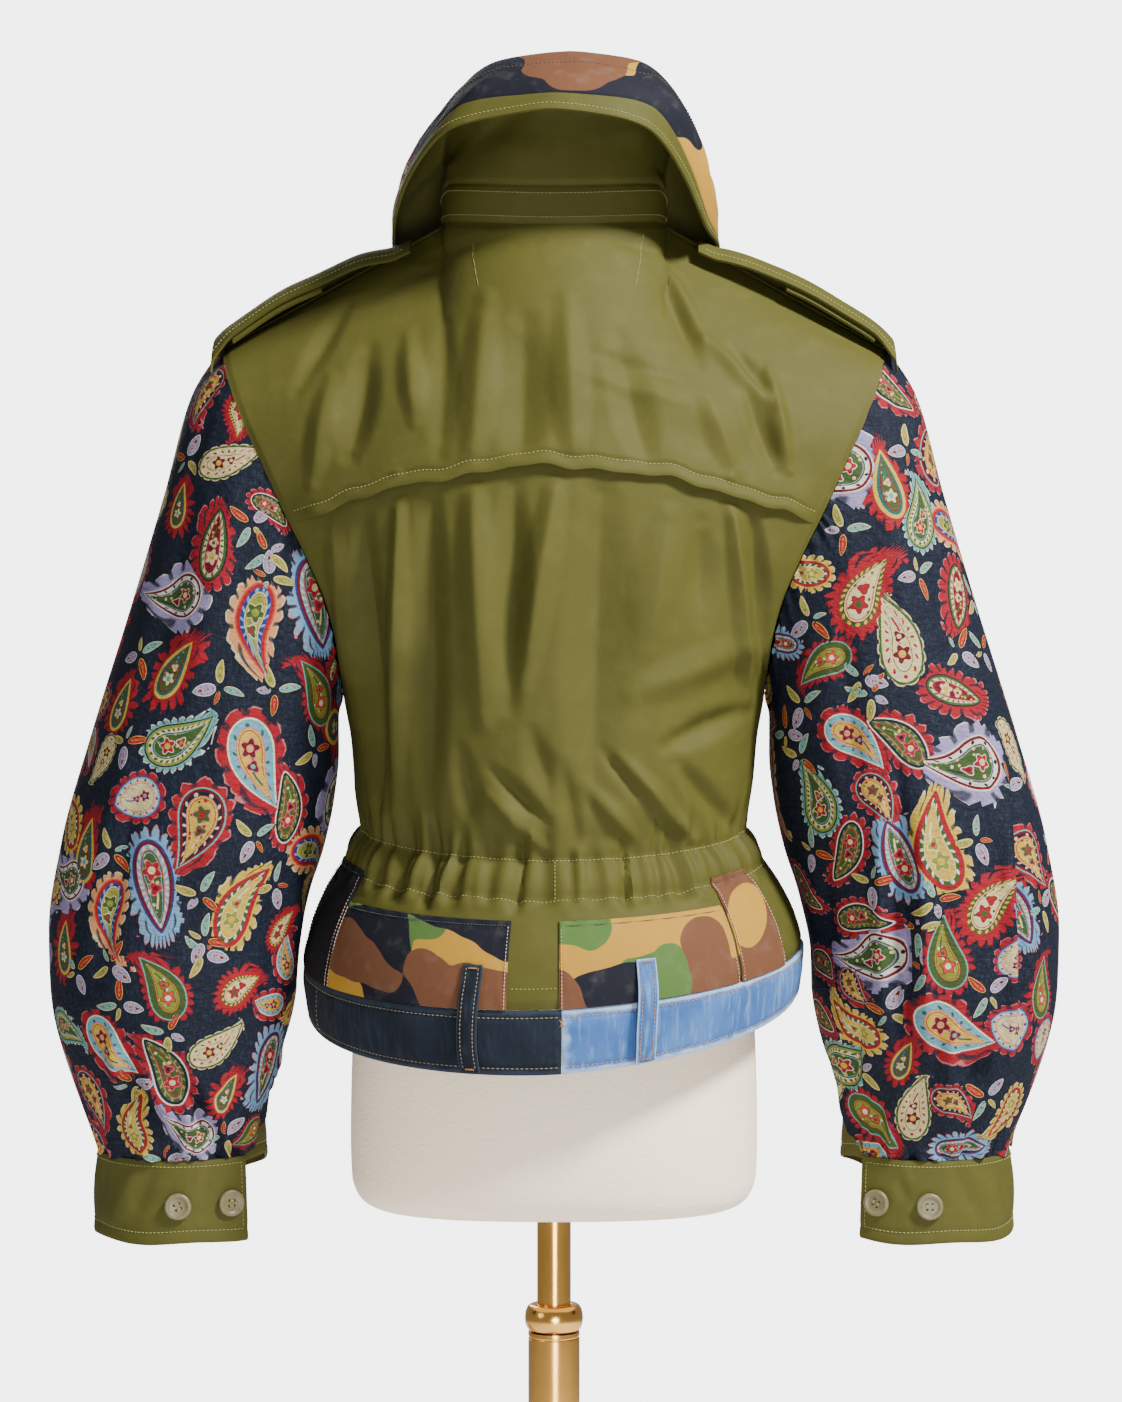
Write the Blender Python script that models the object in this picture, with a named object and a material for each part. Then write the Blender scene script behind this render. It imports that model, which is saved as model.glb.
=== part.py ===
"""Patchwork bomber jacket on a limbless dress form with a telescopic brass stand.

Metres, +Z up. The floor is z = 0 and the stand's axis is the Z axis. The jacket's front faces -Y, so the
wearer's left is at +X. Cloth is a wall worked out from sections of the garment; every seam is a 0.3 mm gap.
"""

import math

import bmesh
import bpy
import numpy as np
from mathutils import Matrix, Vector
from mathutils.bvhtree import BVHTree

# ---------------------------------------------------------------- driving sizes

MM = 0.001
SEAM_GAP = 0.3 * MM

CLOTH = 1.6 * MM          # body and sleeve cloth, with its seam allowances
DENIM = 3.0 * MM          # waistband, two plies of denim
PATCH = 1.0 * MM          # patches and the top ply of the collar
PATCH_RISE = 2.8 * SEAM_GAP    # between a patch and the panel, so that gathers clear it
PATCH_TRIM = 0.5 * MM     # a patch's edges are drawn in by this
YOKE_PROUD = 3.2 * MM     # the yoke's lower edge laps over the back by standing out this far
BAND_PROUD = 1.2 * MM     # the waistband stands out over the panels by this

UNDERARM_LEVEL = 0.44     # torso level at which the armhole opens
YOKE_LEVEL = 0.70         # lower edge of the back yoke
BAND_LEVEL = 0.075        # top edge of the waistband
HEM_LEVEL = 0.0
DRAWSTRING_LEVEL = 0.232  # middle of the drawstring channel
DRAWSTRING_REACH = 0.085  # its gathers die out this far above and below
NECK_SHARE = 5 / 14       # share of the top edge, from the middle, that is neckline: a whole column

NECK_SIDE = (0.083, 1.326)        # x and z where the shoulder seam meets the neckline
SHOULDER_TIP = (0.246, 1.235)     # x and z of the shoulder seam's outer end
EDGE_POWER = 1.7          # how late a section's line turns down from its middle to its edge
HEM_TILT = 0.010          # the hem hangs this much lower at the wearer's left side, and higher at the right

GATHERS_PER_SIDE = 14     # drawstring gathers across the back, and as many across the front
SLEEVE_GATHERS = 18       # gathers into each cuff
GATHER_RISE = 3.2 * MM    # how far a gather stands out, and falls in
GATHER_STARTS = 0.72      # of the sleeve's length; the gathers are fullest at GATHER_FULL
GATHER_FULL = 0.93
SLEEVE_ROOM = 5.0 * MM    # between the hanging sleeve and the torso, below the underarm
CUFF_HEIGHT = 0.060
CUFF_THICK = 2.0 * MM
CUFF_FLARE = 0.05         # how far the cuff's side leans out for each metre down
LOOP_HALF_WIDTH = 0.0068
LOOP_THICK = 1.4 * MM
WAISTBAND_JOIN = -0.020   # where the two halves of the waistband meet, across the back
WAISTBAND_HALVES = (("waistband_left", 1.0, "dark_denim"), ("waistband_right", -1.0, "light_denim"))

PLACKET_HALF = 0.085      # half its width, across the front
PLACKET_TOP = 0.955       # level of its top end
PLACKET_RISE = CLOTH + 0.4 * MM
PLACKET_SWELL = 3.4 * MM  # it stands out further over the drawstring's gathers

# Button: share of its radius, and of its thickness.
BUTTON_PROFILE = ((0.80, 0.0), (1.0, 0.35), (1.0, 0.75), (0.86, 1.0))
BUTTON_RADIUS = 0.0098
BUTTON_THICK = 0.0034
BUTTON_SIDES = 12
CUFF_BUTTON_DROP = 0.032  # below the cuff's top edge
WAISTBAND_BUTTON_LEVEL = 0.036

# Torso sections, hem to shoulder seam. The edge is the side seam, then the armhole; mid is the middle of the
# back or the front. openness 0 is a round half-ring, 1 a sheet that reaches its edge at a slant.
TORSO_COLUMNS = ("level", "half_width", "edge_height", "edge_back", "edge_front",
                 "back_height", "back_depth", "front_height", "front_depth", "openness")
TORSO_ROWS = (
    (0.000, 0.1800, 0.757, 0.000, 0.000, 0.715, 0.152, 0.744, -0.138, 0.00),
    (0.075, 0.1830, 0.790, 0.000, 0.000, 0.760, 0.156, 0.786, -0.142, 0.00),
    (0.120, 0.1780, 0.813, 0.000, 0.000, 0.789, 0.152, 0.811, -0.138, 0.00),
    (0.165, 0.1670, 0.838, 0.000, 0.000, 0.816, 0.142, 0.835, -0.130, 0.00),
    (0.205, 0.1520, 0.862, 0.000, 0.000, 0.839, 0.130, 0.858, -0.120, 0.00),
    (0.250, 0.1415, 0.887, 0.000, 0.000, 0.866, 0.121, 0.882, -0.113, 0.00),
    (0.300, 0.1470, 0.915, 0.000, 0.000, 0.897, 0.127, 0.908, -0.117, 0.00),
    (0.370, 0.1500, 0.947, 0.000, 0.000, 0.940, 0.130, 0.945, -0.124, 0.00),
    (0.440, 0.1555, 0.980, 0.000, 0.000, 0.981, 0.131, 0.985, -0.131, 0.00),
    (0.510, 0.1580, 1.010, 0.046, -0.047, 1.023, 0.131, 1.025, -0.137, 0.25),
    (0.580, 0.1645, 1.042, 0.062, -0.063, 1.065, 0.130, 1.068, -0.140, 0.55),
    (0.650, 0.1775, 1.075, 0.071, -0.071, 1.108, 0.128, 1.110, -0.138, 0.80),
    (0.720, 0.1945, 1.110, 0.073, -0.073, 1.150, 0.125, 1.150, -0.131, 0.95),
    (0.790, 0.2105, 1.145, 0.070, -0.069, 1.192, 0.117, 1.188, -0.121, 1.00),
    (0.860, 0.2260, 1.179, 0.060, -0.058, 1.233, 0.105, 1.222, -0.108, 1.00),
    (0.930, 0.2385, 1.211, 0.042, -0.040, 1.276, 0.087, 1.248, -0.098, 1.00),
    (1.000, 0.2460, 1.235, 0.000, 0.000, 1.318, 0.062, 1.262, -0.088, 1.00),
)

# The largest folds of the torso cloth: soft ridges (+) and troughs (-) from one point of a panel to another.
FOLD_COLUMNS = ("side", "across_low", "level_low", "across_high", "level_high", "width", "height")
TORSO_FOLDS = (
    (+1, 0.42, 0.30, 0.46, 0.66, 0.10, +0.006),
    (+1, 0.28, 0.29, 0.24, 0.64, 0.08, -0.005),
    (+1, 0.12, 0.29, 0.10, 0.60, 0.09, +0.005),
    (+1, -0.14, 0.30, -0.06, 0.62, 0.10, -0.005),
    (+1, -0.30, 0.29, -0.34, 0.66, 0.09, +0.005),
    (+1, -0.56, 0.32, -0.66, 0.68, 0.09, -0.005),
    (+1, 0.22, 0.72, 0.16, 0.93, 0.10, +0.004),
    (+1, 0.48, 0.72, 0.40, 0.88, 0.09, -0.005),
    (+1, -0.62, 0.72, -0.40, 0.92, 0.09, -0.005),
    (-1, 0.50, 0.30, 0.56, 0.60, 0.10, +0.005),
    (-1, 0.28, 0.30, 0.34, 0.56, 0.09, -0.004),
    (-1, -0.50, 0.30, -0.56, 0.60, 0.10, +0.005),
    (-1, -0.28, 0.30, -0.34, 0.56, 0.09, -0.004),
)

# Patches between the waistband and the drawstring: from and to, across the back, and the top edge's level.
PATCHES = (
    ("camouflage_patch_left", "camouflage_cotton", 0.112, 0.690, 0.172),
    ("black_patch_left", "black_cotton", 0.690, 1.000, 0.205),
    ("camouflage_patch_right", "camouflage_cotton", -0.510, -0.012, 0.172),
    ("camouflage_patch_side", "camouflage_cotton", -0.720, -0.515, 0.205),
)

# Belt loops: level, and rise of the loop's outer side over the panel's surface.
LOOP_COLUMNS = ("level", "rise")
LOOP_ROWS = (
    (0.003, 0.0036),
    (0.012, 0.0048),
    (0.030, 0.0068),
    (0.060, 0.0070),
    (0.085, 0.0062),
    (0.106, 0.0044),
    (0.122, 0.0036),
)
LOOPS = (("belt_loop_left", 0.205, "dark_denim"), ("belt_loop_right", -0.228, "light_denim"))

# Sleeve sections, armhole to cuff, for the wearer's left arm. inner is the side next to the body.
SLEEVE_COLUMNS = ("along", "inner_x", "inner_z", "outer_x", "outer_z", "half_depth", "middle_y",
                  "armhole_share")
SLEEVE_ROWS = (
    (0.00, 0.1555, 0.980, 0.2460, 1.235, 0.073, 0.000, 1.00),
    (0.06, 0.1590, 0.962, 0.2680, 1.200, 0.077, 0.000, 0.62),
    (0.14, 0.1590, 0.936, 0.2880, 1.128, 0.081, 0.000, 0.28),
    (0.25, 0.1625, 0.903, 0.3140, 1.040, 0.085, -0.002, 0.08),
    (0.37, 0.1700, 0.868, 0.3420, 0.950, 0.089, -0.004, 0.00),
    (0.50, 0.1820, 0.830, 0.3640, 0.872, 0.092, -0.006, 0.00),
    (0.62, 0.1905, 0.788, 0.3740, 0.806, 0.092, -0.008, 0.00),
    (0.73, 0.1915, 0.755, 0.3720, 0.750, 0.090, -0.008, 0.00),
    (0.84, 0.1940, 0.730, 0.3600, 0.703, 0.080, -0.006, 0.00),
    (0.93, 0.2010, 0.712, 0.3470, 0.668, 0.064, -0.003, 0.00),
    (1.00, 0.2120, 0.702, 0.3370, 0.645, 0.046, 0.000, 0.00),
)

# The cuff is an open band that rises round the wrist from its buttoned end, which stands out over the other
# end. Angles run from the inner side towards the back; the far end lies inside the sleeve.
CUFF_COLUMNS = ("angle", "top", "out")
CUFF_ROWS = (
    (40.0, 0.6420, 0.0030),
    (90.0, 0.6400, 0.0026),
    (140.0, 0.6415, 0.0012),
    (180.0, 0.6450, 0.0006),
    (230.0, 0.6560, 0.0006),
    (280.0, 0.6720, 0.0006),
    (330.0, 0.6920, 0.0006),
    (360.0, 0.6990, -0.0032),
    (380.0, 0.6990, -0.0048),
    (410.0, 0.6970, -0.0060),
)
SLEEVE_END_SLIT = 40.0                 # the sleeve's end drops back to the buttoned end within this angle
CUFF_CENTRE = (0.2745, 0.0)            # wearer's left
CUFF_HALF_WIDTH = 0.0620
CUFF_HALF_DEPTH = 0.0460
CUFF_BUTTON_ANGLES = (54.0, 88.0)

# Collar sections by angle round the neck, 0 at the middle of the back, for the wearer's left half.
COLLAR_COLUMNS = ("angle", "roll_x", "roll_y", "roll_z", "edge_x", "edge_y", "edge_z", "border")
COLLAR_ROWS = (
    (0.0, 0.000, 0.070, 1.437, 0.000, 0.126, 1.389, 0.100),
    (30.0, 0.046, 0.062, 1.432, 0.062, 0.112, 1.378, 0.130),
    (55.0, 0.075, 0.042, 1.414, 0.098, 0.074, 1.345, 0.080),
    (78.0, 0.087, 0.014, 1.390, 0.114, 0.032, 1.318, 0.050),
    (105.0, 0.086, -0.024, 1.364, 0.120, -0.030, 1.311, 0.045),
    (130.0, 0.072, -0.062, 1.330, 0.114, -0.084, 1.270, 0.045),
    (150.0, 0.050, -0.086, 1.300, 0.098, -0.116, 1.230, 0.045),
    (162.0, 0.034, -0.094, 1.284, 0.084, -0.125, 1.208, 0.045),
)
COLLAR_END = 162.0
ROLL_SHIFT = -0.011         # the roll leans to the wearer's right at the back, and the free edge to the left
EDGE_SHIFT = 0.005
STAND_HEIGHT = 0.026
STAND_SHARE = 0.12          # of the collar's depth from neck seam to free edge
STAND_PLY = 2.0 * MM        # the collar stand, both plies
UNDER_PLY = 1.5 * MM        # the under collar
COLLAR_FOLD_ROWS = 6        # rows of the top ply, from the stand to the border
COLLAR_STEP = 9.0           # degrees round the neck
PAISLEY_FROM = 62.0         # the top ply is paisley from here round to the wearer's left front

# Shoulder strap from the shoulder tip to the neck: x, rise of its top side over the shoulder seam, thickness.
STRAP_COLUMNS = ("x", "lift", "thick")
STRAP_ROWS = (
    (0.2520, 0.0000, 0.0020),
    (0.2510, 0.0080, 0.0024),
    (0.2470, 0.0112, 0.0030),
    (0.2366, 0.0142, 0.0044),
    (0.2175, 0.0168, 0.0046),
    (0.1985, 0.0175, 0.0046),
    (0.1720, 0.0158, 0.0044),
    (0.1690, 0.0156, 0.0026),
    (0.1428, 0.0117, 0.0024),
    (0.1304, 0.0078, 0.0022),
    (0.1200, 0.0042, 0.0020),
    (0.1060, 0.0027, 0.0020),
)
STRAP_HALF_WIDTH = 0.0250
STRAP_DROOP = 12.0 * MM    # its long edges hang this much lower than its middle, over the round of the shoulder
STRAP_SPREADS = (-1.0, -0.55, 0.0, 0.55, 1.0)

# Dress form, bottom to neck. exponent 2 is an ellipse, less is pointed at the sides.
FORM_COLUMNS = ("height", "half_width", "back", "front", "exponent")
FORM_ROWS = (
    (0.6000, 0.112, 0.070, 0.070, 2.5),
    (0.6020, 0.128, 0.084, 0.082, 2.5),
    (0.6090, 0.142, 0.097, 0.095, 2.5),
    (0.6260, 0.149, 0.104, 0.101, 2.4),
    (0.6600, 0.150, 0.107, 0.102, 2.3),
    (0.7400, 0.148, 0.108, 0.102, 2.2),
    (0.8100, 0.134, 0.098, 0.092, 2.1),
    (0.8800, 0.118, 0.084, 0.084, 2.1),
    (0.9500, 0.124, 0.088, 0.094, 2.1),
    (1.0300, 0.133, 0.094, 0.112, 2.1),
    (1.0900, 0.136, 0.096, 0.116, 2.1),
    (1.1500, 0.145, 0.096, 0.104, 2.1),
    (1.2000, 0.160, 0.092, 0.088, 2.1),
    (1.2400, 0.172, 0.084, 0.074, 2.0),
    (1.2580, 0.178, 0.078, 0.066, 1.9),
    (1.2740, 0.178, 0.070, 0.060, 1.8),
    (1.2880, 0.160, 0.062, 0.056, 1.7),
    (1.3000, 0.140, 0.056, 0.052, 1.7),
    (1.3100, 0.116, 0.052, 0.050, 1.7),
    (1.3190, 0.082, 0.050, 0.048, 1.8),
    (1.3300, 0.062, 0.048, 0.047, 1.9),
    (1.3450, 0.055, 0.046, 0.047, 2.0),
    (1.3900, 0.051, 0.046, 0.047, 2.0),
    (1.3960, 0.044, 0.040, 0.040, 2.0),
)

FORM_SIDES = 28
FORM_ROOM = 1.9 * MM        # level room between the form and the cloth that rests on it
INNER_TUBE_RADIUS = 0.0125
OUTER_TUBE_RADIUS = 0.0190
TUBE_CLEARANCE = 0.1 * MM
RING_RADIUS = 0.0215
RING_TOP = 0.5280
RING_HEIGHT = 0.0200
FORM_BOTTOM = 0.6000
INNER_TUBE_BOTTOM = 0.2300
BASE_RADIUS = 0.1700
BASE_HEIGHT = 0.0140
BASE_BEVEL = 0.003
BASE_ROUND = 0.006          # the rounded top edge, and the rise of the top towards the tube
TUBE_SEAT_RADIUS = 0.032    # raised seat round the tube's foot
TUBE_SEAT_HEIGHT = 0.004
RING_BULGE = 0.0042
RING_LIP = 0.001            # the ring's mouth lies this far below its top

FRONT_BUTTON_LEVELS = (0.295, 0.44, 0.57, 0.70, 0.84)
TORSO_LEVELS = (0.075, 0.12, 0.172, 0.205, 0.25, 0.295, 0.34, 0.39, 0.44, 0.50, 0.57, 0.64, 0.70,
                0.72, 0.77, 0.84, 0.92, 1.0)
BACK_COLUMNS = 2 * GATHERS_PER_SIDE
FRONT_COLUMNS = GATHERS_PER_SIDE
SLEEVE_COLUMNS_ROUND = 36   # two for each row of the armhole, back and front
SLEEVE_STEPS = 13

COLOURS = {
    "olive_cotton": (0.145, 0.150, 0.028, 0.62, 0.0),
    "paisley_cotton": (0.050, 0.045, 0.070, 0.75, 0.0),
    "camouflage_cotton": (0.300, 0.210, 0.070, 0.60, 0.0),
    "black_cotton": (0.006, 0.007, 0.009, 0.70, 0.0),
    "dark_denim": (0.012, 0.018, 0.032, 0.85, 0.0),
    "light_denim": (0.110, 0.230, 0.520, 0.85, 0.0),
    "olive_button": (0.110, 0.100, 0.040, 0.45, 0.0),
    "form_jersey": (0.780, 0.690, 0.580, 0.85, 0.0),
    "brass": (0.700, 0.430, 0.160, 0.22, 1.0),
}


# ---------------------------------------------------------------- small tools

def clear_scene():
    for obj in list(bpy.data.objects):
        bpy.data.objects.remove(obj)


def material(name):
    found = bpy.data.materials.get(name)
    if found:
        return found
    red, green, blue, roughness, metallic = COLOURS[name]
    made = bpy.data.materials.new(name)
    made.use_nodes = True
    shader = made.node_tree.nodes["Principled BSDF"]
    shader.inputs["Base Color"].default_value = (red, green, blue, 1.0)
    shader.inputs["Roughness"].default_value = roughness
    shader.inputs["Metallic"].default_value = metallic
    return made


def columns(rows, names):
    """The table as one array for each named column."""
    values = np.array(rows, float)
    return {name: values[:, i] for i, name in enumerate(names)}


def smooth_curve(xs, ys, at):
    """A curve through the points (xs, ys), read at the given places: cubic, and never past its points."""
    rises = np.diff(ys) / np.diff(xs)
    before, after = rises[:-1], rises[1:]
    total = np.where(before * after > 0, before + after, 1.0)
    between = np.where(before * after > 0, 2 * before * after / total, 0.0)
    slopes = np.concatenate([rises[:1], between, rises[-1:]])
    i = np.clip(np.searchsorted(xs, at, side="right") - 1, 0, len(xs) - 2)
    span = xs[i + 1] - xs[i]
    u = np.clip((at - xs[i]) / span, 0.0, 1.0)
    return ((2 * u**3 - 3 * u**2 + 1) * ys[i] + (u**3 - 2 * u**2 + u) * span * slopes[i]
            + (3 * u**2 - 2 * u**3) * ys[i + 1] + (u**3 - u**2) * span * slopes[i + 1])


def read(table, key, name, at):
    return smooth_curve(table[key], table[name], at)


def unit(vectors):
    return vectors / np.maximum(np.linalg.norm(vectors, axis=-1, keepdims=True), 1e-12)


def smoothstep(low, high, value):
    """0 at low and beyond it, 1 at high, whichever of them is the greater."""
    u = np.clip((value - low) / (high - low), 0.0, 1.0)
    return u * u * (3 - 2 * u)


def bell(distance):
    """1 at the middle, 0 from distance 1 outwards."""
    return np.square(np.clip(1 - distance * distance, 0.0, 1.0))


def surface_normal(point_at, u, v, u_range, v_range, outwards=1.0):
    """Unit normals of the surface point_at(u, v), from small steps that stay inside its ranges."""
    step = 2e-3
    u0, u1 = np.clip(u - step, *u_range), np.clip(u + step, *u_range)
    v0, v1 = np.clip(v - step, *v_range), np.clip(v + step, *v_range)
    return unit(np.cross(point_at(u1, v) - point_at(u0, v), point_at(u, v1) - point_at(u, v0))) * outwards


def mesh_object(name, points, faces, material_name, smooth=True):
    mesh = bpy.data.meshes.new(name)
    mesh.from_pydata([tuple(p) for p in points], [], faces)
    form = bmesh.new()
    form.from_mesh(mesh)
    bmesh.ops.recalc_face_normals(form, faces=form.faces)
    if form.calc_volume(signed=True) < 0:
        bmesh.ops.reverse_faces(form, faces=form.faces)
    form.to_mesh(mesh)
    form.free()
    mesh.materials.append(material(material_name))
    if smooth:
        mesh.shade_smooth()
        mesh.set_sharp_from_angle(angle=math.radians(50))
    obj = bpy.data.objects.new(name, mesh)
    bpy.context.scene.collection.objects.link(obj)
    return obj


def cloth_wall(name, outer, inward, thickness, material_name, closed=False):
    """A wall of cloth: a grid of outer points, each with its own inner point. A closed one joins its last
    column to its first."""
    rows, cols = outer.shape[:2]
    inner = outer + inward * thickness
    points = np.concatenate([outer.reshape(-1, 3), inner.reshape(-1, 3)])
    count = rows * cols
    wraps = cols if closed else cols - 1
    faces = []
    for r in range(rows - 1):
        for c in range(wraps):
            a, b = r * cols + c, r * cols + (c + 1) % cols
            for p, q, t in ((a, b, b + cols), (a, b + cols, a + cols)):
                faces += [(p, q, t), (count + p, count + t, count + q)]
    for c in range(wraps):
        a, b = c, (c + 1) % cols
        faces.append((a, count + a, count + b, b))
        a, b = a + count - cols, b + count - cols
        faces.append((a, b, count + b, count + a))
    if not closed:
        for r in range(rows - 1):
            a, b = r * cols, (r + 1) * cols
            faces.append((a, b, count + b, count + a))
            a, b = a + cols - 1, b + cols - 1
            faces.append((a, count + a, count + b, b))
    return mesh_object(name, points, faces, material_name)


def drawn_in(grid, sides, gap=SEAM_GAP / 2):
    """The grid with the named edges (low, high rows; first, last columns) moved in by half a seam gap."""
    out = grid.copy()
    if "low" in sides:
        out[0] += unit(out[1] - out[0]) * gap
    if "high" in sides:
        out[-1] += unit(out[-2] - out[-1]) * gap
    if "first" in sides:
        out[:, 0] += unit(out[:, 1] - out[:, 0]) * gap
    if "last" in sides:
        out[:, -1] += unit(out[:, -2] - out[:, -1]) * gap
    return out


# ---------------------------------------------------------------- torso cloth

TORSO = columns(TORSO_ROWS, TORSO_COLUMNS)
FOLDS = columns(TORSO_FOLDS, FOLD_COLUMNS)


def torso_top(side, across):
    """The top edge: the neckline in the middle, then the shoulder seam."""
    mid_height = TORSO["back_height" if side > 0 else "front_height"][-1]
    mid_depth = TORSO["back_depth" if side > 0 else "front_depth"][-1]
    turn = np.clip(np.abs(across) / NECK_SHARE, 0, 1) * math.pi / 2
    out = np.clip((np.abs(across) - NECK_SHARE) / (1 - NECK_SHARE), 0, 1)
    x = NECK_SIDE[0] * np.sin(turn) + (SHOULDER_TIP[0] - NECK_SIDE[0]) * out
    y = mid_depth * np.cos(turn)
    z = mid_height + (NECK_SIDE[1] - mid_height) * np.sin(turn)**2 + (SHOULDER_TIP[1] - NECK_SIDE[1]) * out
    return np.stack([x * np.sign(across), y, z], axis=-1)


def torso_section(side, across, level):
    half = math.pi / 2 * across
    way = "back" if side > 0 else "front"
    openness = read(TORSO, "level", "openness", level)
    edge_y = read(TORSO, "level", "edge_" + way, level)
    mid_y = read(TORSO, "level", way + "_depth", level)
    edge_z = read(TORSO, "level", "edge_height", level)
    mid_z = read(TORSO, "level", way + "_height", level)
    x = read(TORSO, "level", "half_width", level) * ((1 - openness) * np.sin(half) + openness * across)
    y = edge_y + (mid_y - edge_y) * np.cos(half)
    tilt = HEM_TILT * np.sin(half) * smoothstep(0.25, 0.0, level)
    z = mid_z + (edge_z - mid_z) * np.abs(across)**EDGE_POWER - tilt
    return np.stack([x, y, z], axis=-1)


def torso(side, across, level):
    """Point of the torso's outer surface. side +1 is the back, -1 the front; across runs from -1 to 1, the
    wearer's left."""
    across, level = np.broadcast_arrays(np.asarray(across, float), np.asarray(level, float))
    plain = torso_section(side, across, level)
    lift = torso_top(side, across) - torso_section(side, across, np.ones_like(level))
    return plain + lift * smoothstep(0.78, 1.0, level)[..., None]


def torso_normal(side, across, level):
    across, level = np.broadcast_arrays(np.asarray(across, float), np.asarray(level, float))
    return surface_normal(lambda a, t: torso(side, a, t), across, level, (-1, 1), (0, 1), -side)


def torso_relief(side, across, level):
    """How far folds and drawstring gathers move the cloth out from its plain section."""
    gathers = np.cos(2 * math.pi * GATHERS_PER_SIDE * (across + 1) / 2)
    pull = bell((level - DRAWSTRING_LEVEL) / DRAWSTRING_REACH)
    relief = GATHER_RISE * pull * gathers
    rim = smoothstep(0.0, 0.12, 1 - np.abs(across))
    for i in range(len(TORSO_FOLDS)):
        if FOLDS["side"][i] != side:
            continue
        start = np.array([FOLDS["across_low"][i], FOLDS["level_low"][i]])
        run = np.array([FOLDS["across_high"][i], FOLDS["level_high"][i]]) - start
        at = np.stack([across, level], axis=-1) - start
        along = np.clip(at @ run / (run @ run), 0, 1)
        away = np.linalg.norm(at - along[..., None] * run, axis=-1)
        taper = np.sin(math.pi * np.clip(along, 0.02, 0.98))**0.6
        relief = relief + FOLDS["height"][i] * bell(away / FOLDS["width"][i]) * taper * rim
    seam = smoothstep(0.0, 0.03, np.abs(level - YOKE_LEVEL)) if side > 0 else 1.0
    return relief * seam


def edge_cut(side, hand, level):
    """How every piece is cut through at a side seam, shoulder tip or armhole: one inward vector for a wall 1
    thick, midway between the normals of the pieces that meet there."""
    normals = [torso_normal(side, hand, level)]
    if level <= UNDERARM_LEVEL or level == 1.0:
        normals.append(torso_normal(-side, hand, level))
    if level >= UNDERARM_LEVEL:
        normals.append(armhole_sleeve_normal(side, hand, level))
    return mitred(normals)


def mitred(normals):
    middle = unit(np.sum(normals, axis=0))
    return -middle / max(float(np.mean([middle @ n for n in normals])), 0.55)


def torso_grid(side, acrosses, levels):
    """Outer points and inward vectors of a torso panel, cut at its seams as its neighbours are."""
    across, level = np.meshgrid(acrosses, levels)
    inward = -torso_normal(side, across, level)
    if levels[-1] == 1.0:
        for column, at in enumerate(acrosses):
            if abs(at) >= NECK_SHARE - 1e-6:
                inward[-1, column] = mitred([torso_normal(side, at, 1.0), torso_normal(-side, at, 1.0)])
    for column in (0, -1):
        if abs(acrosses[column]) == 1.0:
            for row, at in enumerate(levels):
                inward[row, column] = edge_cut(side, acrosses[column], at)
    outer = torso(side, across, level) - unit(inward) * torso_relief(side, across, level)[..., None]
    return outer, inward


# ---------------------------------------------------------------- sleeves

SLEEVE = columns(SLEEVE_ROWS, SLEEVE_COLUMNS)
CUFF = columns(CUFF_ROWS, CUFF_COLUMNS)
ARMHOLE_LEVELS = np.array([t for t in TORSO_LEVELS if t >= UNDERARM_LEVEL])


def armhole_ring(count):
    """The left armhole as a closed line: underarm, up the back, over the shoulder tip and down the front."""
    back = torso(+1, np.ones_like(ARMHOLE_LEVELS), ARMHOLE_LEVELS)
    front = torso(-1, np.ones_like(ARMHOLE_LEVELS), ARMHOLE_LEVELS)[::-1]
    corners = np.concatenate([back, front[1:]])
    places = np.linspace(0, len(corners) - 1, count + 1)[:-1]
    return np.stack([np.interp(places, np.arange(len(corners)), corners[:, k]) for k in range(3)], axis=-1)


def sleeve_ring(along, turn):
    """A plain oval section of the left sleeve. turn 0 is its inner side, a quarter is its back."""
    inner = np.stack([read(SLEEVE, "along", "inner_x", along), read(SLEEVE, "along", "middle_y", along),
                      read(SLEEVE, "along", "inner_z", along)], axis=-1)
    outer = np.stack([read(SLEEVE, "along", "outer_x", along), read(SLEEVE, "along", "middle_y", along),
                      read(SLEEVE, "along", "outer_z", along)], axis=-1)
    angle = (2 * math.pi * turn)[..., None]
    sideways = np.stack([np.zeros_like(turn), np.ones_like(turn), np.zeros_like(turn)], axis=-1)
    depth = read(SLEEVE, "along", "half_depth", along)[..., None]
    return (inner + outer) / 2 - (outer - inner) / 2 * np.cos(angle) + sideways * depth * np.sin(angle)


def cuff_rim(angle, out):
    """Point above the cuff's oval, out from it, for the wearer's left wrist; its height is left at 0."""
    turn = np.radians(angle)
    return np.stack([CUFF_CENTRE[0] - (CUFF_HALF_WIDTH + out) * np.cos(turn),
                     CUFF_CENTRE[1] + (CUFF_HALF_DEPTH + out) * np.sin(turn), np.zeros_like(turn)], axis=-1)


def sleeve_end_height(angle):
    """Height of the sleeve's gathered edge, along the cuff's rising top, with the drop at the open end."""
    top = smooth_curve(CUFF["angle"], CUFF["top"], np.maximum(angle, CUFF["angle"][0]))
    drop = CUFF["top"][0] + (CUFF["top"][-3] - CUFF["top"][0]) * smoothstep(SLEEVE_END_SLIT, 0.0, angle)
    return np.where(angle < SLEEVE_END_SLIT, drop, top)


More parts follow.
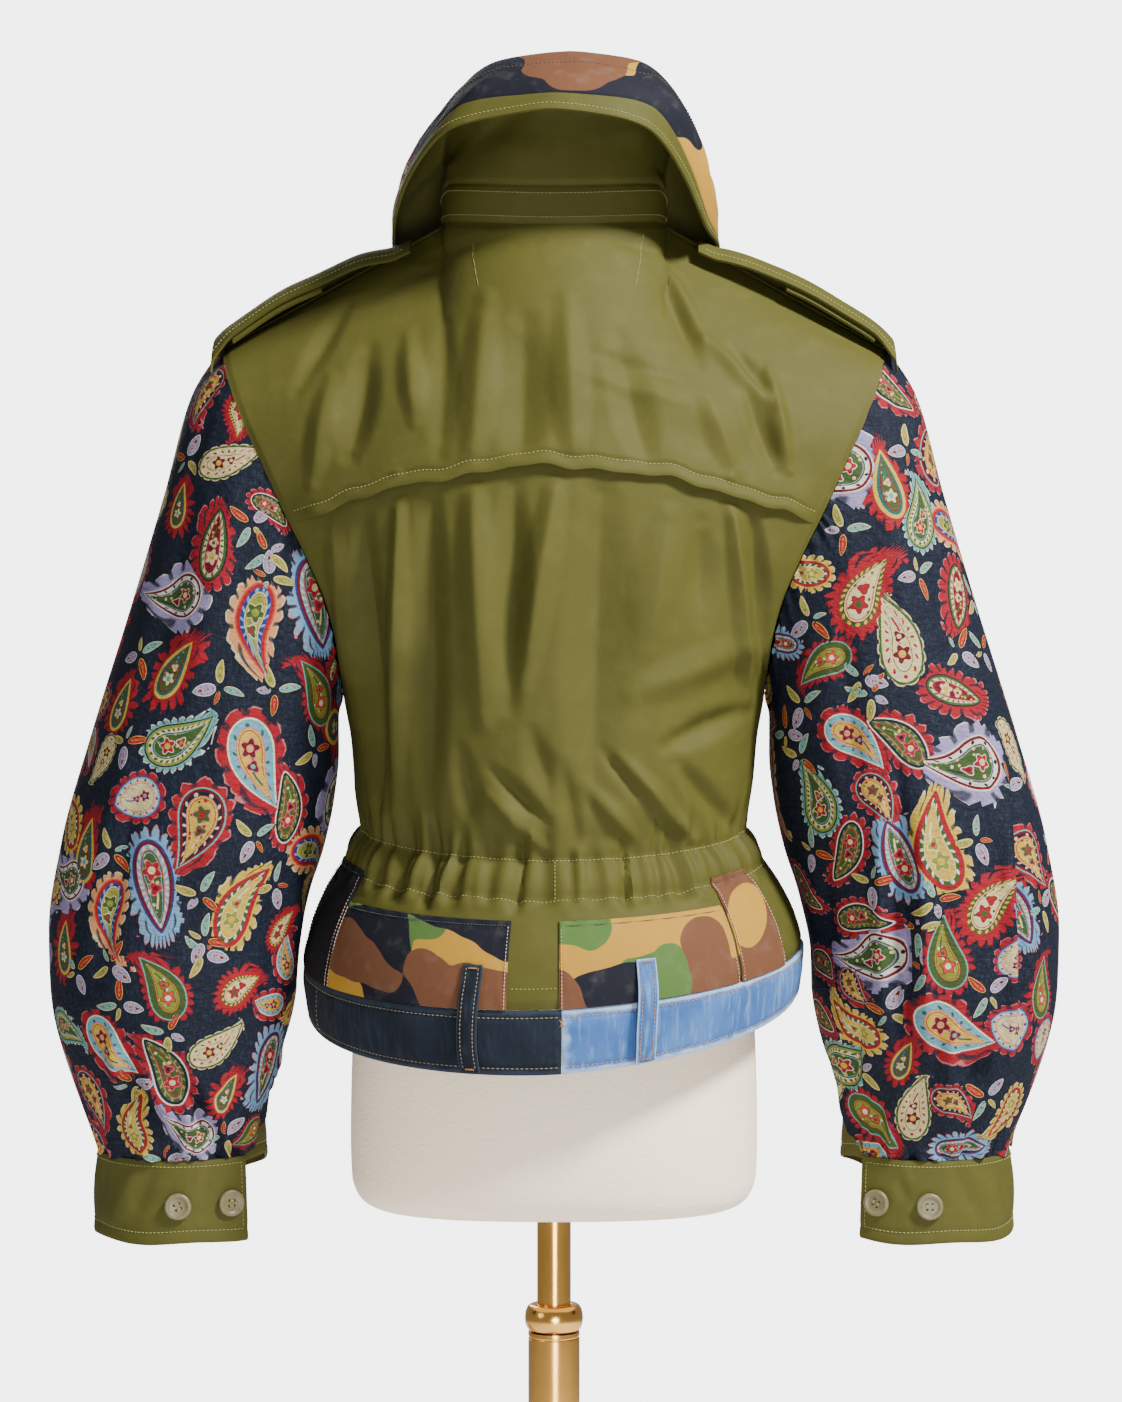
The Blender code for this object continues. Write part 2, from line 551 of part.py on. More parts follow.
def sleeve(along, turn):
    """Point of the left sleeve's outer surface, without gathers."""
    along, turn = np.broadcast_arrays(np.asarray(along, float), np.asarray(turn, float))
    count = SLEEVE_COLUMNS_ROUND
    ring = armhole_ring(count)
    flat_turns = np.arange(count + 1) / count
    plain = sleeve_ring(np.zeros(count), np.arange(count) / count)
    change = np.concatenate([ring - plain, (ring - plain)[:1]])
    added = np.stack([np.interp(turn % 1.0, flat_turns, change[:, k]) for k in range(3)], axis=-1)
    point = sleeve_ring(along, turn) + added * read(SLEEVE, "along", "armhole_share", along)[..., None]
    # Towards the cuff each section turns into the cuff's own oval, at its rising height.
    angle = np.degrees(2 * math.pi * (turn % 1.0))
    end = cuff_rim(angle, 0.0)
    end[..., 2] = sleeve_end_height(angle) + SEAM_GAP
    share = smoothstep(0.70, 1.0, along)[..., None]
    point = point * (1 - share) + end * share
    return clear_of_body(point)


def clear_of_body(point):
    """Moves points of the sleeve out from the torso's side, so that the hanging sleeve stays clear of it."""
    heights = TORSO["edge_height"]
    width = np.interp(point[..., 2], heights, TORSO["half_width"])
    depth = np.where(point[..., 1] > 0, np.interp(point[..., 2], heights, TORSO["back_depth"]),
                     -np.interp(point[..., 2], heights, TORSO["front_depth"]))
    underarm = float(np.interp(UNDERARM_LEVEL, TORSO["level"], heights))
    room = SLEEVE_ROOM * smoothstep(underarm, underarm - 0.05, point[..., 2]) + SEAM_GAP
    least = (width + room) * np.sqrt(np.clip(1 - (point[..., 1] / depth)**2, 0, 1))
    below = point[..., 2] < underarm - 0.001
    out = point.copy()
    out[..., 0] = np.where(below, np.maximum(point[..., 0], least), point[..., 0])
    return out


def sleeve_normal(along, turn):
    along, turn = np.broadcast_arrays(np.asarray(along, float), np.asarray(turn, float))
    return surface_normal(sleeve, along, turn, (0, 1), (-1, 2), -1.0)


def armhole_sleeve_normal(side, hand, level):
    """The sleeve's normal where it meets the torso at a level of the armhole, on the wanted hand."""
    place = np.interp(level, ARMHOLE_LEVELS, np.linspace(0.0, 0.5, len(ARMHOLE_LEVELS)))
    normal = sleeve_normal(0.02, place if side > 0 else 1.0 - place)
    return normal * np.array([hand, 1.0, 1.0])


def make_sleeve(name, hand):
    alongs = np.linspace(0, 1, SLEEVE_STEPS + 1)**0.9
    turns = np.arange(SLEEVE_COLUMNS_ROUND) / SLEEVE_COLUMNS_ROUND
    along, turn = np.meshgrid(alongs, turns, indexing="ij")
    normal = sleeve_normal(along, turn)
    gathers = np.cos(2 * math.pi * SLEEVE_GATHERS * turn)
    pull = smoothstep(GATHER_STARTS, GATHER_FULL, along) * (1 - 0.75 * smoothstep(GATHER_FULL, 1.0, along))
    outer = sleeve(along, turn) + normal * (GATHER_RISE * pull * gathers)[..., None]
    outer = clear_of_body(outer)
    outer[0, :, 0] += 1.5 * SEAM_GAP
    inward = -normal
    for c, place in enumerate(turns):
        level = np.interp(min(place, 1 - place), np.linspace(0.0, 0.5, len(ARMHOLE_LEVELS)), ARMHOLE_LEVELS)
        inward[0, c] = edge_cut(1 if place <= 0.5 else -1, 1.0, level)
    outer[-1, :, 2] = sleeve_end_height(360 * turns) + SEAM_GAP
    inward[-1] = cuff_inward(360 * turns)
    flip = np.array([hand, 1.0, 1.0])
    return cloth_wall(name, outer * flip, inward * flip, CLOTH, "paisley_cotton", closed=True)


def cuff_inward(angle):
    turn = np.radians(angle)
    return np.stack([np.cos(turn), -np.sin(turn), np.zeros_like(turn)], axis=-1)


def cuff_point(angle, drop):
    """Point of the left cuff's outer side, this far below its top edge."""
    angle, drop = np.broadcast_arrays(np.asarray(angle, float), np.asarray(drop, float))
    point = cuff_rim(angle, read(CUFF, "angle", "out", angle) + CUFF_FLARE * drop)
    point[..., 2] = read(CUFF, "angle", "top", angle) - drop
    return point


def make_cuff(name, hand):
    angles = np.arange(CUFF["angle"][0], CUFF["angle"][-1] + 1, 10.0)
    drop, angle = np.meshgrid(np.linspace(0.0, CUFF_HEIGHT, 3), angles, indexing="ij")
    flip = np.array([hand, 1.0, 1.0])
    outer = cuff_point(angle, drop) * flip
    return cloth_wall(name, outer, cuff_inward(angle) * flip, CUFF_THICK, "olive_cotton")


# ---------------------------------------------------------------- collar

COLLAR = columns(COLLAR_ROWS, COLLAR_COLUMNS)


def neckline(angle):
    """The neck seam, as straight between the torso's columns as the panels' own edge."""
    corners = np.linspace(0, NECK_SHARE, 6)
    back, front = torso_top(+1, corners), torso_top(-1, corners)[::-1]
    line = np.concatenate([back, front[1:]])
    at = np.abs(angle) / 180 * (len(line) - 1)
    return np.stack([np.interp(at, np.arange(len(line)), line[:, k]) for k in range(3)], axis=-1)


def collar(angle, share):
    """Point of the collar's under side: angle round the neck from the middle of the back, share 0 at the neck
    seam to 1 at the free edge. The collar stands up, rolls over and falls to the shoulders."""
    angle, share = np.broadcast_arrays(np.asarray(angle, float), np.asarray(share, float))
    bend = np.abs(angle)
    foot = neckline(bend) + np.array([0, 0, SEAM_GAP])
    roll = np.stack([read(COLLAR, "angle", "roll_" + k, bend) for k in "xyz"], axis=-1)
    edge = np.stack([read(COLLAR, "angle", "edge_" + k, bend) for k in "xyz"], axis=-1)
    rise = np.clip((roll - foot)[..., 2:3] * 0.35, 0.008, STAND_HEIGHT)
    outwards = unit((edge - roll) * np.array([1, 1, 0]))
    stand_top = foot + (roll - foot) * np.array([0.10, 0.10, 0]) + np.array([0, 0, 1]) * rise
    column = foot + (roll - foot) * np.array([0.30, 0.30, 0.72]) - outwards * 0.004
    shoulder = roll * 0.45 + edge * 0.55 + outwards * 0.010 + np.array([0, 0, 0.006])
    stations = np.array([0.0, STAND_SHARE, 0.36, 0.55, 0.76, 1.0])
    line = np.stack([foot, stand_top, column, roll, shoulder, edge])
    slopes = np.gradient(line, stations, axis=0)
    i = np.clip(np.searchsorted(stations, share, side="right") - 1, 0, len(stations) - 2)
    span = (stations[i + 1] - stations[i])[..., None]
    u = np.clip((share - stations[i])[..., None] / span, 0, 1)

    def pick(values, index):
        return np.take_along_axis(values, index[None, ..., None], axis=0)[0]

    point = ((2 * u**3 - 3 * u**2 + 1) * pick(line, i) + (u**3 - 2 * u**2 + u) * span * pick(slopes, i)
             + (3 * u**2 - 2 * u**3) * pick(line, i + 1) + (u**3 - u**2) * span * pick(slopes, i + 1))
    point[..., 0] *= np.where(angle < 0, -1.0, 1.0)
    point[..., 0] += smoothstep(120.0, 20.0, bend) * (ROLL_SHIFT * bell((share - 0.6) / 0.45)
                                                      + EDGE_SHIFT * smoothstep(0.75, 1.0, share))
    return point


def collar_normal(angle, share):
    """Unit normal on the under side, away from the neck."""
    angle, share = np.broadcast_arrays(np.asarray(angle, float), np.asarray(share, float))
    around = collar(np.clip(angle + 1, -COLLAR_END, COLLAR_END), share) - collar(
        np.clip(angle - 1, -COLLAR_END, COLLAR_END), share)
    up = collar(angle, np.clip(share + 0.01, 0, 1)) - collar(angle, np.clip(share - 0.01, 0, 1))
    return unit(np.cross(up, around))


def collar_shares(angles):
    """The shares of the collar's rows at each angle: neck seam, top of the stand, start of the top ply, its
    rows to the border, and the free edge."""
    border = smooth_curve(COLLAR["angle"], COLLAR["border"], np.abs(angles))
    start = STAND_SHARE + 0.05
    rows = [np.zeros_like(angles), np.full_like(angles, STAND_SHARE)]
    rows += [start + (1 - border - start) * k / COLLAR_FOLD_ROWS for k in range(COLLAR_FOLD_ROWS + 1)]
    return np.array(rows + [np.ones_like(angles)])


def collar_piece(name, angles, rows, depth, thickness, material_name, edges):
    """A ply of the collar between two of its rows, this depth inside the collar's under side."""
    share = collar_shares(angles)[rows]
    angle = np.broadcast_to(angles, share.shape)
    normal = collar_normal(angle, share)
    outer = drawn_in(collar(angle, share) - normal * depth, edges)
    return cloth_wall(name, outer, -normal, thickness, material_name)


# ---------------------------------------------------------------- the pieces

def make_panels():
    levels = np.array(TORSO_LEVELS)
    acrosses = np.linspace(-1, 1, BACK_COLUMNS + 1)
    covered = levels[levels <= YOKE_LEVEL]
    lap = levels[len(covered)]

    # The back runs on beneath the yoke's lower edge, but for its two end columns, which stop at the seam.
    outer, inward = torso_grid(+1, acrosses, np.append(covered, lap))
    for column in (0, 1, -2, -1):
        outer[-1, column] = outer[-2, column] - unit(outer[-2, column] - outer[-3, column]) * SEAM_GAP / 2
        outer[-2, column] = (outer[-1, column] + outer[-3, column]) / 2
        inward[-1, column] = inward[-2, column]
        inward[-2, column] = (inward[-1, column] + inward[-3, column]) / 2
    cloth_wall("back_panel", drawn_in(outer, ("low", "first", "last")), inward, CLOTH, "olive_cotton")

    outer, inward = torso_grid(+1, acrosses, levels[levels >= YOKE_LEVEL])
    fades = 1 - smoothstep(0.0, 0.07, levels[levels >= YOKE_LEVEL] - YOKE_LEVEL)
    ends = np.interp(1 - np.abs(acrosses), (0.0, 2 / BACK_COLUMNS, 4 / BACK_COLUMNS), (0.0, 0.8, 1.0))
    outer = outer - inward * (YOKE_PROUD * fades[:, None] * ends)[..., None]
    cloth_wall("back_yoke", drawn_in(outer, ("low", "high", "first", "last")), inward, CLOTH, "olive_cotton")

    front = np.linspace(0, 1, FRONT_COLUMNS + 1)
    for name, acrosses in (("front_left", front), ("front_right", -front[::-1])):
        outer, inward = torso_grid(-1, acrosses, levels)
        sides = ("low", "high", "first", "last")
        cloth_wall(name, drawn_in(outer, sides), inward, CLOTH, "olive_cotton")


def at_fraction(grid, rows, cols):
    """The grid's points at fractional rows and columns, flat in each triangle that cloth_wall makes."""
    r, c = np.meshgrid(rows, cols, indexing="ij")
    r0 = np.minimum(r.astype(int), grid.shape[0] - 2)
    c0 = np.minimum(c.astype(int), grid.shape[1] - 2)
    u, v = (r - r0)[..., None], (c - c0)[..., None]
    corner = np.where(u > v, grid[r0 + 1, c0], grid[r0, c0 + 1])
    return (grid[r0, c0] * (1 - np.maximum(u, v)) + corner * np.abs(u - v)
            + grid[r0 + 1, c0 + 1] * np.minimum(u, v))


def whole_and_ends(first, last):
    """The two ends and each whole number between them."""
    inner = np.arange(math.ceil(first + 0.04), math.floor(last - 0.04) + 1)
    return np.concatenate([[first], inner, [last]])


def make_patches():
    """Patches sewn on the back below the drawstring, cut from the panel's own points and moved out."""
    acrosses = np.linspace(-1, 1, BACK_COLUMNS + 1)
    levels = np.array(TORSO_LEVELS)
    outer, inward = torso_grid(+1, acrosses, levels[levels <= YOKE_LEVEL])
    for name, cloth, first, last, top in PATCHES:
        cols = whole_and_ends((first + 1) / 2 * BACK_COLUMNS, (last + 1) / 2 * BACK_COLUMNS)
        rows = whole_and_ends(0.0, float(np.interp(top, levels, np.arange(len(levels)))))
        away = at_fraction(inward, rows, cols)
        piece = at_fraction(outer, rows, cols) - away * (PATCH + PATCH_RISE)
        cloth_wall(name, drawn_in(piece, ("low", "high", "first", "last"), PATCH_TRIM), away, PATCH, cloth)


def band_points(side, acrosses, levels):
    across, level = np.meshgrid(acrosses, levels)
    normal = torso_normal(side, across, level)
    at_seam = np.abs(across) == 1.0
    shared = unit(normal + torso_normal(-side, across, level))
    normal = np.where(at_seam[..., None], shared, normal)
    return torso(side, across, level) + normal * BAND_PROUD, normal


def make_waistband():
    levels = np.linspace(HEM_LEVEL, BAND_LEVEL, 3)
    for name, hand, cloth in WAISTBAND_HALVES:
        start = hand * WAISTBAND_JOIN
        back, back_normal = band_points(+1, hand * np.linspace(start, 1, 13), levels)
        front, front_normal = band_points(-1, hand * np.linspace(1, 0, 13)[1:], levels)
        outer = np.concatenate([back, front], axis=1)
        normal = np.concatenate([back_normal, front_normal], axis=1)
        cloth_wall(name, drawn_in(outer, ("high", "first", "last")), -normal, DENIM, cloth)


def make_belt_loops():
    """Two loops over the waistband, each sewn down at its ends and standing off the band between them."""
    table = columns(LOOP_ROWS, LOOP_COLUMNS)
    for name, across, cloth in LOOPS:
        half = LOOP_HALF_WIDTH / (math.pi / 2 * TORSO["half_width"][1] * math.cos(math.pi / 2 * across))
        ends, level = np.meshgrid(np.array([across - half, across, across + half]), table["level"])
        normal = torso_normal(+1, ends, level)
        outer = torso(+1, ends, level) + normal * table["rise"][:, None, None]
        cloth_wall(name, outer, -normal, LOOP_THICK, cloth)


def make_placket():
    """The front placket, which swells over the drawstring, and its buttons, seated on its own points."""
    levels = np.append(TORSO_LEVELS[:-1], PLACKET_TOP)
    across, level = np.meshgrid(np.array([-PLACKET_HALF, 0.0, PLACKET_HALF]), levels)
    normal = torso_normal(-1, across, level)
    rise = PLACKET_RISE + PLACKET_SWELL * bell((level - DRAWSTRING_LEVEL) / DRAWSTRING_REACH)
    outer = drawn_in(torso(-1, across, level) + normal * rise[..., None], ("low", "high"))
    cloth_wall("front_placket", outer, -normal, CLOTH, "olive_cotton")

    for number, at in enumerate(FRONT_BUTTON_LEVELS, 1):
        row = float(np.interp(at, levels, np.arange(len(levels))))
        out = torso_normal(-1, 0.0, at)
        centre = at_fraction(outer, np.array([row]), np.array([1.0]))[0, 0]
        near_rows = np.clip(row + np.linspace(-1, 1, 81), 0, len(levels) - 1)
        near = at_fraction(outer, near_rows, np.linspace(0, 2, 41)).reshape(-1, 3) - centre
        under = np.linalg.norm(near, axis=-1) < BUTTON_RADIUS
        make_button(f"front_button_{number}", centre + out * float((near[under] @ out).max()), out)


def make_collar():
    round_neck = np.arange(-COLLAR_END, COLLAR_END + 1, COLLAR_STEP)
    inside = UNDER_PLY + SEAM_GAP
    collar_piece("collar_stand", round_neck, slice(0, 2), 0.0, STAND_PLY, "olive_cotton", ("high",))
    collar_piece("under_collar", round_neck, slice(1, None), 0.0, UNDER_PLY, "olive_cotton", ("low",))
    collar_piece("collar_border", round_neck, slice(-2, None), inside, PATCH, "olive_cotton", ("low",))
    split = int(np.argmin(np.abs(round_neck - PAISLEY_FROM)))
    for name, part, edge, cloth in (
            ("top_collar_camouflage", slice(0, split + 1), "last", "camouflage_cotton"),
            ("top_collar_paisley", slice(split, None), "first", "paisley_cotton")):
        collar_piece(name, round_neck[part], slice(2, -1), inside, PATCH, cloth, ("high", edge))


def make_shoulder_straps():
    """A strap that bridges each shoulder: doubled at its outer end, where it turns down to the shoulder tip,
    and with its other end under the collar."""
    table = columns(STRAP_ROWS, STRAP_COLUMNS)
    slope = (SHOULDER_TIP[1] - NECK_SIDE[1]) / (SHOULDER_TIP[0] - NECK_SIDE[0])
    line = np.stack([table["x"], np.zeros(len(table["x"])),
                     NECK_SIDE[1] + slope * (table["x"] - NECK_SIDE[0]) + table["lift"]], axis=-1)
    run = unit(np.gradient(line, axis=0))
    down = np.stack([-run[:, 2], run[:, 1], run[:, 0]], axis=-1)
    for name, hand in (("shoulder_strap_left", 1.0), ("shoulder_strap_right", -1.0)):
        flip = np.array([hand, 1.0, 1.0])
        outer, inward = [], []
        for spread in STRAP_SPREADS:
            slope_there = 2 * STRAP_DROOP * spread / STRAP_HALF_WIDTH
            outer.append(line + np.array([0, spread * STRAP_HALF_WIDTH, -STRAP_DROOP * spread**2]))
            inward.append(unit(down - np.array([0, slope_there, 0])) * table["thick"][:, None])
        cloth_wall(name, np.array(outer) * flip, np.array(inward) * flip, 1.0, "olive_cotton")


def ring_faces(rings, sides):
    """Faces of a body made of rings of points, one after another, flat at both ends."""
    faces = []
    for r in range(rings - 1):
        for k in range(sides):
            n = (k + 1) % sides
            faces.append((r * sides + k, r * sides + n, (r + 1) * sides + n, (r + 1) * sides + k))
    faces.append(tuple(range(sides)))
    faces.append(tuple(range((rings - 1) * sides, rings * sides)))
    return faces


def make_button(name, centre, out, material_name="olive_button"):
    """A round button, its flat back 0.3 mm off the cloth at centre, facing out."""
    out = unit(np.array(out, float))
    side = unit(np.cross(out, [0.3, 0.1, 1.0]))
    up = np.cross(out, side)
    points = []
    for share, height in BUTTON_PROFILE:
        for k in range(BUTTON_SIDES):
            angle = 2 * math.pi * k / BUTTON_SIDES
            spoke = side * math.cos(angle) + up * math.sin(angle)
            points.append(centre + spoke * BUTTON_RADIUS * share + out * (SEAM_GAP + BUTTON_THICK * height))
    return mesh_object(name, points, ring_faces(len(BUTTON_PROFILE), BUTTON_SIDES), material_name)


def make_buttons():
    for word, hand in (("left", 1.0), ("right", -1.0)):
        flip = np.array([hand, 1.0, 1.0])
        for number, angle in enumerate(CUFF_BUTTON_ANGLES, 1):
            turn = math.radians(angle)
            surface = cuff_point(angle, CUFF_BUTTON_DROP)
            out = np.array([-math.cos(turn) * CUFF_HALF_DEPTH, math.sin(turn) * CUFF_HALF_WIDTH, 0.0])
            surface = surface + unit(out) * 0.9 * MM
            make_button(f"cuff_button_{word}_{number}", surface * flip, out * flip)
    normal = torso_normal(-1, 0.0, WAISTBAND_BUTTON_LEVEL)
    on_band = torso(-1, 0.0, WAISTBAND_BUTTON_LEVEL) + normal * (BAND_PROUD + SEAM_GAP)
    make_button("waistband_button", on_band, normal, "brass")


def inside_jacket(points):
    """Draws each of the form's points in, level, to where it clears the jacket's cloth."""
    cloth = []
    for name in ("back_panel", "back_yoke", "front_left", "front_right"):
        mesh = bpy.data.objects[name].data
        corners = [vertex.co for vertex in mesh.vertices]
        cloth.append(BVHTree.FromPolygons(corners, [tuple(face.vertices) for face in mesh.polygons]))
    for i, (x, y, z) in enumerate(points):
        reach = math.hypot(x, y)
        way = Vector((x / reach, y / reach, 0))
        # Rays beside it as well, because one may pass through a seam's gap and the form is flat between points.
        hits = [tree.ray_cast(Vector((0, 0, z + rise)), Matrix.Rotation(turn, 3, "Z") @ way)[3]
                for tree in cloth for turn in (-0.05, 0.0, 0.05) for rise in (-0.004, 0.0, 0.005)]
        room = min([hit for hit in hits if hit is not None], default=1.0) - FORM_ROOM
        if reach > room:
            points[i] = (way.x * room, way.y * room, z)
    return points


def make_form():
    """The smooth limbless form that fills the jacket, closed at the neck and flat underneath."""
    table = columns(FORM_ROWS, FORM_COLUMNS)
    points = []
    for i in range(len(FORM_ROWS)):
        for k in range(FORM_SIDES):
            angle = 2 * math.pi * k / FORM_SIDES
            c, s = math.cos(angle), math.sin(angle)
            power = 2 / table["exponent"][i]
            depth = table["back"][i] if s >= 0 else table["front"][i]
            points.append((math.copysign(abs(c)**power, c) * table["half_width"][i],
                           math.copysign(abs(s)**power, s) * depth, table["height"][i]))
    mesh_object("dress_form", inside_jacket(points), ring_faces(len(FORM_ROWS), FORM_SIDES), "form_jersey")


def turned(name, profile, sides=28):
    """A turned piece: (radius, height) round a closed profile, or from axis to axis."""
    points, rings = [], []
    for radius, height in profile:
        if radius == 0:
            rings.append([len(points)])
            points.append((0, 0, height))
        else:
            rings.append(list(range(len(points), len(points) + sides)))
            turns = [2 * math.pi * k / sides for k in range(sides)]
            points += [(radius * math.cos(turn), radius * math.sin(turn), height) for turn in turns]
    pairs = list(zip(rings, rings[1:]))
    if profile[0][0] > 0:
        pairs.append((rings[-1], rings[0]))
    faces = []
    for low, high in pairs:
        for k in range(sides):
            n = (k + 1) % sides
            corners = [low[k % len(low)], low[n % len(low)], high[n % len(high)], high[k % len(high)]]
            faces.append(tuple(dict.fromkeys(corners)))
    return mesh_object(name, points, faces, "brass")


def make_stand():
    """A round base, the tube that stands on it, the ring round its mouth, and the tube that slides in it."""
    base_top = BASE_HEIGHT + BASE_ROUND
    seat_top = base_top + TUBE_SEAT_HEIGHT
    turned("stand_base", (
        (0, 0),
        (BASE_RADIUS - BASE_BEVEL, 0),
        (BASE_RADIUS, BASE_BEVEL),
        (BASE_RADIUS, BASE_HEIGHT - BASE_ROUND),
        (BASE_RADIUS - BASE_ROUND, BASE_HEIGHT),
        (TUBE_SEAT_RADIUS, base_top),
        (TUBE_SEAT_RADIUS, seat_top),
        (0, seat_top),
    ), sides=40)
    foot = seat_top + SEAM_GAP
    bore = INNER_TUBE_RADIUS + TUBE_CLEARANCE
    tube_top = RING_TOP - RING_HEIGHT
    outer = OUTER_TUBE_RADIUS
    turned("outer_tube", ((outer, foot), (outer, tube_top), (bore, tube_top), (bore, foot)))
    half = RING_HEIGHT / 2 - SEAM_GAP
    middle = tube_top + RING_HEIGHT / 2 + SEAM_GAP
    bulge = [(RING_RADIUS - RING_BULGE * (1 - math.cos(tilt)), middle + half * math.sin(tilt))
             for tilt in np.linspace(-math.pi / 2, math.pi / 2, 7)]
    turned("stand_ring", tuple(bulge) + ((bore, RING_TOP - RING_LIP), (bore, tube_top + SEAM_GAP)))
    top = FORM_BOTTOM - SEAM_GAP
    turned("inner_tube", ((0, INNER_TUBE_BOTTOM), (INNER_TUBE_RADIUS, INNER_TUBE_BOTTOM),
                          (INNER_TUBE_RADIUS, top), (0, top)))


def hang_on_riser():
    """All that slides up and down with the inner tube is parented to an empty on the tube's axis."""
    riser = bpy.data.objects.new("height_slide", None)
    riser.location = (0, 0, RING_TOP)
    bpy.context.scene.collection.objects.link(riser)
    bpy.context.view_layer.update()
    for obj in list(bpy.data.objects):
        if obj is not riser and obj.name not in ("stand_base", "outer_tube", "stand_ring"):
            obj.parent = riser
            obj.matrix_parent_inverse = riser.matrix_world.inverted()


def main():
    clear_scene()
    make_panels()
    make_patches()
    make_waistband()
    make_belt_loops()
    make_placket()
    make_collar()
    make_shoulder_straps()
    for word, hand in (("left", 1.0), ("right", -1.0)):
        make_sleeve("sleeve_" + word, hand)
        make_cuff("cuff_" + word, hand)
    make_buttons()
    make_form()
    make_stand()
    hang_on_riser()


main()
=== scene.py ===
"""Scene for a patchwork bomber jacket on its limbless dress form and telescopic brass stand.

Metres, +Z up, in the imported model's frame. The jacket's front faces -Y and the wearer's left is +X, so the
camera looks at its back. Each section makes one piece, or a group of like pieces, from its own sizes.
"""

import math

import bpy
import numpy as np
from mathutils import Matrix, Vector
from mathutils.bvhtree import BVHTree


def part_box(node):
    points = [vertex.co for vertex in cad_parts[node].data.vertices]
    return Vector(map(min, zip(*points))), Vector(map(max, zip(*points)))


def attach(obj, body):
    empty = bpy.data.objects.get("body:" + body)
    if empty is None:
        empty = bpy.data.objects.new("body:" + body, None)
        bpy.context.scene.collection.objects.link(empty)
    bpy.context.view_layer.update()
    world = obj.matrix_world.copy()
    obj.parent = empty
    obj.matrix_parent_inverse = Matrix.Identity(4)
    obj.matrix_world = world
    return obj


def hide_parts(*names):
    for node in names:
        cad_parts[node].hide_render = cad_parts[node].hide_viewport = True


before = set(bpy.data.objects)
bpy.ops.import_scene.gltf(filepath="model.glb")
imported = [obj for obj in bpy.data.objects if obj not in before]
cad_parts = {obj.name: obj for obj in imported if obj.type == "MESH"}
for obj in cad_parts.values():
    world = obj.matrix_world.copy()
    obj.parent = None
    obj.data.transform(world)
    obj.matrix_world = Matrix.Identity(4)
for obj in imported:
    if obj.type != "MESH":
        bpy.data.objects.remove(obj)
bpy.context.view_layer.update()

MM = 0.001


# ---------------------------------------------------------------- the room: camera, soft light and pale floor
# The camera is level with the lower back and 2.4 m behind the jacket's middle. A soft lamp hangs high to one
# side and weaker ones stand round the jacket. The room and its floor are plain and pale.

CAMERA_PLACE = (-0.0052, 2.4, 0.974)
CAMERA_LENS = 83.3
WALL_COLOUR = (0.96, 0.97, 1.0)
WALLS_AS_LIGHT = 0.33               # how strongly the walls light the jacket
WALLS_AS_SEEN = 5.0                 # how bright they look themselves
FLOOR_RADIUS = 1.95
FLOOR_SIDES = 180
FLOOR_COLOURS = ((0.84, 0.84, 0.85), (0.88, 0.88, 0.89))
LAMPS = (                           # name, place, what it aims at, size and watts
    ("key", (-1.7, 1.35, 3.1), (0.0, 0.05, 1.05), 0.6, 275.0),
    ("fill", (2.4, 1.6, 1.4), (0.0, 0.0, 0.95), 1.2, 10.0),
    ("low", (-0.3, 2.6, 0.4), (0.0, 0.0, 0.70), 1.0, 38.0),
    ("front", (0.6, -2.6, 2.2), (0.0, 0.0, 1.0), 1.6, 46.0),
)


def aimed(obj, place, target):
    obj.location = place
    obj.rotation_euler = (Vector(target) - Vector(place)).to_track_quat("-Z", "Y").to_euler()
    bpy.context.scene.collection.objects.link(obj)


camera = bpy.data.cameras.new("camera")
camera.lens = CAMERA_LENS
camera_object = bpy.data.objects.new("camera", camera)
aimed(camera_object, CAMERA_PLACE, (CAMERA_PLACE[0], 0.0, CAMERA_PLACE[2]))
bpy.context.scene.camera = camera_object

for name, place, target, size, watts in LAMPS:
    lamp = bpy.data.lights.new(name, "AREA")
    lamp.shape = "DISK"
    lamp.size = size
    lamp.energy = watts
    aimed(bpy.data.objects.new(name, lamp), place, target)

world = bpy.data.worlds.new("studio")
world.use_nodes = True
walls = world.node_tree.nodes["Background"]
walls.inputs["Color"].default_value = (*WALL_COLOUR, 1.0)
seen = world.node_tree.nodes.new("ShaderNodeMapRange")
seen.inputs["To Min"].default_value = WALLS_AS_LIGHT
seen.inputs["To Max"].default_value = WALLS_AS_SEEN
rays = world.node_tree.nodes.new("ShaderNodeLightPath")
world.node_tree.links.new(rays.outputs["Is Camera Ray"], seen.inputs["Value"])
world.node_tree.links.new(seen.outputs["Result"], walls.inputs["Strength"])
bpy.context.scene.world = world


def operation(kind, reflected=False):
    """A Python operator on values that adds the Math node of this kind."""
    def operate(value, *other):
        return value.finish.math(kind, *((*other, value) if reflected else (value, *other)))
    return operate


class Value:
    """A number or colour that a material's nodes give. Arithmetic on it adds the nodes that work it out."""

    __add__ = __radd__ = operation("ADD")
    __mul__ = __rmul__ = operation("MULTIPLY")
    __sub__ = operation("SUBTRACT")
    __rsub__ = operation("SUBTRACT", reflected=True)
    __truediv__ = operation("DIVIDE")
    __pow__ = operation("POWER")
    __abs__ = operation("ABSOLUTE")

    def __init__(self, finish, socket):
        self.finish = finish
        self.socket = socket


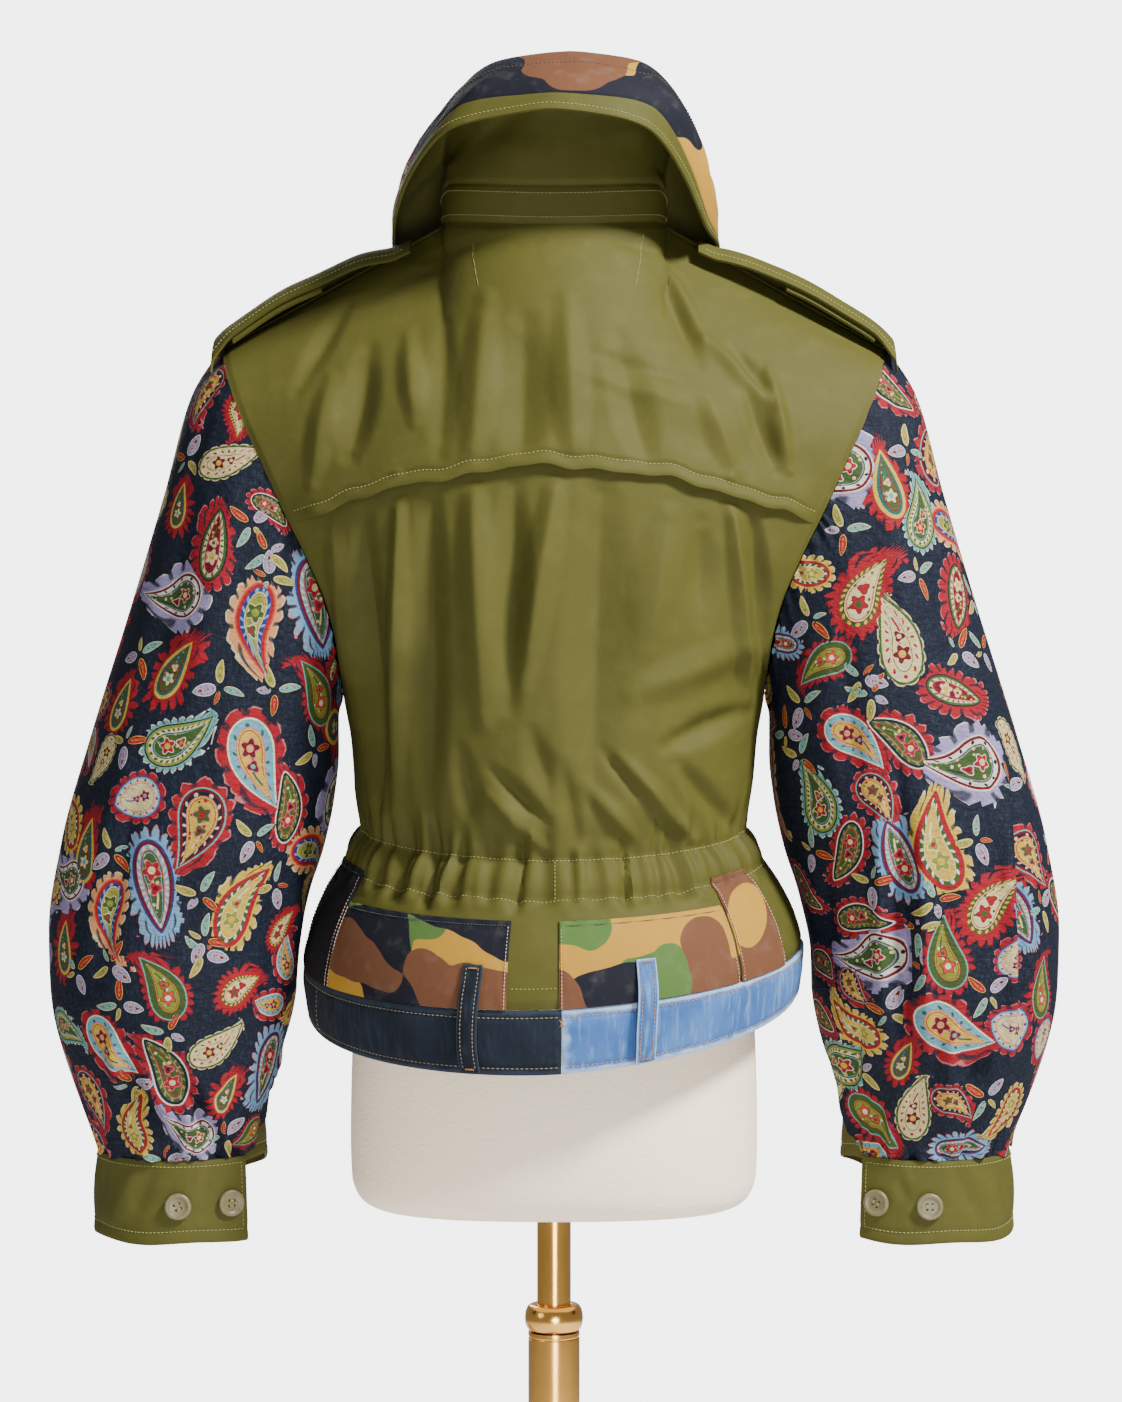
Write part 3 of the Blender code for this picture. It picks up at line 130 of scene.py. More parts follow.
class Finish:
    """One material and its nodes."""

    def __init__(self, name, roughness, metallic=0.0, sheen=0.0, gloss=0.5):
        self.name = name
        self.material = bpy.data.materials.new(name)
        self.material.use_nodes = True
        self.tree = self.material.node_tree
        self.shader = self.tree.nodes["Principled BSDF"]
        settings = {"Roughness": roughness, "Metallic": metallic, "Specular IOR Level": gloss,
                    "Sheen Weight": sheen, "Sheen Roughness": 0.4}
        for key, setting in settings.items():
            self.shader.inputs[key].default_value = setting

    def feed(self, socket, value):
        if isinstance(value, Value):
            self.tree.links.new(value.socket, socket)
        else:
            socket.default_value = value

    def node(self, kind, settings=None, inputs=None):
        made = self.tree.nodes.new("ShaderNode" + kind)
        for key, value in (settings or {}).items():
            if key == "stops":
                self.set_stops(made.color_ramp, value)
            else:
                setattr(made, key, value)
        for key, value in (inputs or {}).items():
            self.feed(made.inputs[key], value)
        return made

    def set_stops(self, ramp, stops):
        while len(ramp.elements) < len(stops):
            ramp.elements.new(1.0)
        for element, (place, colour) in zip(ramp.elements, stops):
            element.position = place
            element.color = (*colour, 1.0)
        ramp.interpolation = "CONSTANT"

    def value(self, made, key=0):
        return Value(self, made.outputs[key])

    def math(self, operation, *terms):
        made = self.node("Math", {"operation": operation})
        for socket, term in zip(made.inputs, terms):
            self.feed(socket, term)
        return self.value(made)

    def step(self, value, low, high):
        """0 up to low, 1 from high on, and a soft rise between them; low may be the greater."""
        made = self.node("MapRange", {"interpolation_type": "SMOOTHSTEP"},
                         {"Value": value, "From Min": low, "From Max": high})
        return self.value(made)

    def length(self, across, up):
        return self.math("SQRT", across * across + up * up)

    def mix(self, share, first, second):
        colours = [c if isinstance(c, Value) else (*c, 1.0) for c in (first, second)]
        made = self.node("Mix", {"data_type": "RGBA"}, {0: share, 6: colours[0], 7: colours[1]})
        return self.value(made, 2)

    def layered(self, ground, layers):
        """Colours laid over a ground in turn, each where its own mask is 1."""
        for mask, colour in layers:
            ground = self.mix(mask, ground, colour)
        return ground

    def attribute(self, name, key="Fac"):
        return self.value(self.node("Attribute", {"attribute_name": name}), key)

    def parts(self, vector):
        made = self.node("SeparateXYZ", inputs={0: vector})
        return [self.value(made, axis) for axis in range(3)]

    def place(self, stretch=(1.0, 1.0, 1.0)):
        """Where a point of the surface is, in metres, stretched."""
        here = self.value(self.node("TexCoord"), "Object")
        made = self.node("VectorMath", {"operation": "MULTIPLY"}, {0: here, 1: stretch})
        return self.value(made)

    def noise(self, scale, detail=2.0, at=None, distortion=0.0):
        inputs = {"Vector": at or self.place(), "Scale": scale, "Detail": detail, "Distortion": distortion}
        return self.value(self.node("TexNoise", inputs=inputs), "Fac")

    def bump(self, height, distance):
        made = self.node("Bump", inputs={"Strength": 1.0, "Distance": distance, "Height": height})
        self.tree.links.new(made.outputs["Normal"], self.shader.inputs["Normal"])

    def colour(self, value):
        self.feed(self.shader.inputs["Base Color"], value)


floor_paint = Finish("pale_floor", 0.6)
floor_paint.colour(floor_paint.mix(floor_paint.noise(3.0), *FLOOR_COLOURS))
floor_turns = [2 * math.pi * k / FLOOR_SIDES for k in range(FLOOR_SIDES)]
floor_rim = [(FLOOR_RADIUS * math.cos(turn), FLOOR_RADIUS * math.sin(turn), 0) for turn in floor_turns]
floor_mesh = bpy.data.meshes.new("floor")
floor_mesh.from_pydata(floor_rim, [], [tuple(range(FLOOR_SIDES))])
floor_mesh.materials.append(floor_paint.material)
floor = bpy.data.objects.new("floor", floor_mesh)
bpy.context.scene.collection.objects.link(floor)


# ---------------------------------------------------------------- the torso's form
# The body of the jacket is cut full, drawn in by a cord round the waist and flared to the hem. Its sections
# run from the hem to the shoulder seam. Back and front each go from one side seam or armhole to the other.

TORSO_COLUMNS = ("level", "half_width", "edge_height", "edge_back", "edge_front",
                 "back_height", "back_depth", "front_height", "front_depth", "openness")
TORSO_ROWS = (
    (0.000, 0.1800, 0.757, 0.000, 0.000, 0.715, 0.152, 0.744, -0.138, 0.00),
    (0.075, 0.1830, 0.790, 0.000, 0.000, 0.760, 0.156, 0.786, -0.142, 0.00),
    (0.120, 0.1780, 0.813, 0.000, 0.000, 0.789, 0.152, 0.811, -0.138, 0.00),
    (0.165, 0.1670, 0.838, 0.000, 0.000, 0.816, 0.142, 0.835, -0.130, 0.00),
    (0.205, 0.1520, 0.862, 0.000, 0.000, 0.839, 0.130, 0.858, -0.120, 0.00),
    (0.250, 0.1415, 0.887, 0.000, 0.000, 0.866, 0.121, 0.882, -0.113, 0.00),
    (0.300, 0.1470, 0.915, 0.000, 0.000, 0.897, 0.127, 0.908, -0.117, 0.00),
    (0.370, 0.1500, 0.947, 0.000, 0.000, 0.940, 0.130, 0.945, -0.124, 0.00),
    (0.440, 0.1555, 0.980, 0.000, 0.000, 0.981, 0.131, 0.985, -0.131, 0.00),
    (0.510, 0.1580, 1.010, 0.046, -0.047, 1.023, 0.131, 1.025, -0.137, 0.25),
    (0.580, 0.1645, 1.042, 0.062, -0.063, 1.065, 0.130, 1.068, -0.140, 0.55),
    (0.650, 0.1775, 1.075, 0.071, -0.071, 1.108, 0.128, 1.110, -0.138, 0.80),
    (0.720, 0.1945, 1.110, 0.073, -0.073, 1.150, 0.125, 1.150, -0.131, 0.95),
    (0.790, 0.2105, 1.145, 0.070, -0.069, 1.192, 0.117, 1.188, -0.121, 1.00),
    (0.860, 0.2260, 1.179, 0.060, -0.058, 1.233, 0.105, 1.222, -0.108, 1.00),
    (0.930, 0.2385, 1.211, 0.042, -0.040, 1.276, 0.087, 1.248, -0.098, 1.00),
    (1.000, 0.2460, 1.235, 0.000, 0.000, 1.318, 0.062, 1.262, -0.088, 1.00),
)
NECK_SHARE = 5 / 14                 # share of the top edge, from the middle, that is neckline
NECK_SIDE = (0.083, 1.326)          # x and z where the shoulder seam meets the neckline
SHOULDER_TIP = (0.246, 1.235)       # x and z of the shoulder seam's outer end
EDGE_POWER = 1.7                    # how late a section's line turns down from its middle to its edge
HEM_TILT = 0.010                    # the hem hangs this much lower at the wearer's left side,
HEM_TILT_LEVEL = 0.25               # and the tilt fades out up to here
TOP_FROM = 0.78                     # from here up the sections bend towards the top edge
UNDERARM_LEVEL = 0.44
YOKE_LEVEL = 0.70
BAND_LEVEL = 0.075
CLOTH = 1.6 * MM


def table(rows, names):
    """The rows as one array for each named column."""
    values = np.array(rows, float)
    return {name: values[:, i] for i, name in enumerate(names)}


def segment(xs, at):
    """Which span of xs each place is in, how long it is, and the share of it that the place has passed."""
    i = np.clip(np.searchsorted(xs, at, side="right") - 1, 0, len(xs) - 2)
    span = xs[i + 1] - xs[i]
    return i, span, np.clip((at - xs[i]) / span, 0.0, 1.0)


def cubic(u, span, start, start_slope, end, end_slope):
    """A smooth way from start to end that leaves and arrives with the given slopes."""
    return ((2 * u**3 - 3 * u**2 + 1) * start + (u**3 - 2 * u**2 + u) * span * start_slope
            + (3 * u**2 - 2 * u**3) * end + (u**3 - u**2) * span * end_slope)


def smooth_curve(xs, ys, at):
    """A curve through the points (xs, ys), read at the given places: cubic, and never past its points."""
    rises = np.diff(ys) / np.diff(xs)
    before, after = rises[:-1], rises[1:]
    total = np.where(before * after > 0, before + after, 1.0)
    between = np.where(before * after > 0, 2 * before * after / total, 0.0)
    slopes = np.concatenate([rises[:1], between, rises[-1:]])
    i, span, u = segment(xs, at)
    return cubic(u, span, ys[i], slopes[i], ys[i + 1], slopes[i + 1])


def read(columns, name, at):
    """A table's column as a smooth curve along the table's first column."""
    return smooth_curve(next(iter(columns.values())), columns[name], at)


def matched(*values):
    """The values as arrays of one shape."""
    return np.broadcast_arrays(*(np.asarray(value, float) for value in values))


def stacked(*parts):
    """Points from their x, y and z."""
    return np.stack(np.broadcast_arrays(*parts), axis=-1)


def unit(vectors):
    return vectors / np.maximum(np.linalg.norm(vectors, axis=-1, keepdims=True), 1e-12)


def smoothstep(low, high, value):
    """0 at low and beyond it, 1 at high, whichever of them is the greater."""
    u = np.clip((value - low) / (high - low), 0.0, 1.0)
    return u * u * (3 - 2 * u)


def bell(distance):
    """1 at the middle, 0 from distance 1 outwards."""
    return np.square(np.clip(1 - distance * distance, 0.0, 1.0))


TORSO = table(TORSO_ROWS, TORSO_COLUMNS)


def torso_top(side, across):
    """The top edge: the neckline in the middle, then the shoulder seam."""
    way = "back" if side > 0 else "front"
    mid_height, mid_depth = TORSO[way + "_height"][-1], TORSO[way + "_depth"][-1]
    turn = np.clip(np.abs(across) / NECK_SHARE, 0, 1) * math.pi / 2
    out = np.clip((np.abs(across) - NECK_SHARE) / (1 - NECK_SHARE), 0, 1)
    x = NECK_SIDE[0] * np.sin(turn) + (SHOULDER_TIP[0] - NECK_SIDE[0]) * out
    z = mid_height + (NECK_SIDE[1] - mid_height) * np.sin(turn)**2 + (SHOULDER_TIP[1] - NECK_SIDE[1]) * out
    return stacked(x * np.sign(across), mid_depth * np.cos(turn), z)


def torso_section(side, across, level):
    half_turn = math.pi / 2 * across
    way = "back" if side > 0 else "front"
    names = ("openness", "edge_" + way, way + "_depth", "edge_height", way + "_height", "half_width")
    open_share, edge_y, mid_y, edge_z, mid_z, width = [read(TORSO, name, level) for name in names]
    x = width * ((1 - open_share) * np.sin(half_turn) + open_share * across)
    y = edge_y + (mid_y - edge_y) * np.cos(half_turn)
    tilt = HEM_TILT * np.sin(half_turn) * smoothstep(HEM_TILT_LEVEL, 0.0, level)
    return stacked(x, y, mid_z + (edge_z - mid_z) * np.abs(across)**EDGE_POWER - tilt)


def torso(side, across, level):
    """Point of the torso's plain outer surface. side is +1 for the back and -1 for the front, across runs
    from -1 to 1 at the wearer's left, and level from 0 at the hem to 1 at the shoulder seam."""
    across, level = matched(across, level)
    plain = torso_section(side, across, level)
    lift = torso_top(side, across) - torso_section(side, across, np.ones_like(level))
    return plain + lift * smoothstep(TOP_FROM, 1.0, level)[..., None]


def surface_normal(point_at, u, v, u_range, v_range, outwards=1.0):
    """Unit normals of the surface point_at(u, v), from small steps that stay inside its ranges."""
    step = 2e-3
    u0, u1 = np.clip(u - step, *u_range), np.clip(u + step, *u_range)
    v0, v1 = np.clip(v - step, *v_range), np.clip(v + step, *v_range)
    return unit(np.cross(point_at(u1, v) - point_at(u0, v), point_at(u, v1) - point_at(u, v0))) * outwards


def torso_normal(side, across, level):
    across, level = matched(across, level)
    return surface_normal(lambda a, t: torso(side, a, t), across, level, (-1, 1), (0, 1), -side)


# Creases of the torso, as they lie on the plain surface, in millimetres: x and z from, x and z to, half
# width, and height, which is below 0 for a trough. x is from the middle and z from the floor.
BACK_CREASES = (
    (48, 1262, 57, 1138, 14, 6.0), (21, 1244, 22, 1134, 20, -7.0), (-9, 1260, -14, 1138, 14, 5.6),
    (-46, 1232, -66, 1138, 16, -6.0), (78, 1244, 80, 1148, 12, -4.2), (104, 1236, 98, 1172, 11, 5.6),
    (133, 1226, 145, 1148, 15, -8.2), (160, 1206, 172, 1130, 11, 4.6), (150, 1266, 186, 1196, 10, -4.0),
    (-75, 1300, -107, 1234, 8, 5.6), (-107, 1236, -158, 1184, 8, 5.4), (-84, 1268, -104, 1216, 10, -6.0),
    (-128, 1228, -156, 1190, 8, -5.6), (-154, 1212, -168, 1138, 8, 6.0), (-138, 1196, -158, 1138, 9, -6.2),
    (-108, 1190, -128, 1138, 12, 5.0), (-22, 1222, -112, 1196, 6, -2.4), (-18, 1206, -96, 1184, 8, 2.2),
    (30, 1312, 96, 1298, 8, -2.6), (-24, 1314, -88, 1296, 7, -2.6), (60, 1302, 150, 1262, 9, -2.2),
    (57, 1136, 49, 960, 15, 8.6), (28, 1128, 31, 970, 14, -8.8), (-3, 1136, 22, 985, 13, 8.0),
    (-34, 1120, -28, 900, 25, -9.6), (87, 1124, 89, 900, 15, -9.6), (109, 1132, 112, 896, 9, 8.4),
    (136, 1112, 124, 900, 13, -9.4), (158, 1104, 146, 960, 11, 5.0), (-80, 1104, -66, 1010, 19, 6.4),
    (-104, 1100, -106, 1030, 13, -5.0), (-124, 1132, -140, 970, 8, 8.0), (-141, 1112, -154, 1000, 9, -7.6),
    (-56, 978, -136, 1012, 15, 6.6), (-78, 942, -140, 968, 11, -8.6), (-46, 934, -98, 876, 9, 8.6),
    (-88, 930, -128, 884, 10, -7.6), (-24, 914, -58, 876, 8, 5.6), (-34, 940, -70, 900, 7, -5.2),
    (46, 908, 6, 870, 8, 7.4), (44, 926, 4, 888, 7, -6.6), (66, 940, 54, 878, 10, -5.2),
    (16, 952, 0, 904, 12, -5.4), (-6, 930, -16, 876, 9, -5.0),
)
FRONT_CREASES = (
    (110, 1120, 104, 900, 15, -6.5), (84, 1110, 88, 892, 15, 7.0), (54, 1060, 66, 900, 12, -5.2),
    (-110, 1110, -102, 905, 15, -6.5), (-82, 1120, -90, 890, 15, 7.0), (-52, 1070, -62, 895, 12, -5.2),
    (132, 1200, 176, 1120, 11, -5.2), (-132, 1210, -172, 1110, 11, -5.2), (70, 1240, 60, 1130, 17, 4.4),
    (-66, 1236, -58, 1120, 17, 4.4), (110, 1240, 128, 1130, 13, -4.2), (-104, 1244, -124, 1140, 13, -4.2),
    (124, 1000, 70, 930, 9, 5.2), (-126, 1005, -76, 925, 9, 5.2), (36, 970, 48, 885, 9, 4.5),
    (-34, 965, -50, 880, 9, 4.5),
)


def beside_line(at, start, end):
    """How far along from start to end the nearest point to each place is, from 0 to 1, and how far off."""
    run = end - start
    along = np.clip((at - start) @ run / max(run @ run, 1e-9), 0, 1)
    return along, np.linalg.norm(at - start - along[..., None] * run, axis=-1)


def creased(points, rows):
    """How far the creases move a surface out at its plain points."""
    relief = np.zeros(points.shape[:-1])
    for x_from, z_from, x_to, z_to, half_width, height in rows:
        start, end = np.array([x_from, z_from]) * MM, np.array([x_to, z_to]) * MM
        along, away = beside_line(points[..., [0, 2]], start, end)
        width = half_width * MM * (0.75 + 0.5 * np.sin(math.pi * along))
        taper = np.sin(math.pi * np.clip(along, 0.06, 0.94))**0.7
        crisp = np.clip(1 - away / width, 0, 1)**2
        relief += height * MM * (0.6 * bell(away / width) + 0.4 * crisp) * taper
    return relief


# The cord's channel: two rows of stitches with the cloth bunched between them. Each gather has its own place,
# height, lean and reach above and below.
CHANNEL_LOW = 0.197
CHANNEL_HIGH = 0.243
GATHERS = 34
GATHER_HEIGHT = 5.4 * MM
CHANNEL_PUFF = 2.4 * MM


def gathered(side, across, level):
    """How far the drawn-in cloth stands out round the cord's channel."""
    pick = np.random.default_rng(11 if side > 0 else 23)
    middle = (CHANNEL_LOW + CHANNEL_HIGH) / 2
    relief = np.zeros(across.shape)
    places = np.linspace(-1, 1, GATHERS) + pick.uniform(-0.018, 0.018, GATHERS)
    for place in places:
        width = pick.uniform(0.022, 0.040)
        height = pick.uniform(0.35, 1.0) * (1 if pick.random() < 0.6 else -1)
        up, down = pick.uniform(0.02, 0.10), pick.uniform(0.010, 0.028)
        lean = pick.uniform(-0.35, 0.35)
        reach = np.where(level > CHANNEL_HIGH, (level - CHANNEL_HIGH) / up,
                         np.where(level < CHANNEL_LOW, (CHANNEL_LOW - level) / down, 0.0))
        spread = 1 + 0.8 * np.clip(reach, 0, 1)
        relief += height * bell((across - place - lean * (level - middle)) / (width * spread)) * bell(reach)
    half_height = (CHANNEL_HIGH - CHANNEL_LOW) / 2
    puff = bell((level - middle) / half_height) - 0.6 * bell((level - CHANNEL_LOW) / 0.010)
    puff -= 0.6 * bell((level - CHANNEL_HIGH) / 0.010)
    return GATHER_HEIGHT * relief + CHANNEL_PUFF * puff


def torso_relief(side, across, level):
    """Creases and gathers, fading out at the side seams, at the armholes and under the waistband."""
    rim = smoothstep(0.0, 0.10, 1 - np.abs(across)) * smoothstep(0.05, 0.12, level)
    rows = BACK_CREASES if side > 0 else FRONT_CREASES
    seam = smoothstep(0.004, 0.03, np.abs(level - YOKE_LEVEL)) if side > 0 else 1.0
    top = smoothstep(1.0, 0.97, level)
    return (creased(torso(side, across, level), rows) * seam * top + gathered(side, across, level)) * rim


def seamed_normal(side, across, level):
    """The plain normal, but for one shared by back and front on the side seams."""
    normal = torso_normal(side, across, level)
    seam = (np.abs(across) > 1 - 1e-9) & (level <= UNDERARM_LEVEL)
    return np.where(seam[..., None], unit(normal + torso_normal(-side, across, level)), normal)


def torso_surface(side, across, level, proud=0.0):
    """Point of the creased outer surface, this far out, and its plain normal."""
    across, level = matched(across, level)
    normal = seamed_normal(side, across, level)
    out = torso_relief(side, across, level) + proud
    return torso(side, across, level) + normal * out[..., None], normal


def measured(points):
    """Lengths along a grid's columns and rows, as a cloth's own coordinates in metres."""
    steps = np.linalg.norm(np.diff(points, axis=1), axis=-1).mean(axis=0)
    rises = np.linalg.norm(np.diff(points, axis=0), axis=-1).mean(axis=1)
    u, v = np.concatenate([[0], np.cumsum(steps)]), np.concatenate([[0], np.cumsum(rises)])
    return np.stack(np.meshgrid(u, v), axis=-1)


def smooth_solid(name, points, faces, sharp, grain=None):
    """A closed mesh that faces outwards, smooth but at edges sharper than the given degrees."""
    mesh = bpy.data.meshes.new(name)
    mesh.from_pydata(points, [], faces)
    if grain is not None:
        mesh.uv_layers.new(name="cloth").data.foreach_set("uv", grain)
    if sum(face.center.dot(face.normal) * face.area for face in mesh.polygons) < 0:
        mesh.flip_normals()
    mesh.shade_smooth()
    mesh.set_sharp_from_angle(angle=math.radians(sharp))
    return mesh


def put_piece(name, mesh, finish, body="form", node=None):
    """Puts a mesh in the scene: it rides on a body and, where a node is named, stands in for it."""
    mesh.materials.clear()
    mesh.materials.append(finish.material)
    obj = bpy.data.objects.new(name, mesh)
    bpy.context.scene.collection.objects.link(obj)
    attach(obj, body)
    if node:
        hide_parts(node)
    return obj


def cloth_body(name, outer, inward, thick, finish, closed=False, node=None):
    """A piece of cloth as a thin closed shell. The outer side has every point of the grid, the inner side
    every second one. A closed grid's last column runs on to its first."""
    rows, cols = outer.shape[:2]
    inner = (outer + inward * thick)[::2, ::2]
    in_rows, in_cols = inner.shape[:2]
    grain = measured(np.concatenate([outer, outer[:, :1]], axis=1) if closed else outer)
    faces, places = [], []
    for high, wide, step, first, row_steps, col_steps in (
            (rows, cols, 1, 0, (0, 0, 1, 1), (0, 1, 1, 0)),
            (in_rows, in_cols, 2, rows * cols, (0, 1, 1, 0), (0, 0, 1, 1))):
        row, col = np.meshgrid(np.arange(high - 1), np.arange(wide if closed else wide - 1), indexing="ij")
        row, col = row.reshape(-1, 1) + row_steps, col.reshape(-1, 1) + col_steps
        faces.append(first + row * wide + col % wide)
        places.append(grain[row * step, col * step])

    along, up = np.arange(cols + 1 if closed else cols), np.arange(rows)
    rims = [(0 * along, along), (0 * along + rows - 1, along[::-1])]
    if not closed:
        rims += [(up, 0 * up + cols - 1), (up[::-1], 0 * up)]
    for row, col in rims:
        edge = row * cols + col % cols
        far = (rows * cols + row // 2 * in_cols + col // 2 % in_cols)[::2]
        spot = grain[row, col]
        faces.append(np.stack([edge[2::2], edge[1::2], edge[:-2:2], far[:-1], far[1:]], axis=1))
        places.append(np.stack([spot[2::2], spot[1::2], spot[:-2:2], spot[:-2:2], spot[2::2]], axis=1))

    points = np.concatenate([outer.reshape(-1, 3), inner.reshape(-1, 3)]).tolist()
    corners = np.concatenate([spot.reshape(-1, 2) for spot in places]).ravel()
    mesh = smooth_solid(name, points, [face for group in faces for face in group.tolist()], 55, corners)
    obj = put_piece(name, mesh, finish, node=node)
    return obj


# ---------------------------------------------------------------- the back, the yoke and the two fronts
# Olive-green cotton sateen. The yoke's lower edge laps over the back and is folded, with stitches above the
# fold. The cord's channel is stitched above and below, and once upright in the middle of the back.

OLIVE_DARK = (0.034, 0.031, 0.0047)
OLIVE = (0.066, 0.062, 0.0098)
OLIVE_LIGHT = (0.107, 0.101, 0.026)
TWILL = 1 / (0.9 * MM)              # ribs of the weave in a metre


def woven(finish, lean, pitch=TWILL):
    """The fine slanting ribs of a twill, from the cloth's own coordinates."""
    u, v, _ = finish.parts(finish.value(finish.node("UVMap", {"uv_map": "cloth"})))
    return finish.math("SINE", (u + v * lean) * (2 * math.pi * pitch)) * 0.5 + 0.5


def olive_finish():
    finish = Finish("olive_cotton", 0.68, gloss=0.16)
    cloudy = finish.noise(7.0, 2.0)
    rubbed = finish.noise(60.0, 2.0)
    ribs = woven(finish, 0.6)
    shade = finish.mix(finish.step(cloudy, 0.3, 0.7), OLIVE_DARK, OLIVE)
    layers = ((0.88, OLIVE), (finish.step(rubbed, 0.45, 0.8) * 0.18, OLIVE_LIGHT), (ribs * 0.16, OLIVE_DARK))
    finish.colour(finish.layered(shade, layers))
    crumple = finish.noise(30.0, 2.0, distortion=0.4) * 0.7 + finish.noise(210.0, 2.0) * 0.14
    finish.bump(crumple + ribs * 0.03, 0.0011)
    return finish


OLIVE_COTTON = olive_finish()
YOKE_PROUD = 3.4 * MM
YOKE_FADE = 0.07                    # levels over which the yoke settles back on to the shoulders
YOKE_SEWN = 0.015                   # levels from its folded edge up to its stitches
LAP_LEVEL = 0.72                    # the back runs on this far beneath the yoke
BACK_COLUMNS = 273
TORSO_TURN_IN = 1.1 * MM            # panels dip at their seams by this
TORSO_TURN_WIDTH = 0.022
CLOSER = 0.495                      # 0 for even steps across a panel, 1 for endlessly fine ones at its ends
PANEL_FOOT = BAND_LEVEL + 0.001


def closer_at_ends(start, end, count):
    """Even steps, but for finer ones at both ends, where a panel dips into its seam."""
    even = np.linspace(0, 1, count)
    return start + (end - start) * (even - CLOSER * np.sin(2 * math.pi * even) / (2 * math.pi))


def panel(side, acrosses, levels, seams, proud=0.0):
    """Outer points of a panel of the torso, dipped at the named seams, and its inward vectors."""
    across, level = np.meshgrid(acrosses, levels)
    dip = np.zeros(across.shape)
    spans = {"first": across - acrosses[0], "last": acrosses[-1] - across,
             "low": (level - levels[0]) * 2, "high": (levels[-1] - level) * 2}
    for seam in seams:
        dip = np.maximum(dip, bell(spans[seam] / TORSO_TURN_WIDTH))
    outer, normal = torso_surface(side, across, level, proud - dip * TORSO_TURN_IN)
    return outer, -normal


across = closer_at_ends(-1, 1, BACK_COLUMNS)
levels = closer_at_ends(PANEL_FOOT, LAP_LEVEL, 153)
outer, inward = panel(+1, across, levels, ("low", "first", "last"))
back = cloth_body("back_cloth", outer, inward, CLOTH, OLIVE_COTTON, node="back_panel")


def yoke_lift(across, level):
    """The yoke's folded lower edge stands off the back unevenly, but not at all at the armholes."""
    above = level - YOKE_LEVEL
    wave = 1 + 0.45 * np.sin(9 * across + 1.0) + 0.35 * np.sin(23 * across)
    ends = smoothstep(0.0, 0.14, 1 - np.abs(across))
    fold = 1.1 * MM * bell((above - 0.003) / 0.009) - 0.9 * MM * bell((above - YOKE_SEWN) / 0.005)
    return ends * ((YOKE_PROUD + MM * wave) * smoothstep(YOKE_FADE, 0.0, above) + fold)


def yoke_sway(across, level):
    """The folded edge runs a little up and down, as sewn by hand."""
    wave = np.sin(12.5 * across + 0.4) + 0.7 * np.sin(27 * across) + 0.5 * np.sin(43 * across + 1)
    ends = smoothstep(0.0, 0.2, 1 - np.abs(across))
    return 1.3 * MM * wave * ends * smoothstep(0.09, 0.0, level - YOKE_LEVEL)


levels = closer_at_ends(YOKE_LEVEL, 1.0, 91)
at = np.meshgrid(across, levels)
outer, inward = panel(+1, across, levels, ("first", "last", "high"), yoke_lift(*at))
outer[..., 2] += yoke_sway(*at)
yoke = cloth_body("yoke_cloth", outer, inward, CLOTH, OLIVE_COTTON, node="back_yoke")

levels = closer_at_ends(PANEL_FOOT, 1.0, 201)
fronts = []
for word, start, end in (("left", 0, 1), ("right", -1, 0)):
    outer, inward = panel(-1, closer_at_ends(start, end, 105), levels, ("low", "high", "first", "last"))
    front = cloth_body("front_cloth_" + word, outer, inward, CLOTH, OLIVE_COTTON, node="front_" + word)
    fronts.append(front)


# ---------------------------------------------------------------- sewing
# Rows of short stitches in matching or contrasting thread. Each stitch is a small arched bar that dips into
# the cloth at both ends.

STITCH_PITCH = 3.0 * MM
STITCH_LENGTH = 2.1 * MM
THREAD = 0.30 * MM                  # half a stitch's thickness
ON_CLOTH = 0.1 * MM                 # a row's path is this far off the cloth
LONG_ROWS = (0.185, -0.205)         # across: two upright rows of long stitches below the collar,
LONG_LEVELS = (0.915, 0.985)        # from and to
STRIP_ROW = (-0.010, 0.115)         # across, from and to: a short row on the strip between the patches,
STRIP_LEVEL = 0.098                 # at this level
STITCH_RINGS = (                    # along the stitch, up from its path and size, in its own measures
    (0.00, -0.6, 0.6),
    (0.25, 0.5, 1.0),
    (0.75, 0.5, 1.0),
    (1.00, -0.6, 0.6),
)
SEWN = {}


def thread_finish(name, colour):
    finish = Finish(name, 0.6)
    finish.colour(finish.mix(finish.noise(400.0), colour, tuple(0.7 * part for part in colour)))
    return finish


def run_along(line):
    """How far along a line each of its points is."""
    return np.concatenate([[0], np.cumsum(np.linalg.norm(np.diff(line, axis=0), axis=-1))])


def sew(group, path, normal, thread=THREAD, pitch=STITCH_PITCH, length=STITCH_LENGTH):
    """Adds a row of stitches along a path on the cloth to a group."""
    runs = run_along(path)

    def on_path(values, at):
        return np.array([np.interp(at, runs, values[:, k]) for k in range(3)])

    spare = runs[-1] - length
    points, faces = SEWN.setdefault(group, ([], []))
    for start in np.arange(min(pitch * 0.3, spare * 0.5), spare, pitch):
        first = len(points)
        for along, lift, size in STITCH_RINGS:
            at = start + along * length
            centre = on_path(path, at)
            out = unit(on_path(normal, at))
            side = unit(np.cross(on_path(path, at + 0.2 * MM) - centre, out))
            centre = centre + out * thread * lift
            points += [centre + side * thread * size, centre + out * thread * size,
                       centre - side * thread * size, centre - out * thread * size]
        for ring in range(len(STITCH_RINGS) - 1):
            for k in range(4):
                a, b = first + 4 * ring + k, first + 4 * ring + (k + 1) % 4
                faces.append((a, b, b + 4, a + 4))
        faces += [(first + 3, first + 2, first + 1, first), tuple(first + 12 + k for k in range(4))]


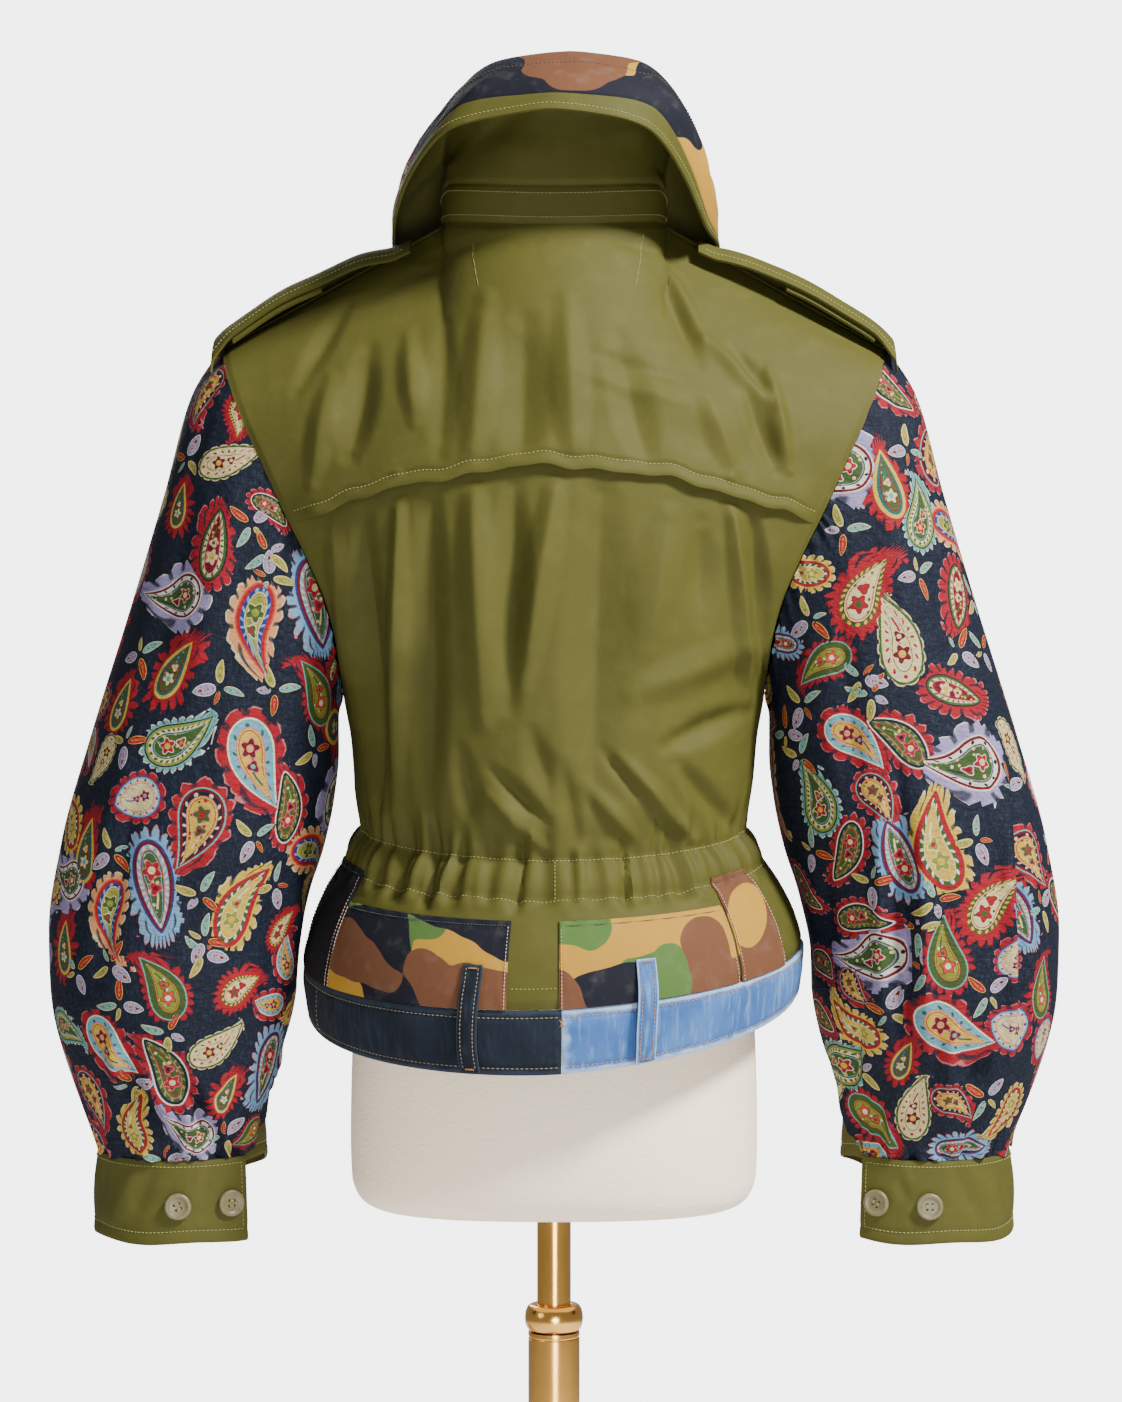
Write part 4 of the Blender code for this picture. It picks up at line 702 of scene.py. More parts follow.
def finish_sewing(group, finish):
    """Makes one piece of all the stitches of a group."""
    points, faces = SEWN[group]
    mesh = bpy.data.meshes.new(group)
    mesh.from_pydata([tuple(point) for point in points], [], faces)
    mesh.shade_smooth()
    put_piece(group, mesh, finish)


OLIVE_THREAD = thread_finish("olive_thread", (0.30, 0.29, 0.10))
PALE_THREAD = thread_finish("pale_thread", (0.23, 0.18, 0.11))
stretch = np.linspace(-0.97, 0.97, 400)
row = np.full_like(stretch, YOKE_LEVEL + YOKE_SEWN)
path, normal = torso_surface(+1, stretch, row, yoke_lift(stretch, row) + ON_CLOTH)
path[:, 2] += yoke_sway(stretch, row)
sew("olive_stitches", path, normal)
for level in (CHANNEL_LOW, CHANNEL_HIGH):
    for side in (+1, -1):
        sew("olive_stitches", *torso_surface(side, stretch, level, ON_CLOTH))
upright = np.linspace(CHANNEL_LOW, CHANNEL_HIGH, 40)
sew("olive_stitches", *torso_surface(+1, -0.004, upright, ON_CLOTH))
upright = np.linspace(*LONG_LEVELS, 60)
for across in LONG_ROWS:
    line = torso_surface(+1, across * (1 + 0.2 * (upright - upright[0])), upright, ON_CLOTH)
    sew("olive_stitches", *line, pitch=9 * MM, length=8 * MM, thread=0.2 * MM)
strip = np.linspace(*STRIP_ROW, 40)
sew("olive_stitches", *torso_surface(+1, strip, STRIP_LEVEL, ON_CLOTH), length=1.8 * MM)


# ---------------------------------------------------------------- the printed patches below the cord
# Pieces of camouflage-printed cotton, and one of black cotton, are sewn on the back between the waistband and
# the cord, either side of a strip of the olive back. Their edges are turned under.

PATCH = 1.0 * MM
PATCH_RISE = 0.9 * MM
CAMO_YELLOW = (0.370, 0.196, 0.021)
CAMO_GREEN = (0.062, 0.121, 0.028)
CAMO_NAVY = (0.0055, 0.0070, 0.0133)
CAMO_BROWN = (0.117, 0.047, 0.022)
CAMO_SHADE = (0.05, 0.04, 0.03)
CAMO_WORN = (0.5, 0.45, 0.38)
BLACK_COLOURS = ((0.004, 0.005, 0.007), (0.012, 0.013, 0.016))

CAMO_LAYERS = (                     # the field of its blotches, its colour, and how far its outline wobbles
    ("green_blotch", CAMO_GREEN, 1.0),
    ("navy_blotch", CAMO_NAVY, 1.0),
    ("brown_blotch", CAMO_BROWN, 1.0),
    ("yellow_blotch", CAMO_YELLOW, 0.4),
)

# Blotches of the print, in millimetres on the piece: the number of its layer, then a rounded bar as x and y
# from, x and y to, and the radius at each end. Later layers lie over earlier ones.
PATCH_BLOTCHES = (
    (0, 170, 838, 90, 822, 26, 16), (0, 118, 826, 108, 802, 16, 10), (1, 172, 812, 118, 816, 11, 15),
    (1, 118, 812, 112, 770, 15, 22), (1, 92, 834, 40, 818, 13, 13), (1, 56, 824, 32, 806, 13, 13),
    (1, 150, 806, 120, 776, 9, 14), (2, 152, 800, 140, 792, 19, 16), (2, 138, 790, 116, 778, 13, 8),
    (2, 92, 790, 76, 764, 13, 18), (2, 60, 776, 40, 772, 16, 15), (0, -4, 826, -24, 818, 20, 17),
    (0, -62, 836, -96, 846, 12, 11), (0, -40, 770, -60, 762, 18, 22), (0, -66, 780, -78, 792, 20, 12),
    (0, -84, 768, -92, 772, 20, 22), (1, -22, 772, -56, 776, 12, 16), (1, -20, 758, -46, 752, 12, 16),
    (2, -2, 778, -12, 752, 12, 16), (2, -106, 808, -112, 780, 15, 15), (2, -134, 770, -110, 764, 22, 16),
    (2, -150, 846, -160, 800, 36, 26), (2, -134, 850, -160, 870, 26, 20),
)
SIDE_OVAL = (-138, 822, 15, 22)     # a yellow oval on the side patch: its middle and its half sizes


def note(mesh, name, values):
    """Gives a mesh's vertices the values of a named attribute."""
    mesh.attributes.new(name, "FLOAT", "POINT").data.foreach_set("value", values)


def blotch_fields(mesh, rows, at):
    """Notes a field over the cloth for each of the first three layers: above 0 inside its blotches."""
    fields = np.full((3, len(at)), -30.0)
    for layer, x_from, y_from, x_to, y_to, radius_from, radius_to in rows:
        along, away = beside_line(at, np.array([x_from, y_from]), np.array([x_to, y_to]))
        inside = radius_from + (radius_to - radius_from) * along - away
        joined = np.maximum(fields[layer], inside)
        near = np.exp(-np.abs(fields[layer] - inside) / 3.0)
        fields[layer] = np.where(joined > -25, joined + 1.6 * near, joined)
    for (name, _, _), field in zip(CAMO_LAYERS, fields):
        note(mesh, name, field)


def camouflage_finish():
    finish = Finish("camouflage_cotton", 0.75, gloss=0.10)
    wobble = (finish.noise(34.0, 1.0) - 0.5) * 9.0
    layers = [(finish.step(finish.attribute(name) + wobble * share, -0.25, 0.25), colour)
              for name, colour, share in CAMO_LAYERS]
    ribs = woven(finish, -0.6)
    worn = finish.step(finish.noise(90.0, 3.0), 0.5, 0.85) * 0.05
    layers += [(ribs * 0.14, CAMO_SHADE), (worn, CAMO_WORN)]
    finish.colour(finish.layered(CAMO_YELLOW, layers))
    finish.bump(finish.noise(45.0, 2.0) + ribs * 0.02, 0.0009)
    return finish


CAMOUFLAGE = camouflage_finish()
BLACK = Finish("black_cotton", 0.75, gloss=0.12)
BLACK.colour(BLACK.mix(BLACK.noise(40.0), *BLACK_COLOURS))
BLACK.bump(BLACK.noise(60.0, 3.0) + woven(BLACK, 0.6) * 0.04, 0.0014)
PINK_THREAD = thread_finish("pink_thread", (0.62, 0.42, 0.34))

PATCH_ACROSS = 0.24                 # metres in a unit across, and in a level, where the patches lie
PATCH_UP = 0.75
PATCH_GAP = 0.002                   # across, from a patch's side to the solid's
PATCH_SEWN_TOP = 0.006              # levels from its top down to its stitches
PATCH_SEWN_SIDE = 0.008             # and across, from its sides to theirs
PATCHES = (                         # name, finish, across from and to, and the level of its top
    ("camouflage_patch_left", CAMOUFLAGE, 0.112, 0.690, 0.172),
    ("black_patch_left", BLACK, 0.690, 1.000, 0.205),
    ("camouflage_patch_right", CAMOUFLAGE, -0.510, -0.012, 0.172),
    ("camouflage_patch_side", CAMOUFLAGE, -0.720, -0.515, 0.205),
)
for name, finish, first, last, top in PATCHES:
    across = closer_at_ends(first + PATCH_GAP, last - PATCH_GAP, 101)
    levels = closer_at_ends(PANEL_FOOT, top, 61)
    a, t = np.meshgrid(across, levels)
    near_rim = np.minimum(np.minimum(a - across[0], across[-1] - a) * 0.26, (levels[-1] - t) * 0.52)
    pucker = 0.5 * MM * np.sin(95 * a + 3 * np.sin(31 * t)) * bell(near_rim / (8 * MM))
    proud = PATCH + PATCH_RISE - 0.7 * MM * bell(near_rim / (1.6 * MM)) + pucker * (near_rim > 0)
    outer, normal = torso_surface(+1, a, t, proud)
    patch = cloth_body(name + "_cloth", outer, -normal, PATCH, finish, node=name)
    if finish is CAMOUFLAGE:
        places = np.array([vertex.co for vertex in patch.data.vertices])[:, [0, 2]] / MM
        blotch_fields(patch.data, PATCH_BLOTCHES, places)
        middle, half = np.array(SIDE_OVAL[:2]), np.array(SIDE_OVAL[2:])
        note(patch.data, "yellow_blotch", (1 - np.hypot(*((places - middle) / half).T)) * half[0])
    flat = ((last - first) * PATCH_ACROSS, (top - BAND_LEVEL) * PATCH_UP)
    proud = PATCH + PATCH_RISE + ON_CLOTH
    line = np.linspace(first + 0.012, last - 0.012, 160)
    sew("dark_stitches", *torso_surface(+1, line, top - PATCH_SEWN_TOP, proud), pitch=2.4 * MM)
    upright = np.linspace(BAND_LEVEL, top - PATCH_SEWN_TOP, 80)
    for across in (first + PATCH_SEWN_SIDE, last - PATCH_SEWN_SIDE):
        sew("pink_stitches", *torso_surface(+1, across, upright, proud), pitch=2.6 * MM)
finish_sewing("pink_stitches", PINK_THREAD)
finish_sewing("dark_stitches", thread_finish("dark_thread", (0.05, 0.06, 0.05)))


# ---------------------------------------------------------------- the denim waistband and its belt loops
# Two cut-off jeans waistbands, one dark and one washed light, meet in the middle of the back and of the
# front. Each is doubled denim, stitched along both edges, with worn high spots and one belt loop at the back.

DENIM = 3.0 * MM
DENIM_TWILL = 1 / (1.3 * MM)
BAND_PROUD = 1.3 * MM
WAISTBAND_JOIN = -0.020
BAND_GAP = 0.001                    # across, from each half's end to the join
BAND_ROWS = (0.11, 0.89)            # where its rows of stitches run, as shares of its height
BAND_SLACK = 0.8                    # millimetres, as is the next
BAND_SEAM_DIP = 0.7
BAND_THREAD = 0.36 * MM
BAND_PITCH = 3.4 * MM


def denim_finish(name, dark, mid, pale, wear, faded):
    finish = Finish(name, 0.85, sheen=0.04, gloss=0.2)
    twill = woven(finish, 1.6, DENIM_TWILL)
    cloudy = finish.noise(24.0, 4.0, distortion=0.6)
    streaks = finish.noise(1.0, 3.0, at=finish.place((260.0, 260.0, 36.0)))
    rub = finish.attribute("rub") + (finish.noise(110.0, 3.0) - 0.5) * 0.9
    layers = ((finish.step(cloudy, 0.35, 0.7), mid), (finish.step(streaks, 0.48, 0.78) * faded, pale),
              (twill * 0.30, dark), (finish.step(rub, 0.35, 0.95) * wear, pale))
    finish.colour(finish.layered(dark, layers))
    puckers = finish.noise(1.0, 2.0, at=finish.place((90.0, 90.0, 45.0)), distortion=0.5)
    finish.bump(twill * 0.10 + puckers * 0.8 + finish.noise(160.0, 2.0) * 0.25, 0.0016)
    return finish


DARK_BLUES = ((0.0040, 0.0062, 0.0110), (0.0085, 0.0135, 0.0240), (0.032, 0.048, 0.072))
LIGHT_BLUES = ((0.034, 0.103, 0.284), (0.065, 0.168, 0.396), (0.310, 0.447, 0.636))
DARK_DENIM = denim_finish("dark_denim", *DARK_BLUES, wear=0.45, faded=0.28)
LIGHT_DENIM = denim_finish("light_denim", *LIGHT_BLUES, wear=0.85, faded=0.42)
GOLD_THREAD = thread_finish("gold_thread", (0.42, 0.20, 0.055))


def rubbed(obj, closeness):
    """Notes how worn each point of the outer side is: 1 on a fold or an edge, 0 well away from one."""
    values = np.zeros(len(obj.data.vertices))
    values[:closeness.size] = closeness.ravel()
    note(obj.data, "rub", values)


def band_surface(side, across, level, proud=0.0):
    """Point of the waistband's outer side: slack between its stitched edges, with a few long puckers."""
    across, level = matched(across, level)
    normal = seamed_normal(side, across, level)
    share = level / BAND_LEVEL
    slack = np.sin(math.pi * np.clip(share, 0, 1)) * (1.3 + 0.8 * np.sin(17 * across + 4 * share)
                                                     + 0.6 * np.sin(41 * across - 3 * share + side))
    seams = sum(bell((share - row) / 0.07) for row in BAND_ROWS)
    rim = smoothstep(0.0, 0.02, 1 - np.abs(across))
    out = BAND_PROUD + proud + (slack * BAND_SLACK - BAND_SEAM_DIP * seams * rim) * MM
    return torso(side, across, level) + normal * out[..., None], normal


WAISTBANDS = (
    ("left", 1.0, DARK_DENIM),
    ("right", -1.0, LIGHT_DENIM),
)
for word, hand, finish in WAISTBANDS:
    share, back_way = np.linspace(0, 1, 41), np.linspace(WAISTBAND_JOIN + BAND_GAP * hand, hand, 141)
    level = BAND_LEVEL * share
    a, t = np.meshgrid(back_way, level)
    back_points, back_normal = band_surface(+1, a, t)
    a, t = np.meshgrid(np.linspace(hand, BAND_GAP * hand, 141)[1:], level)
    front_points, front_normal = band_surface(-1, a, t)
    outer = np.concatenate([back_points, front_points], axis=1)
    normal = np.concatenate([back_normal, front_normal], axis=1)
    roll = bell(share / 0.05) + bell((1 - share) / 0.05)
    outer = outer - normal * (0.8 * MM * roll)[:, None, None]
    band = cloth_body(f"waistband_{word}_denim", outer, -normal, DENIM, finish, node="waistband_" + word)
    ends = np.arange(outer.shape[1])
    end_wear = np.maximum(bell(ends / 6.0), bell((len(ends) - 1 - ends) / 6.0))
    row_wear = np.maximum(bell(share / 0.16), bell((1 - share) / 0.16))
    rubbed(band, np.maximum(row_wear[:, None], end_wear[None, :] * 0.7))
    for row in BAND_ROWS:
        for side, way in ((+1, np.linspace(WAISTBAND_JOIN + 0.006 * hand, hand * 0.995, 500)),
                          (-1, np.linspace(hand * 0.995, 0.01 * hand, 500))):
            sew(f"waistband_{word}_stitches", *band_surface(side, way, BAND_LEVEL * row, ON_CLOTH),
                thread=BAND_THREAD, pitch=BAND_PITCH, length=2.5 * MM)
upright = np.linspace(0.09, 0.92, 50) * BAND_LEVEL
sew("waistband_left_stitches", *band_surface(+1, 0.76, upright, ON_CLOTH), pitch=BAND_PITCH)

LOOP_ROWS = (
    (0.003, 0.0036),
    (0.012, 0.0048),
    (0.030, 0.0068),
    (0.060, 0.0070),
    (0.085, 0.0062),
    (0.106, 0.0044),
    (0.122, 0.0036),
)
LOOP_HALF_WIDTH = 0.0068
LOOP_THICK = 1.4 * MM
LOOP_SEWN = 0.62                    # where its rows of stitches run, from its middle to its edge
LOOP = table(LOOP_ROWS, ("level", "rise"))
LOOPS = (
    ("left", 0.205, DARK_DENIM),
    ("right", -0.228, LIGHT_DENIM),
)


def loop_surface(middle, half, spread, level, proud):
    """Point of a belt loop's outer side, spread from -1 to 1 across it, and its normal."""
    spread, level = matched(spread, level)
    across = middle + half * spread + 0.004 * np.sin(40 * level)
    normal = torso_normal(+1, across, level)
    return torso(+1, across, level) + normal * (read(LOOP, "rise", level) + proud)[..., None], normal


for word, middle, finish in LOOPS:
    half = LOOP_HALF_WIDTH / (math.pi / 2 * TORSO["half_width"][1] * math.cos(math.pi / 2 * middle))
    foot, top = LOOP["level"][[0, -1]]
    s, t = np.meshgrid(np.linspace(-1, 1, 15), np.linspace(foot, top, 49))
    crown = 0.5 * MM * (1 - s**4) - 0.5 * MM * bell((np.abs(s) - LOOP_SEWN) / 0.2)
    outer, normal = loop_surface(middle, half, s, t, crown)
    loop = cloth_body(f"belt_loop_{word}_denim", outer, -normal, LOOP_THICK, finish, node="belt_loop_" + word)
    rubbed(loop, np.maximum(bell((1 - np.abs(s)) / 0.3), bell((top - t) / 0.006) * 0.9))
    for at in (-LOOP_SEWN, LOOP_SEWN):
        line = np.linspace(foot + 0.004, top - 0.003, 60)
        sew(f"waistband_{word}_stitches", *loop_surface(middle, half, at, line, 0.2 * MM), thread=BAND_THREAD)
    for level in (foot + 0.004, top - 0.004):
        tack = loop_surface(middle, half, np.linspace(-0.55, 0.55, 20), level, 0.6 * MM)
        sew("bar_tacks", *tack, thread=0.55 * MM, pitch=1.1 * MM, length=1.0 * MM)
slant = np.linspace(-1, 1, 12)
for way in (-1, 1):                 # a crossed tack where the two waistbands meet
    level = BAND_LEVEL * (0.80 + 0.09 * way * slant)
    tack = band_surface(+1, WAISTBAND_JOIN + 0.010 * slant, level, 0.3 * MM)
    sew("bar_tacks", *tack, thread=0.42 * MM, pitch=1.0, length=6 * MM)
finish_sewing("bar_tacks", thread_finish("orange_thread", (0.42, 0.19, 0.045)))
finish_sewing("waistband_left_stitches", PALE_THREAD)
finish_sewing("waistband_right_stitches", GOLD_THREAD)


# ---------------------------------------------------------------- the buttons
# Moulded buttons with a raised rim and four holes, sewn on with thread. The jacket's own are olive-brown, and
# the waistband has one metal button at the front, where its two halves meet.

BUTTON_RADIUS = 0.0098
BUTTON_THICK = 0.0034
BUTTON_PROFILE = (
    (0.0, 0.0), (0.76, 0.0), (0.90, 0.08), (1.0, 0.38), (0.985, 0.72), (0.92, 0.93), (0.83, 1.0),
    (0.74, 0.94), (0.66, 0.74), (0.56, 0.66), (0.0, 0.64),
)
HOLE_RADIUS = 0.95 * MM
HOLE_APART = 1.9 * MM               # from the button's middle, across and up
BUTTON_SUNK = 0.66                  # height of its sunk middle, as a share of its thickness
BUTTON_SIDES = 48
HOLE_SIDES = 14
TURNED_SHARP = 40                   # degrees from which an edge of a turned piece is sharp
BUTTON_COLOURS = ((0.085, 0.072, 0.028), (0.170, 0.145, 0.062))
BUTTON_OLIVE = Finish("olive_button", 0.38)
BUTTON_OLIVE.colour(BUTTON_OLIVE.mix(BUTTON_OLIVE.noise(220.0, 3.0), *BUTTON_COLOURS))
BUTTON_OLIVE.bump(BUTTON_OLIVE.noise(500.0), 0.0002)


def turned(name, profile, sides):
    """A turned mesh from (radius, height) pairs, from axis to axis or round a closed profile."""
    points, rings, faces = [], [], []
    for radius, height in profile:
        ring = [len(points)] if radius == 0 else list(range(len(points), len(points) + sides))
        turns = [0.0] if radius == 0 else [2 * math.pi * k / sides for k in range(sides)]
        rings.append(ring)
        points += [(radius * math.cos(turn), radius * math.sin(turn), height) for turn in turns]
    pairs = list(zip(rings, rings[1:]))
    if profile[0][0] > 0:
        pairs.append((rings[-1], rings[0]))
    for low, high in pairs:
        for k in range(sides):
            n = (k + 1) % sides
            corners = (low[k % len(low)], low[n % len(low)], high[n % len(high)], high[k % len(high)])
            faces.append(tuple(dict.fromkeys(corners)))
    return smooth_solid(name, points, faces, TURNED_SHARP)


def round_button(name, shape):
    return turned(name, [(r * BUTTON_RADIUS, h * BUTTON_THICK) for r, h in shape], BUTTON_SIDES)


def button_mesh():
    """One button, with its four holes cut through."""
    blank = bpy.data.objects.new("blank", round_button("blank", BUTTON_PROFILE))
    bpy.context.scene.collection.objects.link(blank)
    cutters = []
    for x, y in ((1, 1), (1, -1), (-1, 1), (-1, -1)):
        rod = turned("hole", [(0, -MM), (HOLE_RADIUS, -MM), (HOLE_RADIUS, 6 * MM), (0, 6 * MM)], HOLE_SIDES)
        rod.transform(Matrix.Translation((x * HOLE_APART, y * HOLE_APART, 0)))
        cutters.append(bpy.data.objects.new("hole", rod))
        bpy.context.scene.collection.objects.link(cutters[-1])
        cut = blank.modifiers.new("cut", "BOOLEAN")
        cut.operation = "DIFFERENCE"
        cut.object = cutters[-1]
    bpy.context.view_layer.update()
    cut_mesh = bpy.data.meshes.new_from_object(blank.evaluated_get(bpy.context.evaluated_depsgraph_get()))
    for obj in cutters + [blank]:
        bpy.data.objects.remove(obj)
    cut_mesh.shade_smooth()
    cut_mesh.set_sharp_from_angle(angle=math.radians(TURNED_SHARP))
    return cut_mesh


BUTTON_MESH = button_mesh()


def foot_of(node, out):
    """Where a button's back lies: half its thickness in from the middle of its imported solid."""
    return np.mean(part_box(node), axis=0) - out * BUTTON_THICK / 2


def stood_on(place, out):
    """Turns a thing's own +Z to point out from a place, and its +Y upwards."""
    out = Vector(out).normalized()
    side = Vector((0.0, 0.0, 1.0)).cross(out).normalized()
    turn = Matrix((side, out.cross(side), out)).transposed().to_4x4()
    return Matrix.Translation(place) @ turn


def put_button(node, out, tilt):
    """Puts an olive button on its node's place, turned by the tilt, and sews it on with two long stitches."""
    mesh = BUTTON_MESH.copy()
    turn = stood_on(foot_of(node, out), out) @ Matrix.Rotation(tilt, 4, "Z")
    mesh.transform(turn)
    put_piece(node + "_moulded", mesh, BUTTON_OLIVE, node=node)
    sunk = BUTTON_THICK * BUTTON_SUNK
    for x in (HOLE_APART, -HOLE_APART):
        path = np.array([turn @ Vector((x, y, sunk)) for y in (-HOLE_APART, HOLE_APART)])
        sew("button_stitches", path, np.array([out, out]), thread=0.45 * MM, pitch=1.0, length=3.7 * MM)


# ---------------------------------------------------------------- the front placket
# A plain button stand down the middle of the front, buttoned up, swelling over the cord's channel.

PLACKET_HALF = 0.085
PLACKET_TOP = 0.955
PLACKET_RISE = CLOTH + 0.5 * MM
PLACKET_SWELL = 3.6 * MM
PLACKET_SEWN = 0.068                # where its rows of stitches run, across
FRONT_BUTTON_LEVELS = (0.295, 0.44, 0.57, 0.70, 0.84)
CHANNEL_MIDDLE = 0.232


def placket_surface(across, level, proud=0.0):
    """Point of the placket's outer side, over the fronts' creases, and its normal."""
    across, level = matched(across, level)
    normal = torso_normal(-1, across, level)
    swell = PLACKET_SWELL * bell((level - CHANNEL_MIDDLE) / 0.085)
    edge = 0.5 * MM * bell((np.abs(across) - PLACKET_SEWN) / 0.006)
    relief = np.clip(torso_relief(-1, across, level), 0, 4 * MM)
    out = PLACKET_RISE + swell + relief + proud - edge
    return torso(-1, across, level) + normal * out[..., None], normal


a, t = np.meshgrid(np.linspace(-PLACKET_HALF, PLACKET_HALF, 45), np.linspace(BAND_LEVEL, PLACKET_TOP, 161))
outer, normal = placket_surface(a, t)
placket = cloth_body("placket_cloth", outer, -normal, CLOTH, OLIVE_COTTON, node="front_placket")
line = np.linspace(BAND_LEVEL + 0.01, PLACKET_TOP - 0.01, 400)
for at in (-PLACKET_SEWN, PLACKET_SEWN):
    sew("olive_stitches", *placket_surface(at, line, ON_CLOTH))
for number, level in enumerate(FRONT_BUTTON_LEVELS, 1):
    put_button(f"front_button_{number}", torso_normal(-1, 0.0, level), tilt=0.3 * number)

STUD_PROFILE = (
    (0.0, 0.0), (0.80, 0.0), (0.97, 0.30), (1.0, 0.50), (0.95, 0.72), (0.80, 0.86), (0.55, 0.93),
    (0.50, 0.80), (0.30, 0.84), (0.0, 1.0),
)


def brass_finish():
    finish = Finish("brass", 0.17, metallic=1.0)
    smear = finish.noise(14.0, 3.0)
    finish.colour(finish.mix(smear, (0.74, 0.36, 0.070), (0.85, 0.48, 0.125)))
    turning = finish.noise(1.0, 2.0, at=finish.place((8.0, 8.0, 900.0)))
    finish.feed(finish.shader.inputs["Roughness"], smear * 0.10 + turning * 0.05 + 0.13)
    return finish


BRASS = brass_finish()
out = torso_normal(-1, 0.0, 0.036)
stud_mesh = round_button("stud", STUD_PROFILE)
stud_mesh.transform(stood_on(foot_of("waistband_button", out), out))
put_piece("waistband_stud", stud_mesh, BRASS, node="waistband_button")


# ---------------------------------------------------------------- the sleeves
# Full sleeves of dark printed cotton, wide at the forearm and gathered into the cuffs, which they hang over a
# little. They are made for the wearer's left arm, and mirrored for the right one with creases of its own.

SLEEVE_COLUMNS = ("along", "inner_x", "inner_z", "outer_x", "outer_z", "half_depth", "middle_y",
                  "armhole_share")
SLEEVE_ROWS = (
    (0.00, 0.1555, 0.980, 0.2460, 1.235, 0.073, 0.000, 1.00),
    (0.06, 0.1590, 0.962, 0.2680, 1.200, 0.077, 0.000, 0.62),
    (0.14, 0.1590, 0.936, 0.2880, 1.128, 0.081, 0.000, 0.28),
    (0.25, 0.1625, 0.903, 0.3140, 1.040, 0.085, -0.002, 0.08),
    (0.37, 0.1700, 0.868, 0.3420, 0.950, 0.089, -0.004, 0.00),
    (0.50, 0.1820, 0.830, 0.3640, 0.872, 0.092, -0.006, 0.00),
    (0.62, 0.1905, 0.788, 0.3740, 0.806, 0.092, -0.008, 0.00),
    (0.73, 0.1915, 0.755, 0.3720, 0.750, 0.090, -0.008, 0.00),
    (0.84, 0.1940, 0.730, 0.3600, 0.703, 0.080, -0.006, 0.00),
    (0.93, 0.2010, 0.712, 0.3470, 0.668, 0.064, -0.003, 0.00),
    (1.00, 0.2120, 0.702, 0.3370, 0.645, 0.046, 0.000, 0.00),
)
ARMHOLE_LEVELS = (0.44, 0.50, 0.57, 0.64, 0.70, 0.72, 0.77, 0.84, 0.92, 1.0)
SLEEVE_ROOM = 5.0 * MM              # between the hanging sleeve and the torso, below the underarm
SEAM_GAP = 0.3 * MM

# The cuff rises round the wrist from its buttoned end. Angles run from the inner side towards the back, and
# the far end lies inside the sleeve.
CUFF_ROWS = (
    (40.0, 0.6420, 0.0030),
    (90.0, 0.6400, 0.0026),
    (140.0, 0.6415, 0.0012),
    (180.0, 0.6450, 0.0006),
    (230.0, 0.6560, 0.0006),
    (280.0, 0.6720, 0.0006),
    (330.0, 0.6920, 0.0006),
    (360.0, 0.6990, -0.0032),
    (380.0, 0.6990, -0.0048),
    (410.0, 0.6970, -0.0060),
)
SLEEVE_END_SLIT = 40.0              # the sleeve's end drops back to the buttoned end within this angle
CUFF_CENTRE = (0.2745, 0.0)
CUFF_HALF_WIDTH = 0.0620
CUFF_HALF_DEPTH = 0.0460
SLEEVE = table(SLEEVE_ROWS, SLEEVE_COLUMNS)
CUFF = table(CUFF_ROWS, ("angle", "top", "out"))


def armhole(turn):
    """The left armhole: underarm at 0, up the back to the shoulder tip at a half, then down the front."""
    folded = np.minimum(turn % 1.0, 1 - turn % 1.0)
    level = np.interp(folded, np.linspace(0, 0.5, len(ARMHOLE_LEVELS)), ARMHOLE_LEVELS)
    edges = [torso(side, np.ones_like(level), level) for side in (+1, -1)]
    return np.where((turn % 1.0 <= 0.5)[..., None], edges[0], edges[1])


def sleeve_ring(along, turn):
    """A plain oval section of the left sleeve. turn 0 is its inner side, a quarter is its back."""
    inner_x, inner_z, outer_x, outer_z, half_depth, middle_y = [read(SLEEVE, name, along)
                                                                for name in SLEEVE_COLUMNS[1:7]]
    inner, outer = stacked(inner_x, middle_y, inner_z), stacked(outer_x, middle_y, outer_z)
    angle = 2 * math.pi * turn
    sideways = stacked(0 * turn, half_depth * np.sin(angle), 0 * turn)
    return (inner + outer) / 2 - (outer - inner) / 2 * np.cos(angle)[..., None] + sideways


def cuff_rim(angle, out):
    """Point on the oval of the wearer's left wrist, or out from it. Its height is left at 0."""
    turn = np.radians(angle)
    return stacked(CUFF_CENTRE[0] - (CUFF_HALF_WIDTH + out) * np.cos(turn),
                   CUFF_CENTRE[1] + (CUFF_HALF_DEPTH + out) * np.sin(turn), 0 * turn)


def sleeve_end_height(angle):
    """Height of the sleeve's gathered edge, along the cuff's rising top, with the drop at the open end."""
    top = read(CUFF, "top", np.maximum(angle, CUFF["angle"][0]))
    drop = CUFF["top"][0] + (CUFF["top"][-3] - CUFF["top"][0]) * smoothstep(SLEEVE_END_SLIT, 0.0, angle)
    return np.where(angle < SLEEVE_END_SLIT, drop, top)


def clear_of_body(point):
    """Moves points of the sleeve out from the torso's side, so that the hanging sleeve stays clear of it."""
    heights = TORSO["edge_height"]
    width = np.interp(point[..., 2], heights, TORSO["half_width"])
    depth = np.where(point[..., 1] > 0, np.interp(point[..., 2], heights, TORSO["back_depth"]),
                     -np.interp(point[..., 2], heights, TORSO["front_depth"]))
    underarm = float(np.interp(UNDERARM_LEVEL, TORSO["level"], heights))
    room = SLEEVE_ROOM * smoothstep(underarm, underarm - 0.05, point[..., 2]) + SEAM_GAP
    least = (width + room) * np.sqrt(np.clip(1 - (point[..., 1] / depth)**2, 0, 1))
    out = point.copy()
    out[..., 0] = np.where(point[..., 2] < underarm - 0.001, np.maximum(point[..., 0], least), point[..., 0])
    return out


